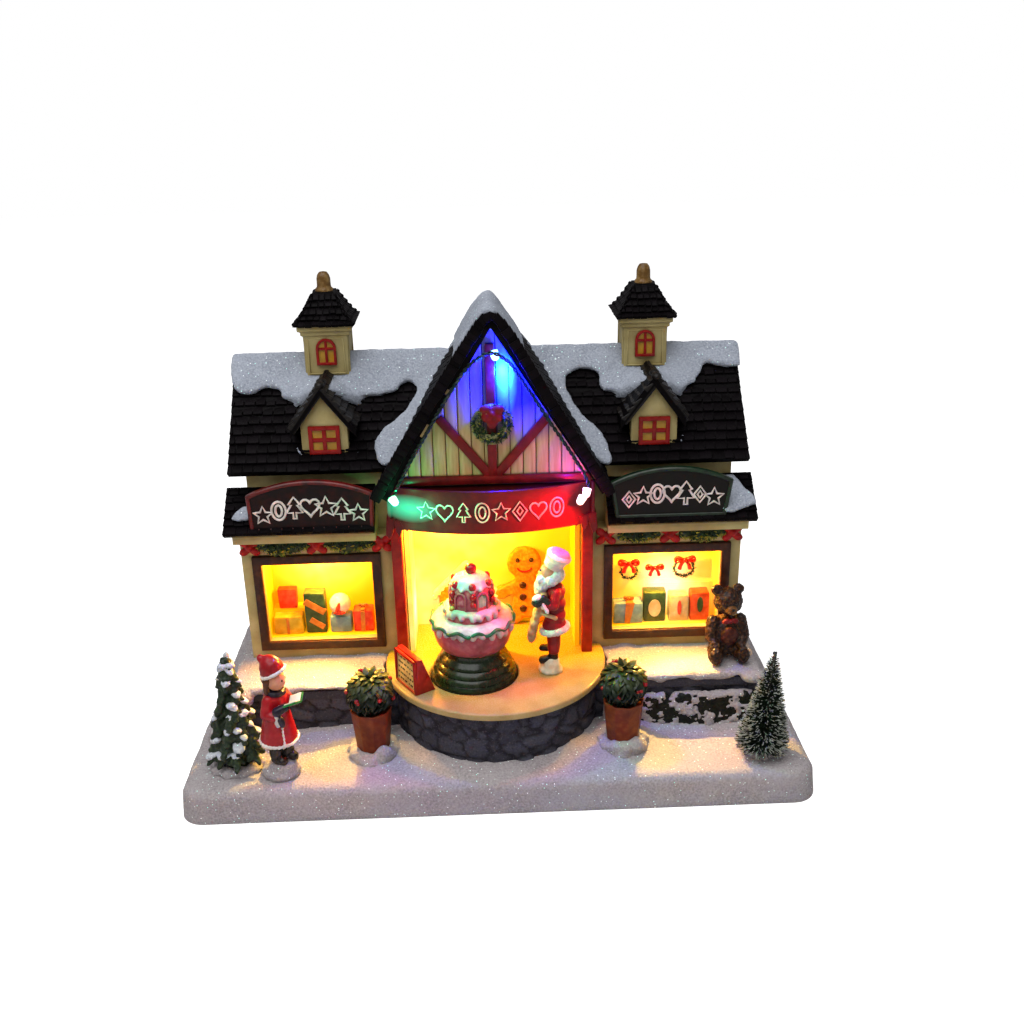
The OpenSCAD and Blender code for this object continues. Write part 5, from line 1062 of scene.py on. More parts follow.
# The frieze and fascia cream is a lighter, warmer copy of the wall cream: painted light from the shop windows
# on them.
lit_trim_cream = paint("cream_trim_lit_paint", "#cdb57a", 0.5, "#b69a5e", 3.0)
leaf_tip_and_light = paint("holly_tips_and_light", "#86902e", 0.34, "#d2bc4c", 1.0, coat=0.35)
for side, name in SIDES:
    board = bmesh.new()
    ends = sorted((side * 43.2, side * 102.9))
    worn_block(board, (ends[0], FRIEZE_FRONT, 85.2), (ends[1], FRIEZE_BACK, 92.3), 0.3)
    worn_block(board, (ends[0], FRIEZE_FRONT - 0.5, 91.3), (ends[1], FRIEZE_BACK, 92.9), 0.3)
    piece("frieze_" + name, [(board, lit_trim_cream)])
    dark, pale, bows = bmesh.new(), bmesh.new(), bmesh.new()
    swags, ties = GARLANDS[name]
    for left, right, height, thick, sag in swags:
        for k in range(9):
            share = k / 8
            bend = math.sin(math.pi * share)
            fat = thick * (0.62 + 0.38 * bend)
            spot = (left + 1.5 + (right - left - 3) * share, SWAG_Y + 0.4, height - sag * bend)
            ball(dark, spot, (2.2, 1.2, fat * 0.8))
        for k in range(150):
            share = random.random()
            bend = math.sin(math.pi * share)
            fat = thick * (0.6 + 0.4 * bend)
            round_by = math.radians(random.uniform(-175, -5))
            skin = Vector((0, math.sin(round_by) * 0.62, math.cos(round_by)))
            spot = Vector((left + (right - left) * share, SWAG_Y + 0.3, height - sag * bend))
            along = skin + Vector((random.uniform(-1.2, 1.2), 0, 0))
            # Leaves on the lower side mostly take the pale paint, a painted highlight from the light below; a
            # few others anywhere are pale tips.
            lit = skin.z < -0.1 and random.random() < 0.62 or random.random() < 0.1
            leaf(pale if lit else dark, spot + skin * fat * 0.85, along, random.uniform(0.9, 1.35))
    for x in ties:
        for sx, up, tilt in ((-1, 1.9, 0.5), (1, 1.9, -0.5), (-1, -2.0, -0.5), (1, -2.0, 0.5)):
            ball(bows, (x + sx * 2.2, SWAG_Y, 89.2 + up), (2.4, 1.0, 1.8), Matrix.Rotation(tilt, 4, "Y"))
        ball(bows, (x, SWAG_Y - 0.6, 89.3), (1.5, 1.1, 1.6))
    piece("garland_" + name + "_holly", [(dark, holly), (pale, leaf_tip_and_light), (remeshed(bows, 0.4, 1), ribbon_red)],
          ["garland_" + name])

# Posts. Two square posts carry the banner. They are part of the casting's front and painted
# red, and the lamps inside light their inner faces.
post_red = paint("post_red", "#8f150e", 0.4, "#a3241a", 3.2, coat=0.15)
for _, name in SIDES:
    bm = bmesh.new()
    worn_block(bm, *span("post_" + name), 0.45)
    piece("post_" + name + "_squared", [(roughened(bm, 0.05, 3), post_red)], ["post_" + name])

# Banner. A curved board, shaped like a cloth that is pinned at both posts and hangs there in
# points, under a darker shelf. Plain ornaments stand on it in thin raised lines. The green
# lamp's shine at its left end is in its paint.
BANNER_LOW = 100
BANNER_HIGH = 118
BANNER_HALF = 41
BANNER_END = -23
BANNER_BOW = 10
BANNER_STEPS = 56
MOTIF_LINE = 0.36
DIAMOND = ((0, 1), (1, 0), (0, -1), (-1, 0))
SIDE_FOLD = ((-24.0, 104.5), (-23.4, 97.8), (-21.2, 95.8), (-19.4, 99.2), (-17.8, 96.8), (-15.6, 99.8),
             (-14.2, 104.5))
banner_red = paint("banner_red", "#5a080e", 0.36, "#6a0c12", 4.0, coat=0.1)
tree = banner_red.node_tree
place = place_mm(tree)
flat = add(tree, "VectorMath", {0: place, 1: Vector((0.5, 0.0, 1.0))}, operation="MULTIPLY")
away = add(tree, "VectorMath", {0: flat, 1: Vector((-16.0, 0, 109.4))}, operation="DISTANCE").outputs["Value"]
shine = next(node for node in tree.nodes if node.type == "BSDF_PRINCIPLED")
shine.inputs["Emission Color"].default_value = linear("#24ffb8")
tree.links.new(stretched(tree, away, 0.6, 6.0, 1.15, 0.0).outputs[0], shine.inputs["Emission Strength"])
banner_dark = paint("banner_top_red", "#3a0709", 0.38, "#4c0c0c", 3.0, coat=0.1)


def banner_spot(x, z, out=0.0):
    """A place on the banner's front, which bows forward and is hollow between its edges."""
    bulge = BANNER_BOW * (1 - (x / BANNER_HALF) ** 2)
    hollow = 0.8 * math.sin(math.pi * min(1, max(0, (z - BANNER_LOW) / (BANNER_HIGH - BANNER_LOW))))
    return Vector((x, BANNER_END - bulge + hollow - out, z))


def motif(kind, size):
    """Closed outlines of a plain ornament, as lists of points about its middle."""
    if kind == "star":
        spread = [(size * (1 if k % 2 == 0 else 0.45), math.pi / 2 + math.pi * k / 5) for k in range(10)]
        return [[(r * math.cos(a), r * math.sin(a)) for r, a in spread]]
    if kind == "ring":
        return [oval(0, 0, size * 0.72, size, 20), oval(0, 0, size * 0.34, size * 0.6, 16)]
    if kind == "heart":
        outline = []
        for a in circle(24):
            high = 13 * math.cos(a) - 5 * math.cos(2 * a) - 2 * math.cos(3 * a) - math.cos(4 * a)
            outline.append((size * 0.055 * 16 * math.sin(a) ** 3, size * 0.06 * high))
        return [outline]
    if kind == "tree":
        right = ((0, 1), (0.5, 0.3), (0.25, 0.3), (0.7, -0.45), (0.14, -0.45), (0.14, -1))
        left = [(-x, z) for x, z in reversed(right[1:])]
        return [[(size * x, size * z) for x, z in (*right, *left)]]
    return [[(size * wide * x, size * high * z) for x, z in DIAMOND] for wide, high in ((0.75, 1), (0.3, 0.45))]


rings = []
for k in range(BANNER_STEPS + 1):
    x = -BANNER_HALF + 2 * BANNER_HALF * k / BANNER_STEPS
    front = [banner_spot(x, z) for z in (100.2, 102, 105, 108, 111, 114, 116.6, 117.7)]
    thick = 1.6 if abs(x) < BANNER_HALF - 0.1 else 1.2
    ring = front + [banner_spot(x, 118.0) + Vector((0, 0.5, 0)), banner_spot(x, 117.8) + Vector((0, 1.2, 0))]
    ring += [banner_spot(x, z) + Vector((0, thick, 0)) for z in (116.2, 108, 101)]
    rings.append(ring + [banner_spot(x, 100.0) + Vector((0, 0.8, 0))])
bm = bmesh.new()
lofted(bm, rings)
close_ends(bm)
shelf = bmesh.new()
outline = [(x, banner_spot(x, 116).y + 1.0) for x in range(-41, 42, 2)] + [(41, -20.6), (-41, -20.6)]
plate(shelf, outline, 115.4, 116.4)
for side in (-1, 1):
    ends = sorted((side * 39.6, side * 41.0))
    worn_block(bm, (ends[0], -24.2, 100.4), (ends[1], -13.5, 117.6), 0.4)
    for points, y in (([(41.6, 104.5), (42.2, 97.6), (40.6, 95.4), (39.2, 98.6), (37.9, 104.5)], -24.6),
                      ([(38.9, 104), (37.9, 98.9), (36.5, 96.6), (35.4, 100.2), (34.6, 104)], -25.1),
                      ([(36.2, 103.5), (34.8, 100.2), (33.4, 99.2), (32.6, 101.4), (32.4, 103.5)], -25.6)):
        worn_plate(bm, [(side * u, z) for u, z in points], y, y + 1.3, "Y", 0.3)
    worn_plate(bm, SIDE_FOLD, *sorted((side * 40.8, side * 41.7)), "X", 0.3)
marks = bmesh.new()
for k, kind in enumerate(("star", "heart", "tree", "ring", "star", "diamond", "heart", "ring")):
    middle = -25.5 + k * 7.3
    for loop in motif(kind, 4.0):
        line = [banner_spot(middle + u * 0.95, 109.0 + v, 0.1) for u, v in loop]
        tube(marks, line, MOTIF_LINE, 6, closed=True)
sign_pink = paint("banner_lines", "#dd9c98", 0.4, "#efc2ba", 1.4)
piece("banner_cloth", [(bm, banner_red), (shelf, banner_dark), (marks, sign_pink)], ["banner"])

# Sign boards. Two arched boards stand on the porch roofs. Each has a narrow painted border
# round a dark field, with plain raised ornaments in white.
SIGN_FACE = -20.5
SIGN_BACK = -18.0
BORDER = 1.5
FIELD_DEPTH = 0.6
SIGN_LINE = 0.52
SIGNS = {
    "left": ((-71.8, 24.6, 25.2, 98.6, 114.0, 119.8), "#2c0806", "#6b1210", "#100403", 6.3, 0.009,
             (("star", 3.9), ("ring", 3.9), ("tree", 4.6), ("heart", 4.3), ("star", 4.5), ("tree", 4.6),
              ("star", 3.9))),
    "right": ((72.2, 22.4, 24.6, 99.8, 115.0, 121.0), "#0b120d", "#12301a", "#0b0806", 5.7, 0.008,
              (("diamond", 3.4), ("star", 4.0), ("ring", 3.9), ("heart", 4.0), ("tree", 4.9), ("diamond", 3.4),
               ("star", 4.0)))}


def arch_outline(middle, half_low, half_top, low, shoulder, top, inset):
    """A board with an arched top and sides that lean, drawn in by an inset."""
    rise = top - shoulder
    radius = (half_top ** 2 + rise ** 2) / 2 / rise
    reach = math.asin((half_top - inset) / (radius - inset))
    points = [(middle - half_low + inset, low + inset), (middle + half_low - inset, low + inset)]
    points += [(middle + (radius - inset) * math.sin(a), top - radius + (radius - inset) * math.cos(a))
               for a in (reach * (1 - k / 14) for k in range(29))]
    return points


for name, (shape, worn, border, field, apart, droop, kinds) in SIGNS.items():
    middle, low, top = shape[0], shape[3], shape[5]
    inner_face = SIGN_FACE + FIELD_DEPTH
    bm, panel, marks = bmesh.new(), bmesh.new(), bmesh.new()
    steps = ((0, SIGN_BACK), (0, SIGN_FACE + 0.4), (0.4, SIGN_FACE), (BORDER - 0.2, SIGN_FACE),
             (BORDER, SIGN_FACE + 0.2), (BORDER, inner_face))
    last = lofted(bm, [[Vector((x, y, z)) for x, z in arch_outline(*shape, inset)] for inset, y in steps])
    back_edges = [edge for edge in bm.edges if edge.is_boundary and edge not in set(last)]
    bmesh.ops.holes_fill(bm, edges=back_edges, sides=0)
    bmesh.ops.recalc_face_normals(bm, faces=bm.faces)
    plate(panel, arch_outline(*shape, BORDER - 0.1), inner_face - 0.1, inner_face + 0.8, "Y")
    for k, (kind, size) in enumerate(kinds):
        x = apart * k - apart * 3
        z = (low + top) / 2 + 0.6 + (-0.8 - droop * x ** 2)
        for loop in motif(kind, size):
            line = [Vector((middle + x + u, inner_face - 0.05, z + v)) for u, v in loop]
            tube(marks, line, SIGN_LINE, 6, closed=True)
    piece("sign_board_" + name, [
        (bm, paint("sign_border_" + name, border, 0.35, worn, 3.0, coat=0.35)),
        (panel, paint("sign_field_" + name, field, 0.45, worn, 3.0, coat=0.03)),
        (marks, paint("sign_white_" + name, "#d9cfca", 0.42, "#f0e8e4", 1.2))], ["sign_" + name])

# Shingles. Every roof is cast with rows of small square shingles, each a little askew, painted
# black and varnished. Here each shingle is a chamfered tile laid over the casting's courses.
TILE_WIDE = 4.5
TILE_GAP = 0.28
TILE_THICK = 0.55
ROOF_HALF = 104.8
EAVE = Vector((0, -12.3, 121.1))
RIDGE = Vector((0, 23.7, 158.5))
shingle, tree, place = material("black_shingle_paint")
shade = add(tree, "Attribute", attribute_name="shade").outputs["Fac"]
grain = add(tree, "TexNoise", {"Vector": place, "Scale": 1.2, "Detail": 4.0})
tone = mixed(tree, shade, "#060405", "#100c0f")
tone = mixed(tree, stretched(tree, grain, 0.62, 0.8, 0.0, 0.3), tone, "#2a2628")
surface_of(tree, tone, stretched(tree, grain, 0.3, 0.7, 0.4, 0.55), grain, 0.15, {"specular_ior_level": 0.05})


def tile_row(base, across, up, s0, s1, left, right, wide=TILE_WIDE, thick=TILE_THICK, tilt=0.7, deep=0.9):
    """One row of shingles between two distances up a slope. Each is thicker at its lower edge."""
    row = bmesh.new()
    tint = row.verts.layers.float.new("shade")
    out = across.cross(up).normalized()
    x = left - random.uniform(0.1, 0.9) * wide
    while x < right:
        size = wide * random.uniform(0.86, 1.14)
        a, b = max(x, left), min(x + size - TILE_GAP, right)
        x += size
        if b - a < wide * 0.18:
            continue
        low = s0 + random.uniform(-0.3, 0.2)
        verts = block(row, (a, low, -deep), (b, s1, 0))
        lift, own, lean = thick * random.uniform(0.75, 1.25), random.random(), random.uniform(-0.09, 0.09)
        for vert in verts:
            vert[tint] = own
            if vert.co.z > -0.1:
                high = vert.co.y > (low + s1) / 2
                vert.co.z = (0.1 - tilt if high else lift) + (lean if vert.co.x > (a + b) / 2 else -lean)
    tops = [edge for edge in row.edges if all(vert.co.z > 0.1 - deep for vert in edge.verts)]
    bmesh.ops.bevel(row, geom=tops, offset=min(0.22, thick * 0.45), segments=1, profile=0.5, affect="EDGES",
                    clamp_overlap=True, material=-1)
    for vert in row.verts:
        vert.co = base + across * vert.co.x + up * vert.co.y + out * vert.co.z
    return row


def tiled(base, across, up, length, rows, left, right, **sizes):
    """Rows of shingles up a slope; left and right are places, or functions of the way up."""
    parts = []
    for k in range(rows):
        s0, s1 = length * k / rows, length * (k + 1) / rows + 0.35
        ends = [end(s0 + length / rows / 2) if callable(end) else end for end in (left, right)]
        parts.append(tile_row(Vector(base), Vector(across), Vector(up).normalized(), s0, s1, *ends, **sizes))
    return joined(*parts)


slope = RIDGE - EAVE
front_rows = tiled(EAVE, (1, 0, 0), slope, slope.length, 12, -ROOF_HALF, ROOF_HALF)
back_eave = Vector((0, 2 * RIDGE.y - EAVE.y, EAVE.z))
back_rows = tiled(back_eave, (-1, 0, 0), RIDGE - back_eave, slope.length, 12, -ROOF_HALF, ROOF_HALF)
piece("main_roof_shingles", [(joined(front_rows, back_rows), shingle)])
dress(shingle, "main_roof", "porch_roof_left", "porch_roof_right", "dormer_roof_left", "dormer_roof_right")

# Porch roofs. Six rows of the same shingles, with a worn, wavy lower edge over a cream fascia.
PORCH_LOW = Vector((0, -21.9, 99))
PORCH_HIGH = Vector((0, -5.4, 112.8))
porch_slope = PORCH_HIGH - PORCH_LOW
for side, name in SIDES:
    ends = sorted((side * 47, side * 107.3))
    rows = tiled(PORCH_LOW, (1, 0, 0), porch_slope, porch_slope.length, 6, *ends, thick=0.6)
    lip, fascia = bmesh.new(), bmesh.new()
    x = ends[0]
    while x < ends[1]:
        wide = random.uniform(1.4, 3.2)
        low = (x, -22.3 + random.uniform(0, 0.3), 98.7 - random.uniform(0, 0.9))
        worn_block(lip, low, (min(x + wide, ends[1]), -20.6, 99.2), 0.25)
        x += wide - 0.1
    piece("porch_shingles_" + name, [(joined(rows, lip), shingle)])
    ends = sorted((side * 47.3, side * 104.4))
    worn_block(fascia, (ends[0], -20.4, 96.9), (ends[1], -18.6, 98.6), 0.35)
    piece("porch_fascia_" + name, [(fascia, lit_trim_cream)])

# Gable. A steep roof with thick black barge tiles along its front edge, rounded at the peak, a
# pale soffit inside them, cream planks with painted shade darkening their grooves, and red timbers on the
# planks.
# Part of the blue lamp's light on the planks is in their paint.
GABLE_X = 1.5
GABLE_FOOT = 116
GABLE_HALF = 44
GABLE_PEAK = 186
GABLE_FRONT = -31
BARGE_HALF = 1.95
BARGE_DEEP = 2.6
BARGE_STEP = 2.6
TILE_LIFT = 1.5
BARGE_OUTER = ((-46.6, 116.4), (-34.5, 136.5), (-22.9, 154.7), (-11.4, 172.4), (-6.2, 180.0), (-3.6, 183.7),
               (-1.2, 185.9), (1.5, 186.7), (4.2, 185.9), (6.6, 183.6), (10.2, 178.7), (15.2, 170.2),
               (24.8, 153.5), (36.4, 134.8), (48.0, 116.2))
PLANK_FACE = -23
PLANK_FOOT = 117.6
PLANK_WIDE = 5
PLANK_GAP = 0.24
PLANKS_HALF = 38.5
INNER_PEAK = 183.4
INNER_HALF = 41.7
INNER_RISE = (INNER_PEAK - GABLE_FOOT) / INNER_HALF
gable_peak = Vector((GABLE_X, 0, GABLE_PEAK))
gable_ways = {side: Vector((-side * GABLE_HALF, 0, GABLE_PEAK - GABLE_FOOT)).normalized() for side in (-1, 1)}
gable_outs = {side: Vector((way.z * side, 0, abs(way.x))) for side, way in gable_ways.items()}
gable_len = math.hypot(GABLE_HALF, GABLE_PEAK - GABLE_FOOT)


def flattened(bm, level, share):
    """Presses a peak down above a level, so that it is round."""
    for vert in bm.verts:
        if vert.co.z > level:
            vert.co.z = level + (vert.co.z - level) * share
    return bm


def gable_back(way_up):
    """How far back the gable's roof runs at a distance up its slope."""
    return 10 + 16 * (1 - way_up / gable_len)


parts = []
for side, way in gable_ways.items():
    base = gable_peak - way * gable_len + gable_outs[side] * TILE_LIFT
    ends = (GABLE_FRONT, gable_back) if side > 0 else (lambda way_up: -gable_back(way_up), -GABLE_FRONT)
    parts.append(tiled(base, (0, side, 0), way, gable_len, 26, *ends, deep=4.2))
shell = flattened(joined(*parts), 184.0, 0.25)
outer = [Vector((x, GABLE_FRONT, z)) for x, z in BARGE_OUTER]
spots = [outer[0]]
for here, there in zip(outer, outer[1:]):
    steps = max(1, round((there - here).length / BARGE_STEP))
    spots += [here.lerp(there, (k + 1) / steps) for k in range(steps)]
inward = []
for k in range(len(spots)):
    along = (spots[min(k + 1, len(spots) - 1)] - spots[max(k - 1, 0)]).normalized()
    inward.append(Vector((along.z, 0, -along.x)))
barge = []
for k in range(len(spots) - 1):
    own, proud, wide = random.random(), random.uniform(0.0, 0.5), 2 * BARGE_HALF + random.uniform(-0.2, 0.3)
    wide *= 0.68 + 0.32 * min(1.0, abs(spots[k].x - GABLE_X) / 9)
    steep = 0.5 if spots[k + 1].z > spots[k].z else -0.5
    rings = []
    for j, (lift, slip) in enumerate(((0.3 - steep * 0.5, -0.12), (0.3 + steep * 0.5, 0.12))):
        spot, way = spots[k + j] + (spots[k + 1] - spots[k]) * slip, inward[k + j]
        face = GABLE_FRONT - 1.2 - lift * 0.5 - proud
        front, rear = Vector((spot.x, face, spot.z)), Vector((spot.x, face + BARGE_DEEP, spot.z))
        rings.append([front - way * lift, front + way * wide, rear + way * wide, rear - way * lift])
    tile = bmesh.new()
    lofted(tile, rings)
    close_ends(tile)
    softened(tile, tile.verts[:], 0.32)
    shade_of = tile.verts.layers.float.new("shade")
    for vert in tile.verts:
        vert[shade_of] = own
    barge.append(tile)
piece("gable_shingles", [(joined(shell, *barge), shingle)], ["gable_roof"])


def inner_slope(x, less=0.0):
    """Height of the gable's inner slope over a place, drawn in by a distance."""
    return INNER_PEAK - (abs(x - GABLE_X) + less) * INNER_RISE


def streak_light(tree, place):
    """How near a place is to the bright streak below the blue lamp, from 0 to 1."""
    flat = add(tree, "VectorMath", {0: place, 1: Vector((1.0, 0.0, 0.32))}, operation="MULTIPLY")
    away = add(tree, "VectorMath", {0: flat, 1: Vector((6.6, 0, 0.32 * 158))}, operation="DISTANCE")
    return stretched(tree, away.outputs["Value"], 1.2, 4.6, 1.0, 0.0)


plank, tree, place = material("cream_plank_paint")
streak = add(tree, "VectorMath", {0: place, 1: Vector((1.3, 1.0, 0.12))}, operation="MULTIPLY")
streak = add(tree, "TexNoise", {"Vector": streak, "Scale": 0.8, "Detail": 4.0})
tone = mixed(tree, stretched(tree, streak, 0.35, 0.7), "#b39a64", "#c9b680")
# Painted shade: an occlusion test darkens the grooves between the planks toward brown.
groove_shade = add(tree, "AmbientOcclusion", {"Distance": 0.9 * MM}, samples=6)
tone = mixed(tree, stretched(tree, groove_shade.outputs["AO"], 0.9, 0.45, 0.0, 0.9), tone, "#6a4a22")
near_blue = add(tree, "VectorMath", {0: place, 1: Vector((10, PLANK_FACE, 159))}, operation="DISTANCE")
tone = mixed(tree, stretched(tree, near_blue.outputs["Value"], 10, 27, 0.92, 0.0), tone, "#1022c8")
tone = mixed(tree, stretched(tree, streak_light(tree, place), 0.0, 1.0, 0.0, 0.85), tone, "#7ff0ff")
surface_of(tree, tone, 0.5, streak, 0.1, {})
bm = bmesh.new()
x = GABLE_X - PLANKS_HALF
while x < GABLE_X + PLANKS_HALF:
    ends = (x + PLANK_GAP / 2, x + PLANK_WIDE - PLANK_GAP / 2)
    verts = block(bm, (ends[0], PLANK_FACE, PLANK_FOOT), (ends[1], PLANK_FACE + 2.4, INNER_PEAK))
    for vert in verts:
        if vert.co.z > PLANK_FOOT + 1:
            vert.co.z = max(PLANK_FOOT + 1, inner_slope(vert.co.x, -0.8))
    softened(bm, verts, 0.35)
    x += PLANK_WIDE
bmesh.ops.recalc_face_normals(bm, faces=bm.faces)
back, soffit = bmesh.new(), bmesh.new()
plate(back, [(GABLE_X - INNER_HALF, PLANK_FOOT), (GABLE_X + INNER_HALF, PLANK_FOOT), (GABLE_X, INNER_PEAK)],
      PLANK_FACE + 0.8, PLANK_FACE + 2.5, "Y")
for side in (-1, 1):
    foot = GABLE_X + side * INNER_HALF
    slant = [(foot, GABLE_FOOT), (foot + side, GABLE_FOOT), (GABLE_X, INNER_PEAK + 1.7), (GABLE_X, INNER_PEAK)]
    plate(soffit, slant, GABLE_FRONT + 0.8, PLANK_FACE + 0.6, "Y")
piece("gable_planks", [(joined(bm, back, soffit), plank)], ["gable_wall"])

TIMBER = 3.5
TIMBER_FACE = -24.2
TIMBER_BACK = PLANK_FACE + 0.2
timber_red = paint("timber_red", "#6d110e", 0.4, "#831a15", 2.6, coat=0.12)
bm = bmesh.new()
post_x = GABLE_X - 0.6
worn_block(bm, (GABLE_X - 37.9, TIMBER_FACE, 117.8), (GABLE_X + 37.9, TIMBER_BACK, 121.2), 0.35)
worn_block(bm, (post_x - TIMBER / 2, TIMBER_FACE, 121), (post_x + TIMBER / 2, TIMBER_BACK, 173.4), 0.35)
for head in ((-19.4, 145.0), (22.6, 144.4)):
    worn_plate(bm, strip(1.1, 119.6, *head, TIMBER), TIMBER_FACE + 0.1, TIMBER_BACK, "Y", 0.35)
piece("gable_timbers_red", [(roughened(bm, 0.06, 3), timber_red)], ["gable_timbers"])

# Gable wreath. A ring of stiff cast leaves with a pale rim, hung under a large red bow.
WREATH = Vector((1.2, -25.4, 142.6))
bm = bmesh.new()
sprig_ring(bm, WREATH, 5.9, 2.2, 380, 1.35)
pale, rim_ring, tie = bmesh.new(), bmesh.new(), bmesh.new()
sprig_ring(pale, WREATH + Vector((0, -0.5, 0)), 6.0, 2.2, 70, 0.8)
outer_ring = [WREATH + Vector((7.3 * math.cos(a), 0.7, -0.3 + 7.4 * math.sin(a))) for a in circle(40)]
inner_ring = [WREATH + Vector((5.6 * math.cos(a), 0.4, 5.6 * math.sin(a))) for a in circle(40)]
tube(rim_ring, outer_ring, 0.8, closed=True)
tube(rim_ring, inner_ring, 1.3, closed=True)
for sx in (-1, 1):
    ball(tie, WREATH + Vector((sx * 2.3, -1.6, 6.2)), (2.6, 1.2, 1.9), Matrix.Rotation(-sx * 0.2, 4, "Y"))
    ball(tie, WREATH + Vector((sx * 2.0, -1.7, 3.4)), (2.3, 1.1, 2.3), Matrix.Rotation(sx * 0.5, 4, "Y"))
    ball(tie, WREATH + Vector((sx * 0.9, -1.7, 0.8)), (1.3, 0.9, 2.4), Matrix.Rotation(sx * 0.35, 4, "Y"))
ball(tie, WREATH + Vector((0, -2.1, 4.6)), (1.2, 1.2, 1.4))
piece("gable_wreath_leaves", [
    (bm, holly), (pale, leaf_tip_and_light), (rim_ring, paint("wreath_rim", "#7c8052", 0.45, "#a39c68", 1.2)),
    (melted(tie, 0.35, 0.12, 1.6, 2), paint("wreath_bow_red", "#780b12", 0.4, "#8c1518", 1.4, coat=0.05))],
    ["gable_wreath"])

# Lamp wire. Two thin wires, twisted together and dark green, run under the gable's eaves from
# lamp to lamp and are stuck down with clear glue.
WIRE_PLACES = ((-37.6, 116.6), (-35.9, 120.2), (-30.6, 130.2), (-24.6, 140.1), (-18.2, 150.8),
               (-11.5, 161.3), (-5.4, 168.6), (1.5, 171.8), (8.0, 168.2), (13.1, 160.6), (17.8, 153.2),
               (22.3, 145.7), (30.2, 133.4), (36.4, 122.6), (37.8, 117.6))
WIRE_Y = -31.9
WIRE_STRAND = 0.42
WIRE_TURN = 4.6
spine = []
stations = (WIRE_PLACES[0],) + WIRE_PLACES + (WIRE_PLACES[-1],)
for near_places in zip(stations, stations[1:], stations[2:], stations[3:]):
    for k in range(16):
        t = k / 16
        weights = ((2 * t - t * t - 1) * t / 2, ((3 * t - 5) * t * t + 2) / 2,
                   ((4 - 3 * t) * t + 1) * t / 2, (t - 1) * t * t / 2)
        x, z = (sum(share * near[axis] for share, near in zip(weights, near_places)) for axis in (0, 1))
        spine.append(Vector((x, WIRE_Y + 0.3 * noise.noise(Vector((x, z, 2)) / 9), z)))
run, turns = 0.0, []
for before, here in zip([spine[0]] + spine, spine):
    run += (here - before).length
    turns.append(run / WIRE_TURN * math.tau)
bm = bmesh.new()
for phase in (0, math.pi):
    strand = []
    for k, (place, angle) in enumerate(zip(spine, turns)):
        along = (spine[min(k + 1, len(spine) - 1)] - spine[max(k - 1, 0)]).normalized()
        side_way = Vector((along.z, 0, -along.x))
        off = side_way * math.cos(angle + phase) + Vector((0, math.sin(angle + phase), 0))
        strand.append(place + off * WIRE_STRAND * 1.05)
    tube(bm, strand, WIRE_STRAND, 6)
wire_green = paint("wire_green", "#0e1f17", 0.35, "#16382a", 2.0, coat=0.3)
piece("twisted_lamp_wire", [(bm, wire_green)], ["light_string"])

# Snow on the roofs. Sprayed texture paint and glitter again, but thinner and cooler: a blanket
# over the ridge with a torn lower edge, runs down both valleys of the gable, a cap on its peak,
# and odd patches on the porch roofs. Each is melted from a plate with round lumps at its edge.
ROOF_SNOW = 2.5
DRIFT_TOP = 155.4
ROOF_SNOW_VOXEL = 0.85
SLAB_LOW = -1.2
LUMP = 1.1
BACK_EDGE = 31.5
LEFT_EDGE = ((-105.0, 44.8), (-104.3, 40.5), (-101.7, 36.3), (-98.5, 35.2), (-95.4, 36.1), (-92.7, 38.1),
             (-90, 38.8), (-86.8, 38.1), (-85.4, 37.3), (-82.6, 35.2), (-83.9, 33.7), (-80.6, 32.5),
             (-77.9, 33), (-75.6, 30.8), (-66, 31.0), (-56.9, 30.7), (-54.9, 30.5), (-54.2, 32.7),
             (-52.4, 34.2), (-50.6, 33.6), (-45.1, 33.2), (-40.5, 34.3), (-37.8, 35.1), (-36, 37.8),
             (-33.2, 39.3), (-30.5, 39), (-29.5, 37.3), (-27.2, 37.5))
LEFT_RUN = ((-27.6, 37.0), (-29.1, 31.9), (-33.2, 24.8), (-36, 21.9), (-42.3, 17), (-44.9, 13.1),
            (-45.4, 9.2), (-44.4, 3.7), (-42.6, 1.6), (-39, 2.0), (-35.2, 5.4), (-31.6, 10.6), (-25.6, 20),
            (-14, 40))
RIGHT_RUN = ((18, 40), (27.1, 25), (33.8, 13.4), (40.1, 3.6), (45.4, -0.4), (47.5, -0.7), (48.4, 1),
             (47.2, 6.8), (45, 12.7), (41.7, 16.7), (37.5, 20.8), (34.4, 26.9), (32.2, 32))
RIGHT_EDGE = ((31.7, 38.1), (32.6, 40.1), (35.2, 42), (38.9, 43.5), (43.4, 42.8), (46, 41.2), (47.1, 37.6),
              (46.9, 35), (48.1, 32.5), (50.8, 32.4), (54.3, 30.7), (56.3, 28.7), (65, 30), (72.8, 32.7),
              (76.8, 31.7), (79.5, 32.5), (82.8, 33.9), (85.4, 35.3), (85.9, 37.3), (87.9, 39.3),
              (89.2, 42.9), (91.6, 44.6), (96, 43), (100.4, 42.2), (105.0, 42.3))


def slab(bm, outline, base, across, up, low, high, edge_by=0.0):
    """A plate on a slope: its outline runs across and up it. Lumps of a radius can round its edge."""
    base, across, up = Vector(base), Vector(across), Vector(up).normalized()
    out = across.cross(up).normalized()
    verts = plate(bm, outline, low, high)
    if edge_by:
        for (x0, s0), (x1, s1) in zip(outline, tuple(outline[1:]) + tuple(outline[:1])):
            steps = max(1, round(math.hypot(x1 - x0, s1 - s0) / edge_by))
            for k in range(steps):
                size = edge_by * random.uniform(0.75, 1.15)
                spot = (x0 + (x1 - x0) * k / steps, s0 + (s1 - s0) * k / steps, high - size)
                verts += ball(bm, spot, size, fine=1)
    for vert in verts:
        vert.co = base + across * vert.co.x + up * vert.co.y + out * vert.co.z
    bmesh.ops.recalc_face_normals(bm, faces=bm.faces)


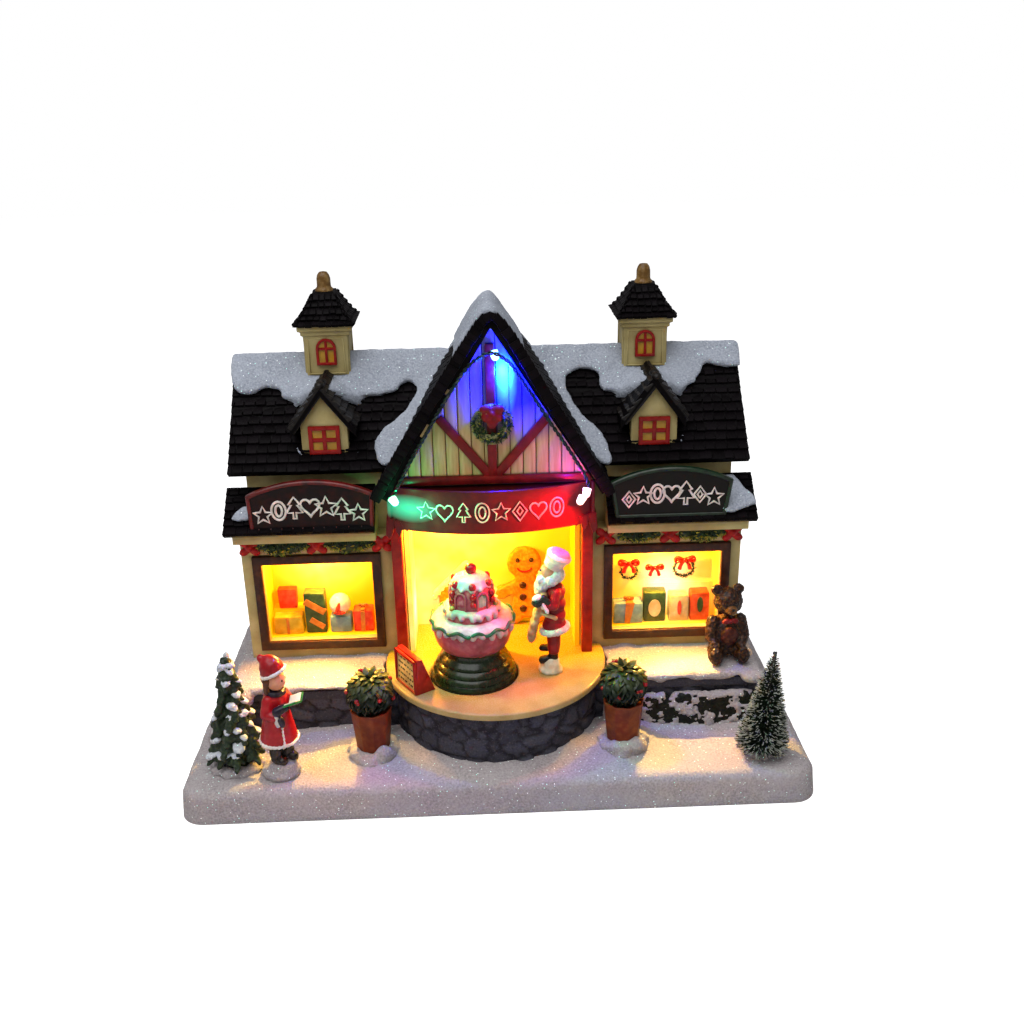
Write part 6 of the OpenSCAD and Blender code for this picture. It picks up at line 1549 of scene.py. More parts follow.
roof_snow_paint = make_snow("roof_snow", "#a8aeba", "#7f8590")
front_slope = RIDGE - EAVE
top_end = front_slope.length + 0.6
bm = bmesh.new()
left = ((-105.0, top_end), *LEFT_EDGE, *LEFT_RUN, (-14, top_end))
right = ((19, top_end), *RIGHT_RUN, *RIGHT_EDGE, (105.0, top_end))
slab(bm, left, EAVE, (1, 0, 0), front_slope, SLAB_LOW, ROOF_SNOW, LUMP)
slab(bm, right, EAVE, (1, 0, 0), front_slope, SLAB_LOW, ROOF_SNOW, LUMP)
wave = []
for x in range(-104, 106, 4):
    slow, quick = noise.noise(Vector((x / 16, 5, 0))), noise.noise(Vector((x / 5, 9, 0)))
    wave.append((x, BACK_EDGE + 4.5 * slow + 2.5 * quick))
rear = ((-105, top_end), *wave, (105, top_end))
slab(bm, rear, back_eave, (-1, 0, 0), RIDGE - back_eave, SLAB_LOW, ROOF_SNOW, LUMP)
for mid in (-65.8, 66.6):
    rings = []
    for y in (-3.5, -1, 2, 5, 8, 12, 16):
        half = 2.2 + (y + 3.5) * 0.95
        spread = [half * (k / 6 - 1) for k in range(13)]
        upper = [Vector((mid + x, y, DRIFT_TOP - 0.72 * math.hypot(x, 2.4))) for x in spread]
        rings.append(upper + [spot - Vector((0, 0, 4.5)) for spot in reversed(upper)])
    lofted(bm, rings)
    close_ends(bm)
for side in (-1, 1):
    tube(bm, [Vector((side * x, RIDGE.y, RIDGE.z + 0.6)) for x in (104.4, 60, 17)], 2.4, 10)
blanket = roughened(melted(bm, ROOF_SNOW_VOXEL, 0.35, 5), 0.12, 1.3)
piece("roof_snow_blanket", [(blanket, roof_snow_paint)], ["roof_snow"])

CAP_FRONT = ((-12.0, 173.0), (-10.0, 177.2), (-6.0, 182.8), (-2.8, 186.8), (-1.0, 188.2), (0.8, 188.6),
             (2.6, 187.8), (3.8, 186.4), (3.2, 185.2), (0.6, 186.2), (-2.0, 184.6), (-5.4, 179.8),
             (-8.2, 175.8), (-10.8, 172.2))
CAP_BACK = ((-13.0, 170.4), (-10.0, 175.6), (-5.8, 182.2), (-2.6, 186.2), (-0.4, 188.0), (1.6, 188.2),
            (3.8, 186.6), (6.8, 182.8), (11.4, 175.4), (14.6, 169.8), (13.0, 167.6), (1.5, 180.0),
            (-6.0, 176.0), (-12.8, 169.2))
bm = bmesh.new()
plate(bm, CAP_FRONT, GABLE_FRONT - 1.0, GABLE_FRONT + 2.2, "Y")
plate(bm, CAP_BACK, GABLE_FRONT + 1.8, 6, "Y")
hip = ((GABLE_X, 4, GABLE_PEAK + 1.5), (GABLE_X - 19, 23.4, 158.6), (GABLE_X + 19, 23.4, 158.6))
corners = [bm.verts.new(Vector(spot) + Vector(shift)) for shift in ((0, -5, -6), (0, 2.0, 1.0)) for spot in hip]
for order in ((0, 2, 1), (3, 4, 5), (0, 1, 4, 3), (1, 2, 5, 4), (2, 0, 3, 5)):
    bm.faces.new([corners[k] for k in order])
bmesh.ops.recalc_face_normals(bm, faces=bm.faces)
flattened(bm, 188.4, 0.8)
cap = roughened(melted(bm, 0.75, 0.35, 5, 4), 0.1, 1.3)
piece("gable_snow_blanket", [(cap, roof_snow_paint)], ["gable_snow"])

PATCH_RIGHT = ((95.5, 19), (94.2, 14), (93.4, 8.5), (93.0, 4.0), (96.6, 2.8), (101, 4.4), (104.5, 5.6),
               (106.4, 6.4), (106.4, 9), (102, 14), (99.5, 19))
PATCH_LEFT = ((-95.5, 11), (-95.6, 7.6), (-98, 6.2), (-101, 5.8), (-103.5, 6.4), (-102.5, 8.6), (-99.5, 11.2))
DORMER_FLECKS = ((-76.2, -7.4, 127.7, 0.8), (-75.4, -7.4, 126.5, 0.6), (-77.0, -6.6, 129.1, 0.6),
                 (55.9, -7.0, 128.3, 0.7), (77.6, -7.2, 127.8, 0.8), (78.4, -6.2, 129.5, 0.6),
                 (-52.8, -7.6, 127.0, 0.5))
bm = bmesh.new()
slab(bm, PATCH_RIGHT, PORCH_LOW, (1, 0, 0), porch_slope, -1, 2.2, 1.0)
slab(bm, PATCH_LEFT, PORCH_LOW, (1, 0, 0), porch_slope, -1, 1.9, 0.9)
for x, y, z, size in DORMER_FLECKS:
    ball(bm, (x, y, z), size)
piece("porch_snow_patches", [(melted(bm, 0.6, 0.3, 3), roof_snow_paint)])

# Dormers and cupolas. Cream boxes let into the roof, with a black strip at each dormer's foot as
# a painted shadow where it meets the roof, red four-pane windows, larger shingles washed brown,
# and gilded finials on the cupolas.
DORMER_X = 65.8
DORMER_HALF = 9.4
DORMER_FACE = -6.0
DORMER_SILL = 125.2
DORMER_EAVE = 138.0
DORMER_PEAK = 155.5
CUPOLA_X = 65.2
CUPOLA_HALF = 9.0
CUPOLA_TOP = 174.0
CUPOLA_EAVE = 12.3
RIDGE_Y = 23.7
CUPOLA_STEPS = ((-0.5, 150), (-0.5, 152), (0.1, CUPOLA_TOP - 4.4), (0.9, CUPOLA_TOP - 4.1),
                (0.9, CUPOLA_TOP - 2.6), (2.0, CUPOLA_TOP - 2.2), (2.0, CUPOLA_TOP))
CUPOLA_LINES = ((-7.4, 154.0, -7.1, 168.4), (7.4, 154.0, 7.1, 168.4), (-7.4, 154.0, 7.4, 154.0),
                (-7.1, 168.4, 7.1, 168.4))
COURSES = ((CUPOLA_EAVE, 0.4), (10.4, 2.1), (8.9, 4.3), (7.3, 6.9), (5.9, 9.4), (4.7, 12.0))
FINIAL = ((0, 0), (3.4, 0), (3.7, 0.5), (3.5, 1.4), (2.95, 2.0), (2.85, 2.8), (2.8, 5.4), (2.4, 6.9),
          (1.6, 8.0), (0, 8.3))
pane = paint("pane_yellow", "#b8871f", 0.3, "#c99a30", 3, coat=0.4)
window_red = paint("window_red", "#90100c", 0.32, "#a01c16", 2.0, coat=0.15)
brown_tile, tree, place = material("brown_tile_paint")
shade = add(tree, "Attribute", attribute_name="shade").outputs["Fac"]
grain = add(tree, "TexNoise", {"Vector": place, "Scale": 0.9, "Detail": 4.0})
tone = mixed(tree, shade, "#090707", "#14100e")
tone = mixed(tree, stretched(tree, grain, 0.5, 0.75, 0.0, 0.4), tone, "#3a2f24")
surface_of(tree, tone, 0.5, grain, 0.15, {"coat_weight": 0.1})


def pane_outline(x, half_x, low, high, arched, inset):
    """A window's outline drawn in by an inset, with a flat or an arched top."""
    top = [(x + half_x - inset, high - inset), (x - half_x + inset, high - inset)]
    if arched:
        sweep = [math.pi * k / 12 for k in range(13)]
        reach, rise = half_x - inset, arched - inset
        top = [(x + reach * math.cos(a), high - arched + rise * math.sin(a)) for a in sweep]
    return [(x - half_x + inset, low + inset), (x + half_x - inset, low + inset)] + top


def four_panes(x, half_x, low, high, face, arched=0.0):
    """A red sash with a cross bar and yellow panes; its top can be arched."""
    sash, glass = bmesh.new(), bmesh.new()
    shape = (x, half_x, low, high, arched)
    bar = half_x * 0.26
    rings = [[Vector((px, y, pz)) for px, pz in pane_outline(*shape, inset)] for inset, y in (
        (0.0, face + 0.6), (0.0, face - 1.3), (bar, face - 1.3), (bar, face + 0.6), (0.0, face + 0.6))]
    lofted(sash, rings)
    bmesh.ops.remove_doubles(sash, verts=sash.verts, dist=0.001)
    bmesh.ops.recalc_face_normals(sash, faces=sash.faces)
    softened(sash, sash.verts[:], 0.22)
    middle = high - arched if arched else (low + high) / 2
    worn_block(sash, (x - half_x + bar, face - 1.0, middle - bar / 2),
               (x + half_x - bar, face + 0.4, middle + bar / 2), 0.18)
    worn_block(sash, (x - bar / 2, face - 1.05, low + bar), (x + bar / 2, face + 0.4, high - bar), 0.18)
    plate(glass, pane_outline(*shape, bar * 0.6), face - 0.35, face + 0.3, "Y")
    return sash, glass


def tower(bm, mid, levels, foot=0.0):
    """A square form on the ridge, from pairs of half a width and a height."""
    rings = []
    for half, z in levels:
        rings.append([Vector((mid + sx * half, RIDGE_Y + sy * half, foot + z)) for sx, sy in CORNERS])
    lofted(bm, rings)
    close_ends(bm)


for side, name in SIDES:
    mid = side * DORMER_X + (0 if side < 0 else 0.8)
    walls, board, shadow, cap = (bmesh.new() for _ in range(4))
    left = [(-DORMER_HALF, DORMER_SILL + 2.4), (-DORMER_HALF + 0.8, DORMER_SILL + 0.7),
            (-DORMER_HALF + 2.6, DORMER_SILL)]
    outline = left + [(-x, z) for x, z in reversed(left)]
    outline += [(DORMER_HALF, DORMER_EAVE + 1.0), (0, DORMER_PEAK - 4.0), (-DORMER_HALF, DORMER_EAVE + 1.0)]
    worn_plate(walls, [(mid + x, z) for x, z in outline], DORMER_FACE - 0.2, 10, "Y", 0.5)
    for way in (-1, 1):
        worn_plate(board, strip(mid + way * 12.6, 136.2, mid, 152.6, 2.6), -9.2, DORMER_FACE, "Y", 0.3)
    # A black strip along the dormer's foot: a painted shadow where it meets the roof.
    joint = ((-1, -0.9), (1, -0.9), (1, 0.6), (-1, 0.6))
    joint = [(mid + sx * (DORMER_HALF - 1), DORMER_SILL + z) for sx, z in joint]
    plate(shadow, joint, DORMER_FACE + 0.4, -3, "Y")
    sash, glass = four_panes(mid, 6.3, 126.4, 138.0, DORMER_FACE - 0.2)
    tiles = []
    for way in (-1, 1):
        up = Vector((-way * 13.1, 0, 17.5)).normalized()
        base = Vector((mid + way * 13.1, 0, DORMER_EAVE))
        ends = (-9.9, 16) if way > 0 else (-16, 9.9)
        tiles.append(tiled(base, (0, way, 0), up, 21.8, 6, *ends, wide=5.2, thick=1.15, tilt=0.5))
    tint = cap.verts.layers.float.new("shade")
    for k in range(2):
        verts = ball(cap, (mid, -10.2 + k * 5.0 + 2.4, DORMER_PEAK - 0.5), (2.1, 3.0, 1.7))
        own = random.random()
        for vert in verts:
            vert[tint] = own
    tiles.append(cap)
    piece("dormer_walls_" + name, [(walls, cream), (shadow, shingle)], ["dormer_" + name])
    piece("dormer_window_" + name, [(sash, window_red), (glass, pane)])
    piece("dormer_shingles_" + name, [(joined(board, *tiles), brown_tile)])

    mid = side * CUPOLA_X
    walls = bmesh.new()
    tower(walls, mid, [(CUPOLA_HALF + out, z) for out, z in CUPOLA_STEPS])
    softened(walls, walls.verts[:], 0.35)
    for quarter in range(4):
        turn = Matrix.Translation((mid, RIDGE_Y, 0)) @ Matrix.Rotation(math.radians(90 * quarter), 4, "Z")
        border = bmesh.new()
        for line in CUPOLA_LINES:
            worn_plate(border, strip(*line, 0.55), -CUPOLA_HALF - 0.25, -CUPOLA_HALF + 1.2, "Y", 0.2)
        bmesh.ops.transform(border, matrix=turn, verts=border.verts)
        walls = joined(walls, border)
    sash, glass = four_panes(mid, 4.1, 157.6, 168.6, RIDGE_Y - CUPOLA_HALF + 0.1, 4.3)
    piece("cupola_walls_" + name, [(walls, cream)], ["cupola_" + name])
    piece("cupola_window_" + name, [(sash, window_red), (glass, pane)])
    tiles = []
    for quarter in range(4):
        turn = Matrix.Rotation(math.radians(90 * quarter), 4, "Z")
        for (r0, z0), (r1, z1) in zip(COURSES, COURSES[1:]):
            base, step = Vector((0, -r0, z0)), Vector((0, r0 - r1, z1 - z0))
            row = tile_row(base, Vector((1, 0, 0)), step.normalized(), 0, step.length + 0.4, -r0, r0,
                           wide=2.7, thick=0.75, tilt=0.5)
            for vert in row.verts:
                vert.co.x = max(vert.co.y, min(-vert.co.y, vert.co.x))
            place = Matrix.Translation((mid, RIDGE_Y, CUPOLA_TOP)) @ turn
            bmesh.ops.transform(row, matrix=place, verts=row.verts)
            tiles.append(row)
    body = bmesh.new()
    tower(body, mid, ((CUPOLA_EAVE, 0.0), (12.2, 0.7), (10.0, 2.1), (7.1, 6.7), (4.5, 11.8), (4.3, 12.4)),
          CUPOLA_TOP)
    tiles.append(body)
    for sx, sy in ((-1, -1), (-1, 1), (1, -1), (1, 1)):
        hip_line = bmesh.new()
        for k in range(5):
            t = (k + 0.5) / 5
            r = CUPOLA_EAVE - 7.6 * t ** 0.85 - 0.5
            spot = (mid + sx * r, RIDGE_Y + sy * r, CUPOLA_TOP + 0.4 + 11.6 * t)
            ball(hip_line, spot, (0.9, 0.9, 1.3), fine=1)
        tiles.append(hip_line)
    piece("cupola_shingles_" + name, [(joined(*tiles), shingle)])
    gold = paint("finial_gold_" + name, "#6b4c22", 0.35, "#9a7c4c", 2.4, coat=0.15)
    finial = turned(bmesh.new(), FINIAL, Vector((mid, RIDGE_Y, 185.8)), 32)
    piece("cupola_finial_" + name, [(roughened(finial, 0.08, 2), gold)], ["cupola_roof_" + name])

# Gingerbread display. Two flat cut-outs stand against the room's back wall: a biscuit man with
# piped eyes, smile and buttons, and a small biscuit house edged with scalloped white icing.
BISCUIT_X = 14.4
BISCUIT_FRONT = 7.2
BISCUIT_BACK = 11.0
BISCUIT_HOUSE_X = -11.5
ROOM_FLOOR = 38.8
biscuit = paint("gingerbread_paint", "#b67610", 0.5, "#cc9826", 1.2, 0.3, coat=0.1)
piping = paint("piped_icing", "#f3e6c4", 0.4, "#fff6dd", 1.5, coat=0.25)
chocolate = paint("chocolate_paint", "#2e1609", 0.3, "#4a2a14", 1.2, coat=0.4)
smile_red = paint("smile_red", "#a81b10", 0.35, "#c42a1c", 1.0, coat=0.3)


def limb(bm, start, end, r0, r1):
    """A round limb between two places, with a ball at each end."""
    start, end = Vector(start), Vector(end)
    tube(bm, [start, end], (r0, r1), 12)
    for spot, size in ((start, r0), (end, r1)):
        ball(bm, spot, size)


def crown(bm, middle, wide, deep, count, radii, dip=0.0):
    """Balls set evenly round an oval, which can dip to its back."""
    for a in circle(count):
        spot = (middle[0] + wide * math.cos(a), middle[1] + deep * math.sin(a), middle[2] + dip * math.cos(a))
        ball(bm, spot, radii, fine=1)


man, trim, eyes = bmesh.new(), bmesh.new(), bmesh.new()
for start, end, r0, r1 in (
        ((-0.6, 29.6), (-0.6, 29.8), 7.9, 7.9), ((0, 20), (0, 9), 5.6, 6.2),
        ((-3, 19), (-11.2, 15.5), 2.9, 3.2), ((3, 19), (11.2, 15.5), 2.9, 3.2),
        ((-3, 8), (-5.0, 3.6), 3.6, 3.5), ((3, 8), (5.0, 3.6), 3.6, 3.5)):
    ends = [(BISCUIT_X + x, 0, ROOM_FLOOR + z) for x, z in (start, end)]
    limb(man, *ends, r0, r1)
for vert in man.verts:
    vert.co.y = (BISCUIT_FRONT + BISCUIT_BACK) / 2 + max(-1.8, min(1.8, vert.co.y))
for sx in (-1, 1):
    ball(eyes, (BISCUIT_X - 0.6 + sx * 3.0, BISCUIT_FRONT, 70.4), (0.95, 0.6, 1.15))
for z in (58.4, 52.6, 47.0):
    ball(eyes, (BISCUIT_X - 1.4, BISCUIT_FRONT, z), (1.7, 0.8, 1.7))
tube(trim, [(BISCUIT_X - 0.6 + 3.4 * math.cos(a), BISCUIT_FRONT - 0.15, 67.6 + 2.6 * math.sin(a))
            for a in (math.radians(200 + 14 * k) for k in range(11))], 0.42, 8)
piece("gingerbread_man", [(melted(man, 0.5, 0.15, 2), biscuit), (eyes, chocolate), (trim, smile_red)],
      ["gingerbread_figure"])
house, lace, holes = bmesh.new(), bmesh.new(), bmesh.new()
wall = [(BISCUIT_HOUSE_X + x, z) for x, z in ((-12.5, 38.9), (11.0, 38.9), (11.0, 56), (0, 69.2), (-12.5, 56))]
worn_plate(house, wall, BISCUIT_FRONT + 0.2, BISCUIT_BACK - 0.2, "Y", 0.5)
head_x, head_z = BISCUIT_HOUSE_X, 69.9
for foot_x, foot_z in ((BISCUIT_HOUSE_X - 14.2, 54.2), (BISCUIT_HOUSE_X + 13.0, 54.2)):
    for k in range(9):
        t = k / 8
        spot = (foot_x + (head_x - foot_x) * t, BISCUIT_FRONT + 1.5, foot_z + (head_z - foot_z) * t - 0.8)
        ball(lace, spot, (1.7, 1.6, 1.5))
    tube(lace, [(foot_x, BISCUIT_FRONT + 1.6, foot_z + 0.8), (head_x, BISCUIT_FRONT + 1.6, head_z - 0.6)], 1.5)
for x in (-20.6, -3.6):
    for z in (42.5, 46.5, 50.5):
        tube(lace, [(x + 1.5 * math.cos(a), BISCUIT_FRONT, z + 1.5 * math.sin(a)) for a in circle(14)], 0.4, 6)
for x in (-17.2, -8.4):
    worn_block(holes, (x, BISCUIT_FRONT - 0.3, 46), (x + 4.2, BISCUIT_FRONT + 1.0, 52.4), 0.4)
ball(holes, (BISCUIT_HOUSE_X, BISCUIT_FRONT, 60.4), (1.9, 0.7, 1.9))
piece("gingerbread_house_iced", [(melted(house, 0.5, 0.12, 2), biscuit), (melted(lace, 0.4, 0.1, 1.5), piping),
                                 (holes, chocolate)], ["gingerbread_house"])

# Chef. A cast-resin cook in a red coat trimmed with fleece, who beats batter in a dark bowl.
# The painted parts are cast as one, and the boots stand in a blob of clear glue.
CHEF_FOOT = Vector((21.9, -33.6, ROOM_FLOOR))
CHEF_SIZE = 1.03
CHEF_LIFT = 1.4
coat_red = paint("figure_red", "#84101a", 0.4, "#9c1e20", 2.0, coat=0.25)
fleece = paint("fleece_white", "#dcd5cf", 0.6, "#f4eeea", 1.1, 0.3)
beard_white = paint("beard_white", "#cfc9cb", 0.55, "#f2eef0", 1.0, 0.3)
boot_black = paint("boot_black", "#140f0d", 0.3, "#33261b", 1.6, coat=0.35)
apron_beige = paint("apron_beige", "#c89a6c", 0.5, "#e0b78a", 2.0)
skin = paint("figure_skin", "#cf8f72", 0.45, "#dc9f82", 2.4)
hat_white = paint("hat_white_pink", "#ecd2cb", 0.45, "#f7e6df", 2.0)
hat_pink = paint("hat_top_pink", "#e2939f", 0.4, "#eda9ae", 2.0, coat=0.2)
mitt_dark = paint("mitt_dark_green", "#131d16", 0.3, "#24382a", 1.4, coat=0.35)
glue = paint("clear_glue", "#d9d2b4", 0.2, "#ece6cf", 2.0, coat=0.5)


def set_down(parts, foot, degrees):
    """Moves a figure's painted parts from its own axes to its place."""
    place = Matrix.Translation(foot) @ Matrix.Rotation(math.radians(degrees), 4, "Z")
    for part, _ in parts:
        bmesh.ops.transform(part, matrix=place, verts=part.verts)
    return parts


boots, trousers, coat, fur, apron = (bmesh.new() for _ in range(5))
limb(boots, (1.2, -0.6, 4.6), (-2.6, -1.0, 3.9), 2.1, 1.7)
limb(boots, (1.8, -0.6, 5.0), (1.9, -0.6, 8.6), 2.0, 2.0)
limb(boots, (0.2, 2.8, 7.6), (-3.4, 2.6, 7.2), 1.7, 1.5)
limb(boots, (0.6, 2.6, 7.6), (0.8, 2.4, 9.8), 1.7, 1.7)
limb(trousers, (1.9, -0.8, 8.8), (1.9, -0.4, 17), 2.5, 3.0)
limb(trousers, (0.9, 2.4, 9.8), (1.6, 1.2, 17), 2.2, 2.8)
for z, rx, ry, x in ((19.5, 5.0, 4.6, 2.1), (24, 4.5, 4.3, 2.3), (29, 4.3, 4.2, 2.5), (34, 3.9, 4.0, 2.7)):
    ball(coat, (x, 0, z), (rx, ry, 4.2))
limb(coat, (3.4, -3.6, 35), (3.0, -5.6, 30.2), 2.1, 1.9)
limb(coat, (3.0, -5.6, 30.2), (-1.4, -5.4, 30.4), 1.9, 1.6)
limb(coat, (1.6, 3.6, 34.6), (-2.6, 3.8, 31.0), 1.9, 1.6)
crown(fur, (2.2, 0, 17.9), 5.1, 4.7, 22, (1.35, 1.35, 1.75), 1.2)
for a in circle(8):
    ball(fur, (-1.5, -5.4 + 1.5 * math.cos(a), 30.4 + 1.5 * math.sin(a)), 0.75, fine=1)
for z, x, half in ((14.6, -6.6, 2.6), (17.5, -6.2, 3.4), (21, -5.4, 3.9), (25, -4.3, 4.2), (29, -3.0, 4.0),
                   (32, -2.0, 3.2)):
    ball(apron, (x, -1.8, z), (2.0, half, 3.0), Matrix.Rotation(0.2, 4, "Y"))
limb(apron, (-2.4, -3.6, 26.0), (3.4, -4.6, 24.6), 1.0, 0.9)
beard, face, hat, puff, dark, batter = (bmesh.new() for _ in range(6))
for x, y, z, r in (
        (-1.2, -0.6, 38.6, 3.6), (-2.8, -0.8, 36.2, 3.0), (-3.6, -1.0, 34.4, 2.1), (1.6, -2.6, 39.8, 2.7),
        (2.2, 2.4, 40.0, 2.7), (3.2, -0.6, 41.4, 3.4), (-2.8, -2.4, 39.4, 1.9), (-3.0, 1.2, 39.4, 1.9)):
    ball(beard, (x, y, z), r)
ball(face, (0.4, -0.5, 42.6), (3.7, 3.5, 3.7))
ball(face, (-3.3, -0.7, 42.0), (0.95, 0.8, 0.8))
seat, turn = Vector((1.8, -0.4, 44.9)), Matrix.Rotation(math.radians(24), 4, "Y")
for z, r in ((0.2, 4.1), (1.4, 4.3), (2.8, 4.5)):
    ball(hat, seat + turn @ Vector((0, 0, z)), (r, r, 1.3), turn)
ball(hat, seat + turn @ Vector((0.3, 0, 4.9)), (5.3, 5.1, 2.4), turn)
ball(puff, seat + turn @ Vector((0.4, 0, 5.9)), (4.4, 4.2, 1.75), turn)
ball(dark, (-3.2, -5.8, 31.8), (2.9, 2.7, 2.3), Matrix.Rotation(-0.4, 4, "Y"))
limb(dark, (-1.0, -5.9, 33.6), (1.4, -5.7, 31.0), 1.4, 1.3)
ball(batter, (-3.6, -6.0, 33.4), (2.2, 2.0, 1.2), Matrix.Rotation(-0.4, 4, "Y"))
limb(batter, (-2.9, -6.4, 34.0), (0.6, -7.4, 28.6), 0.7, 0.9)
gum, eye = bmesh.new(), bmesh.new()
ball(gum, (0.4, 0.4, 0.6), (5.4, 4.8, 1.6))
ball(gum, (1.0, -0.4, 2.6), (3.6, 3.2, 3.0))
ball(gum, (1.4, -0.6, 4.4), (2.8, 2.6, 1.6))
for y in (-2.0, 0.7):
    ball(eye, (-2.9, y, 43.4), 0.38)
figure = [(melted(boots, 0.4), boot_black), (melted(trousers, 0.45), coat_red), (melted(coat, 0.45), coat_red),
          (melted(fur, 0.4, 0.2, 1), fleece), (melted(apron, 0.4, 0.2, 2.5), apron_beige),
          (melted(beard, 0.4, 0.35, 0.9), beard_white), (melted(face, 0.35, 0.05), skin),
          (melted(hat, 0.4, 0.2, 2.2), hat_white), (melted(puff, 0.4, 0.15, 2), hat_pink),
          (melted(dark, 0.35), mitt_dark), (melted(batter, 0.3, 0.15, 1), beard_white),
          (melted(gum, 0.5, 0.25, 1.6), glue), (eye, boot_black)]
for part, _ in figure:
    for vert in part.verts:
        lift = CHEF_LIFT if vert.co.z > 3 else vert.co.z * 0.45
        vert.co = Vector((vert.co.x, vert.co.y, max(0, vert.co.z) + lift)) * CHEF_SIZE
piece("chef_figure", set_down(figure, CHEF_FOOT, -14), ["chef"])

# Carol singer. A cast-resin child in a red coat and cap with white trim sings from a green
# song book. The face is plain and calm. The figure stands on a small mound of snow.
SINGER_FOOT = Vector((-85.4, -62.2, 13.6))
COAT = ((0, 15.6), (7.0, 15.8), (7.3, 16.8), (6.3, 22), (5.2, 28), (4.7, 32), (4.4, 35.5), (3.0, 37.6), (0, 38))
SINGER_CAP = ((0, -0.6), (4.6, -0.6), (4.7, 1.0), (4.1, 3.4), (2.9, 5.4), (1.4, 6.6), (0, 6.9))
hair = paint("hair_brown", "#4a2713", 0.4, "#5f3519", 1.6)
book_green = paint("book_green", "#1f7a35", 0.35, "#2f9446", 1.6, coat=0.25)
page = paint("page_white", "#e6e0d2", 0.6)
glove_black = paint("glove_black", "#16111c", 0.35, "#2b2238", 1.4, coat=0.25)
coat_bright = paint("coat_bright_red", "#980f18", 0.35, "#ae2026", 2.2, coat=0.3)
coat, fur, boots, collar, gloves, face = (bmesh.new() for _ in range(6))
locks, cap, book, leaves_in, mound, dots = (bmesh.new() for _ in range(6))
turned(coat, COAT, Vector((0.6, 0, 0)), 40)
limb(coat, (-0.6, -3.8, 35), (-1.4, -5.4, 29.8), 2.4, 2.3)
limb(coat, (-1.4, -5.4, 29.8), (2.6, -6.2, 29.4), 2.2, 1.9)
limb(coat, (2.4, 3.4, 35), (6.2, 2.6, 31.6), 2.2, 1.8)
crown(fur, (0.6, 0, 16.4), 7.1, 7.1, 26, (1.1, 1.1, 1.0))
seam = math.radians(-52)
for k in range(12):
    z = 16.5 + k * 1.5
    r = 7.3 - (z - 16.5) * 0.15
    ball(fur, (0.6 + r * math.cos(seam), r * math.sin(seam), z), 0.75, fine=1)
limb(fur, (3.4, -6.6, 30.2), (3.7, -6.9, 26.4), 1.2, 1.0)
limb(boots, (-0.6, -2.2, 14.5), (-0.4, -2.4, 9.4), 2.3, 2.5)
limb(boots, (3.0, 1.4, 14.5), (3.2, 1.2, 9.4), 2.2, 2.4)
limb(boots, (-0.2, -2.6, 8.6), (2.6, -3.2, 8.0), 2.4, 1.9)
limb(boots, (3.4, 1.0, 8.6), (5.8, 0.4, 8.2), 2.2, 1.8)
crown(collar, (0.9, 0, 37.6), 3.3, 3.2, 16, (1.4, 1.4, 1.5), -0.5)
ball(collar, (0.8, 0, 37.0), (3.8, 3.7, 1.7))
limb(gloves, (3.8, -6.6, 32.2), (6.6, -5.2, 33.6), 2.0, 1.6)
limb(gloves, (4.9, -6.6, 28.8), (5.4, -6.4, 26.6), 1.4, 1.2)
limb(gloves, (6.6, 2.4, 31.6), (8.6, 0.8, 32.6), 1.6, 1.4)
ball(face, (1.8, -0.6, 42.6), (4.1, 3.9, 4.5))
ball(face, (5.7, -1.2, 42.2), (0.75, 0.65, 0.6))
ball(locks, (0.2, 0.4, 43.4), (4.6, 4.3, 4.4))
for y in (-3.4, 3.6):
    limb(locks, (-0.4, y, 43.4), (-0.9, y * 0.95, 38.6), 1.6, 1.3)
seat, turn = Vector((1.0, 0, 46.0)), Matrix.Rotation(math.radians(-22), 4, "Y")
dome = turned(bmesh.new(), SINGER_CAP, Vector((0, 0, 0)), 32)
bmesh.ops.transform(dome, matrix=Matrix.Translation(seat) @ turn, verts=dome.verts)
cap = joined(cap, dome)
ball(cap, seat + turn @ Vector((-2.2, 0, 6.4)), (1.6, 1.5, 1.5))
for a in circle(22):
    ball(fur, seat + turn @ Vector((4.7 * math.cos(a), 4.5 * math.sin(a), -0.4)), 1.0, fine=1)
for lean in (-1, 1):
    open_by = Matrix.Rotation(math.radians(-24), 4, "Y") @ Matrix.Rotation(lean * 0.42, 4, "X")
    cover, sheet = bmesh.new(), bmesh.new()
    worn_block(cover, (-2.9, min(0, lean * 4.3), -0.7), (2.9, max(0, lean * 4.3), 0.1), 0.2)
    worn_block(sheet, (-2.5, min(0, lean * 3.9), 0.1), (2.5, max(0, lean * 3.9), 0.5), 0.15)
    for part in (cover, sheet):
        bmesh.ops.transform(part, matrix=Matrix.Translation((9.6, -2.6, 34.4)) @ open_by, verts=part.verts)
    book, leaves_in = joined(book, cover), joined(leaves_in, sheet)
ball(mound, (0, 0, 1.6), (8.2, 7.2, 4.0))
ball(mound, (1.5, -0.6, 4.6), (5.8, 5.2, 3.2))
for y in (-2.3, 0.6):
    ball(dots, (5.3, y, 43.3), (0.3, 0.42, 0.5))
figure = [(melted(coat, 0.45), coat_bright), (melted(fur, 0.38, 0.2, 1), fleece),
          (melted(boots, 0.4, 0.3, 1.1), boot_black), (melted(collar, 0.4, 0.2, 1.1), glove_black),
          (melted(gloves, 0.35), glove_black), (melted(face, 0.4, 0.04), skin),
          (melted(locks, 0.4, 0.25, 0.9), hair), (melted(cap, 0.4), coat_bright), (book, book_green),
          (leaves_in, page),
          (melted(mound, 0.6, 0.4, 2.4), snow), (dots, boot_black)]
piece("carol_singer_figure", set_down(figure, SINGER_FOOT, -12), ["carol_singer"])

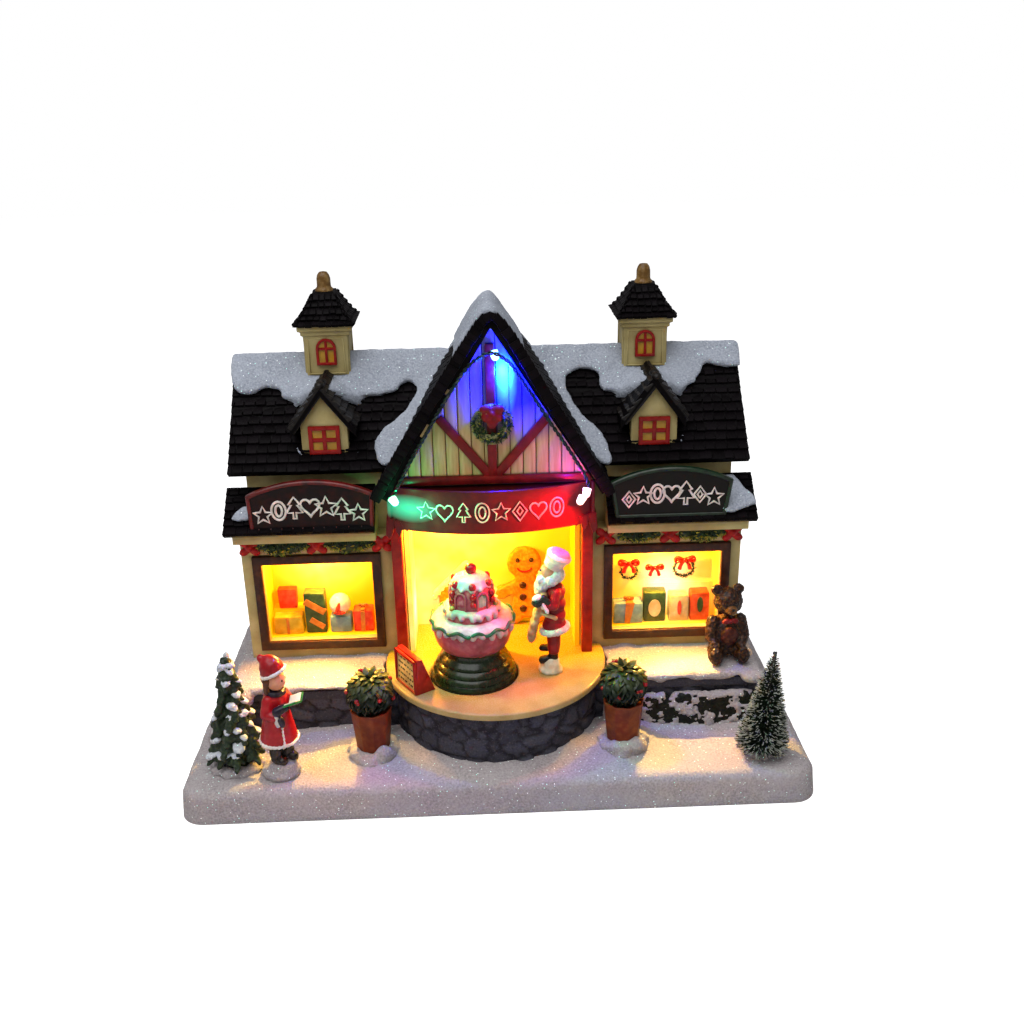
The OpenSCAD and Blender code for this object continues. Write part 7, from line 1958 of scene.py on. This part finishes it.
# Bear. A seated cast-resin teddy with a curly coat, painted dark and dry-brushed with gold,
# with a red bow and a worn reddish tummy.
BEAR_FOOT = Vector((96.2, -23.6, 36.3))
bear_fur, tree, place = material("bear_fur_paint")
grain = add(tree, "TexNoise", {"Vector": place, "Scale": 0.8, "Detail": 4.0})
curls = add(tree, "TexVoronoi", {"Vector": place, "Scale": 0.95}, feature="SMOOTH_F1")
# Painted shade: an occlusion test darkens the hollows between the curls almost to black.
hollow = add(tree, "AmbientOcclusion", {"Distance": 1.6 * MM}, samples=6)
tone = mixed(tree, stretched(tree, curls.outputs["Distance"], 0.15, 0.6), "#3c1c0a", "#150904")
tone = mixed(tree, stretched(tree, grain, 0.55, 0.75, 0.0, 0.6), tone, "#8a5a20")
tone = mixed(tree, stretched(tree, hollow.outputs["AO"], 0.85, 0.4, 0.0, 0.85), tone, "#170a05")
surface_of(tree, tone, 0.42, curls.outputs["Distance"], 0.7, {"coat_weight": 0.25, "coat_roughness": 0.3})
fur, muzzle, belly, tie, dots = (bmesh.new() for _ in range(5))
ball(fur, (0, 0.4, 11), (7.0, 6.2, 9.6))
ball(fur, (0.2, -0.6, 27.0), (6.1, 5.6, 5.8))
for sx in (-1, 1):
    ball(fur, (sx * 4.5, 0.2, 31.9), (2.5, 1.6, 2.4))
    limb(fur, (sx * 5.8, -0.6, 18.2), (sx * 7.0, -2.4, 11.4), 2.6, 2.4)
    limb(fur, (sx * 6.9, -2.4, 11.4), (sx * 5.4, -5.2, 9.0), 2.3, 2.1)
    limb(fur, (sx * 4.2, -1.2, 5.2), (sx * 5.6, -6.4, 4.6), 3.4, 3.0)
    ball(fur, (sx * 5.7, -7.6, 5.0), (2.9, 1.9, 4.0))
    ball(dots, (sx * 2.1, -5.9, 28.2), 0.5)
    ball(tie, (sx * 1.8, -5.9, 20.3), (1.9, 1.0, 1.3), Matrix.Rotation(sx * 0.25, 4, "Y"))
ball(muzzle, (0.2, -5.6, 25.3), (2.6, 2.2, 2.2))
ball(dots, (0.2, -7.8, 26.2), (0.9, 0.6, 0.65))
ball(belly, (0.3, -4.6, 12.6), (4.0, 1.9, 4.3))
ball(tie, (0, -6.3, 20.2), (0.9, 0.9, 0.9))
fur = melted(fur, 0.42, 0.0, 1, 2)
for vert in fur.verts:
    vert.co.y = max(vert.co.y, -11.4)
for vert in fur.verts:
    cell = noise.voronoi(vert.co / 1.25)[0]
    vert.co += vert.normal * (0.42 - 0.6 * cell[0])
muzzle_tan = paint("bear_muzzle", "#6b431e", 0.45, "#9a6a31", 1.0, 0.3)
tummy_red = paint("bear_tummy", "#43170f", 0.45, "#5e2a1a", 1.2, 0.3)
tie_red = paint("bear_tie_red", "#6e0d12", 0.36, "#86171a", 1.4, coat=0.2)
figure = [(fur, bear_fur), (melted(muzzle, 0.35, 0.2, 1), muzzle_tan),
          (melted(belly, 0.4, 0.25, 1.2), tummy_red), (melted(tie, 0.35, 0.15, 1), tie_red), (dots, boot_black)]
piece("bear_curly", set_down(figure, BEAR_FOOT, 4), ["bear"])

# Potted bushes. Faceted terracotta pots sunk in the snow, each with a ball of cast holly leaves
# with a painted highlight of lighter green on its upward-facing top, and small groups of red berries.
POT_PLACES = ((-50.1, -51.2), (50.1, -51.2))
POT_FOOT = 13.6
POT = ((0, 0), (6.2, 0), (6.4, 0.8), (8.2, 20.8), (8.4, 21.6), (7.8, 21.8), (7.2, 20.0), (0, 19.6))
BUSH_LEAVES = 190
GOLDEN = math.radians(137.5)
clay = paint("terracotta_paint", "#6e2a12", 0.5, "#86401f", 2.4, 0.2, coat=0.05)
bush_green, tree, place = material("bush_leaf_paint")
height = add(tree, "SeparateXYZ", {0: place}).outputs[2]
grain = add(tree, "TexNoise", {"Vector": place, "Scale": 0.7, "Detail": 3.0})
facing = add(tree, "SeparateXYZ", {0: add(tree, "NewGeometry").outputs["Normal"]}).outputs[2]
tone = mixed(tree, stretched(tree, grain, 0.3, 0.7), "#060f08", "#122014")
# Painted highlight: high, upward-facing leaves are mixed toward a lighter olive green.
lit = add(tree, "Math", {0: stretched(tree, height, 38, 50), 1: stretched(tree, facing, 0.1, 0.9)},
          operation="MULTIPLY")
tone = mixed(tree, stretched(tree, lit, 0.1, 0.9, 0.0, 0.38), tone, "#5c6826")
surface_of(tree, tone, 0.4, grain, 0.15, {"coat_weight": 0.2, "coat_roughness": 0.3})
for (x, y), (_, name) in zip(POT_PLACES, SIDES):
    foot = Vector((x, y, POT_FOOT))
    pot = turned(bmesh.new(), POT, foot, 9)
    softened(pot, pot.verts[:], 0.3)
    greens, berries, drift = bmesh.new(), bmesh.new(), bmesh.new()
    middle = foot + Vector((0, 0, 28.6))
    ball(greens, middle, (7.8, 7.8, 7.6), fine=3)
    for k in range(BUSH_LEAVES):
        up = 1 - 1.9 * (k + 0.5) / BUSH_LEAVES
        flat = math.sqrt(1 - up * up)
        way = Vector((flat * math.cos(k * GOLDEN), flat * math.sin(k * GOLDEN), up))
        down = Vector((0, 0, -1)) - way * way.dot(Vector((0, 0, -1)))
        swing = way.cross(down) * random.uniform(-0.9, 0.9)
        lie = (down + swing + way * random.uniform(0.15, 0.6)).normalized().to_track_quat("Z", "X")
        turn = lie.to_matrix().to_4x4() @ Matrix.Rotation(math.pi / 2, 4, "Z")
        ball(greens, middle + way * random.uniform(7.7, 8.7), (1.4, 0.7, 2.7), turn, fine=1)
    for k in range(7):
        a, up = math.radians(-160 + 48 * k + random.uniform(-12, 12)), random.uniform(-0.25, 0.35)
        if k == 6:
            up = 0.85
        flat = math.sqrt(1 - up * up)
        way = Vector((flat * math.cos(a), flat * math.sin(a), up))
        for _ in range(3):
            ball(berries, middle + way * 8.6 + Vector([random.uniform(-0.8, 0.8) for _ in range(3)]), 0.95)
    for a in circle(12):
        spot = foot + Vector((7.6 * math.cos(a), 7.4 * math.sin(a), 1.2 + random.uniform(0, 2.2)))
        ball(drift, spot, (3.4, 3.2, 3.2))
    ball(drift, foot + Vector((4.5, -6.0, 3.2)), (4.2, 3.2, 4.2))
    ball(drift, foot + Vector((-1, -7.5, 0.6)), (5.0, 3.6, 2.6))
    piece("bush_pot_" + name, [(roughened(pot, 0.12, 3), clay), (greens, bush_green), (berries, berry_red),
                               (melted(drift, 0.6, 0.35, 2.2), snow)], ["potted_bush_" + name])

# Snowy tree. A cast-resin fir with drooping branches, painted dark green, with lumps of white
# texture paint along the boughs.
TREE_FOOT = Vector((-103.75, -55.1, 13.6))
TREE_HIGH = 51.4
fir_green = paint("fir_green", "#1c2a1d", 0.45, "#37462c", 1.3, 0.3)
tree_snow = make_snow("tree_snow", "#cfd3d8", "#9a9fa8")
boughs, lumps = bmesh.new(), bmesh.new()
tube(boughs, [TREE_FOOT, TREE_FOOT + Vector((0.6, 0.4, TREE_HIGH - 4))], (4.6, 0.9), 10)
for tier in range(8):
    t = tier / 8
    reach, low = 10.6 * (1 - t) ** 0.85 + 1.2, 5.5 + (TREE_HIGH - 10) * t
    count = max(4, 9 - tier)
    for k in range(count):
        a = math.tau * (k + 0.5 * (tier % 2)) / count + random.uniform(-0.16, 0.16)
        far = reach * random.uniform(0.84, 1.04)
        way = Vector((math.cos(a), math.sin(a), 0))
        root = TREE_FOOT + Vector((0, 0, low + 5.4)) + way * 0.8
        mid = TREE_FOOT + Vector((0, 0, low + 3.0)) + way * far * 0.6
        tip = TREE_FOOT + Vector((0, 0, low - random.uniform(0.2, 1.8))) + way * far
        limb(boughs, root, mid, 2.2 * (1 - t * 0.4), 2.4 * (1 - t * 0.45))
        limb(boughs, mid, tip, 2.3 * (1 - t * 0.45), 1.0)
        for sx in (-1, 1):
            side_way = Vector((-way.y, way.x, 0)) * sx
            twig = mid + (way * 0.5 + side_way * 0.7) * far * 0.32 - Vector((0, 0, 2.4))
            limb(boughs, mid, twig, 1.7 * (1 - t * 0.4), 0.7)
        if random.random() < 0.72:
            wide = random.uniform(0.9, 1.35) * (1 - t * 0.35)
            lie = Matrix.Rotation(a, 4, "Z") @ Matrix.Rotation(0.5, 4, "Y")
            spot = mid.lerp(tip, random.uniform(0.1, 0.75)) + Vector((0, 0, 1.9 * (1 - t * 0.4)))
            ball(lumps, spot, (wide * 2.6, wide * 2.0, wide), lie)
            if random.random() < 0.4:
                spot = mid + (way * 0.5 + Vector((-way.y, way.x, 0)) * random.choice((-0.6, 0.6))) * far * 0.28
                ball(lumps, spot + Vector((0, 0, 0.9)), (2.0, 1.8, 1.2))
ball(lumps, TREE_FOOT + Vector((0.6, 0.2, TREE_HIGH - 2.6)), (1.3, 1.2, 1.9))
shoot = ((0.4, 0.2, TREE_HIGH - 12), (0.6, 0.4, TREE_HIGH - 0.8))
tube(boughs, [TREE_FOOT + Vector(spot) for spot in shoot], (2.6, 0.6))
foot_drift = bmesh.new()
for a in circle(10):
    ball(foot_drift, TREE_FOOT + Vector((8.2 * math.cos(a), 7.6 * math.sin(a), 0.4)), (3.6, 3.2, 2.6))
piece("snowy_tree_boughs", [
    (melted(boughs, 0.55, 0.55, 1.3, 1), fir_green), (melted(lumps, 0.45, 0.3, 1.4), tree_snow),
    (melted(foot_drift, 0.7, 0.4, 2.2), snow)], ["snowy_tree"])

# Bottle-brush tree. Stiff bristles twisted into a wire, clipped to a cone and dipped so that
# their tips are frosted white. Its wire stands in a lump of snow.
BRUSH_FOOT = Vector((104, -60.4, 13.6))
BRUSH_HIGH = 47
BRUSH_WIDE = 10.6
BRISTLES = 2300
BRISTLE = 0.17
BRUSH_LEAN = 3.0
CORE_WIRE = 0.45
bristle_green = paint("bristle_green", "#101c12", 0.5, "#26361f", 1.2, 0.0)
frost = paint("bristle_frost", "#a9b0a4", 0.6, "#d6d9d0", 1.2, 0.0)
needles, tips, core, clump = (bmesh.new() for _ in range(4))


def needle(bm, start, end, r0, r1):
    """A thin three-sided bristle from one place to another."""
    along = (end - start).normalized()
    side_way = along.orthogonal().normalized()
    other = along.cross(side_way)
    offs = [side_way * math.cos(a) + other * math.sin(a) for a in (0, math.tau / 3, -math.tau / 3)]
    rings = [[bm.verts.new(spot + off * r) for off in offs] for spot, r in ((start, r0), (end, r1))]
    for k in range(3):
        bm.faces.new((rings[0][k], rings[0][(k + 1) % 3], rings[1][(k + 1) % 3], rings[1][k]))
    bm.faces.new(rings[1])


for k in range(BRISTLES):
    t = (k + 0.5) / BRISTLES
    t = 1 - math.sqrt(1 - t * 0.995)
    z = 3.0 + (BRUSH_HIGH - 4.0) * t
    far = BRUSH_WIDE * min(1.0, 0.9 + t * 1.4) * (1 - t) ** 0.9 + 1.3
    a = k * GOLDEN + random.uniform(-0.2, 0.2)
    lift = random.uniform(-0.12, 0.45) + 0.55 * t
    far *= random.uniform(0.86, 1.0)
    way = Vector((math.cos(a), math.sin(a), lift)).normalized()
    start = BRUSH_FOOT + Vector((BRUSH_LEAN * z / BRUSH_HIGH, 0, z - far * lift * 0.45))
    white_from = random.uniform(0.72, 0.95)
    middle, end = start + way * far * white_from, start + way * far
    if end.z > BRUSH_FOOT.z + BRUSH_HIGH:
        continue
    needle(needles, start, middle, BRISTLE, BRISTLE * 0.9)
    if random.random() < 0.6:
        needle(tips, middle, end, BRISTLE * random.uniform(0.9, 1.6), BRISTLE * 0.7)
    else:
        needle(needles, middle, end, BRISTLE * 0.9, BRISTLE * 0.6)
for phase in (0, math.pi):
    strand = []
    for z in (0.5 * j for j in range(2 * (BRUSH_HIGH - 1))):
        twist = Vector((math.cos(phase + z * 1.6), math.sin(phase + z * 1.6), 0)) * CORE_WIRE
        strand.append(BRUSH_FOOT + Vector((BRUSH_LEAN * z / BRUSH_HIGH, 0, z)) + twist)
    tube(core, strand, CORE_WIRE, 6)
for a in circle(9):
    ball(clump, BRUSH_FOOT + Vector((3.4 * math.cos(a), 3.2 * math.sin(a), 0.6)), (2.8, 2.6, 2.4))
ball(clump, BRUSH_FOOT + Vector((0, 0, 1.4)), (3.6, 3.4, 2.6))
piece("brush_bristles", [(needles, bristle_green), (tips, frost)], ["bottle_brush_tree"])
wire_grey = paint("brush_wire_grey", "#3a3c3a", 0.4, "#5a5d5a", 2.0, 0.0)
piece("brush_wire", [(core, wire_grey), (melted(clump, 0.6, 0.35, 2), snow)])

# Hedge. A low relief of dark leaves in front of the terrace's right half, with snow caught in
# it. The snow stands a little proud of the leaves and meets them at ragged edges.
HEDGE_LOW = Vector((55.6, -40.1, 14.5))
HEDGE_HIGH = Vector((107.4, -34.9, 32.4))
HEDGE_FACE = -36.6
bm = bmesh.new()
x = HEDGE_LOW.x + 2
while x < HEDGE_HIGH.x - 1:
    z = HEDGE_LOW.z
    top = HEDGE_HIGH.z - 6.2 + 1.6 * noise.noise(Vector((x / 5, 3, 0))) - max(0, 64 - x) * 0.35
    while z < top:
        spot = (x + random.uniform(-0.8, 0.8), HEDGE_FACE - (top - z) * 0.13 + random.uniform(-0.4, 0.4), z)
        ball(bm, spot, (2.4, random.uniform(1.7, 2.6), 2.2))
        z += 2.3
    x += 2.4
hedge = melted(bm, 0.55, 0.5, 1.2, 2)
hedge.normal_update()
patches = hedge.copy()
bare = []
for face in patches.faces:
    spot = face.calc_center_median()
    wild = noise.noise(spot / 4.2) + 0.55 * noise.noise(spot / 1.7)
    wild += 0.5 * face.normal.z - 0.1 * (spot.z - 24) / 8
    if wild <= -0.02 and spot.z >= 15.6 + 2.2 * noise.noise(spot / 3):
        bare.append(face)
bmesh.ops.delete(patches, geom=bare, context="FACES")
patches.normal_update()
for vert in patches.verts:
    vert.co += vert.normal * (-0.25 if vert.is_boundary else 0.6)
inside = [vert for vert in patches.verts if not vert.is_boundary]
for _ in range(2):
    bmesh.ops.smooth_vert(patches, verts=inside, factor=0.5, use_axis_x=True, use_axis_y=True, use_axis_z=True)
hedge_dark = paint("hedge_leaf", "#0a0e0a", 0.42, "#1a2416", 1.1, 0.35, coat=0.05)
piece("hedge_leaves", [(hedge, hedge_dark), (patches, snow)], ["hedge"])

# Menu board. A small cast wedge stands on the floor before the cake: red, with a cream panel
# that has a red edge. Its painted marks are plain dots and dashes, with no words.
BOARD_FOOT = Vector((-36.2, -43.3, ROOM_FLOOR))
BOARD_TURN = -57.7
BOARD_HALF = 8.0
BOARD_HIGH = 15.4
BOARD_LEAN = 0.06
board_red = paint("board_red", "#a01510", 0.35, "#b9241a", 2.2, coat=0.3)
board_cream = paint("board_cream", "#d9b96a", 0.45, "#e6cb84", 2.4)
wedge, panel, marks, greens = (bmesh.new() for _ in range(4))
worn_plate(wedge, [(0, 0), (0.9, BOARD_HIGH), (3.3, BOARD_HIGH), (8.8, 0)], -BOARD_HALF, BOARD_HALF, "X", 0.3)
edge_top = BOARD_HIGH - 0.3
for x0, z0, x1, z1 in (
        (-BOARD_HALF, 0.4, BOARD_HALF, 1.5), (-BOARD_HALF, BOARD_HIGH - 1.4, BOARD_HALF, edge_top),
        (-BOARD_HALF, 0.4, -BOARD_HALF + 1.0, edge_top), (BOARD_HALF - 1.0, 0.4, BOARD_HALF, edge_top)):
    worn_block(wedge, (x0, -0.55, z0), (x1, 0.5, z1), 0.2)
worn_block(panel, (-BOARD_HALF + 0.7, -0.2, 1.2), (BOARD_HALF - 0.7, 0.6, BOARD_HIGH - 1.0), 0.1)
for row in range(5):
    x = -BOARD_HALF + 2.0
    while x < BOARD_HALF - 2.4:
        long = random.choice((0.5, 0.5, 1.0, 1.6))
        z = BOARD_HIGH - 3.4 - row * 2.3
        block(marks if random.random() < 0.75 else greens, (x, -0.42, z), (x + long, 0, z + 0.6))
        x += long + random.choice((0.5, 0.9, 1.6))
turn = Matrix.Translation(BOARD_FOOT) @ Matrix.Rotation(math.radians(BOARD_TURN), 4, "Z")
for part in (wedge, panel, marks, greens):
    for vert in part.verts:
        if part is not wedge or 0.5 < abs(vert.co.y) and vert.co.y < 0.6:
            vert.co.y += vert.co.z * BOARD_LEAN
    bmesh.ops.transform(part, matrix=turn, verts=part.verts)
piece("menu_board_wedge", [(wedge, board_red), (panel, board_cream), (marks, chocolate), (greens, leaf_green)],
      ["menu_board"])

# Works and fittings under the shops. The base is closed by a moulded cover with a battery door,
# self-tapping screws and a slide switch; a small motor turns the cake's table through gears.
cover_black = paint("cover_plastic_black", "#1c1d20", 0.5, "#26272b", 3.5, 0.1, coat=0.05)
screw_zinc = paint("screw_zinc", "#8d8f92", 0.3, "#a8aaad", 1.0, 0.05, coat=0.0)
spring_nickel = paint("nickel_spring", "#b5b1a6", 0.25, "#cfccc2", 1.0, 0.05, coat=0.0)
switch_black = paint("switch_case_black", "#151517", 0.45, "#202124", 1.5, 0.05)
knob_white = paint("switch_knob_white", "#d8d6cf", 0.4, "#e6e4de", 2.0, 0.05)
board_green = paint("circuit_green", "#1f5a34", 0.35, "#2b6d41", 1.8, 0.05, coat=0.4)
nylon = paint("gear_nylon_white", "#dedbd0", 0.45, "#ebe8de", 2.2, 0.05)
motor_case = paint("motor_case_steel", "#84868a", 0.3, "#9b9da1", 2.2, 0.05, coat=0.0)
for metal in (screw_zinc, spring_nickel, motor_case):
    for node in metal.node_tree.nodes:
        if node.type == "BSDF_PRINCIPLED":
            node.inputs["Metallic"].default_value = 1.0
dress(cover_black, "bottom_cover", "battery_door")
dress(screw_zinc, "cover_screws")
dress(spring_nickel, "battery_contacts")
dress(switch_black, "slide_switch")
dress(knob_white, "switch_knob")
dress(board_green, "circuit_board")
dress(nylon, "motor_pinion")
dress(motor_case, "gear_motor")
# The turntable gear shows through the hole round the stand's foot; it is painted near black as a painted shadow
# in that gap.
gear_shadow_black = paint("table_gear_painted_shadow", "#14110e", 0.45, "#211c17", 2.4, 0.05)
dress(gear_shadow_black, "turntable_gear")
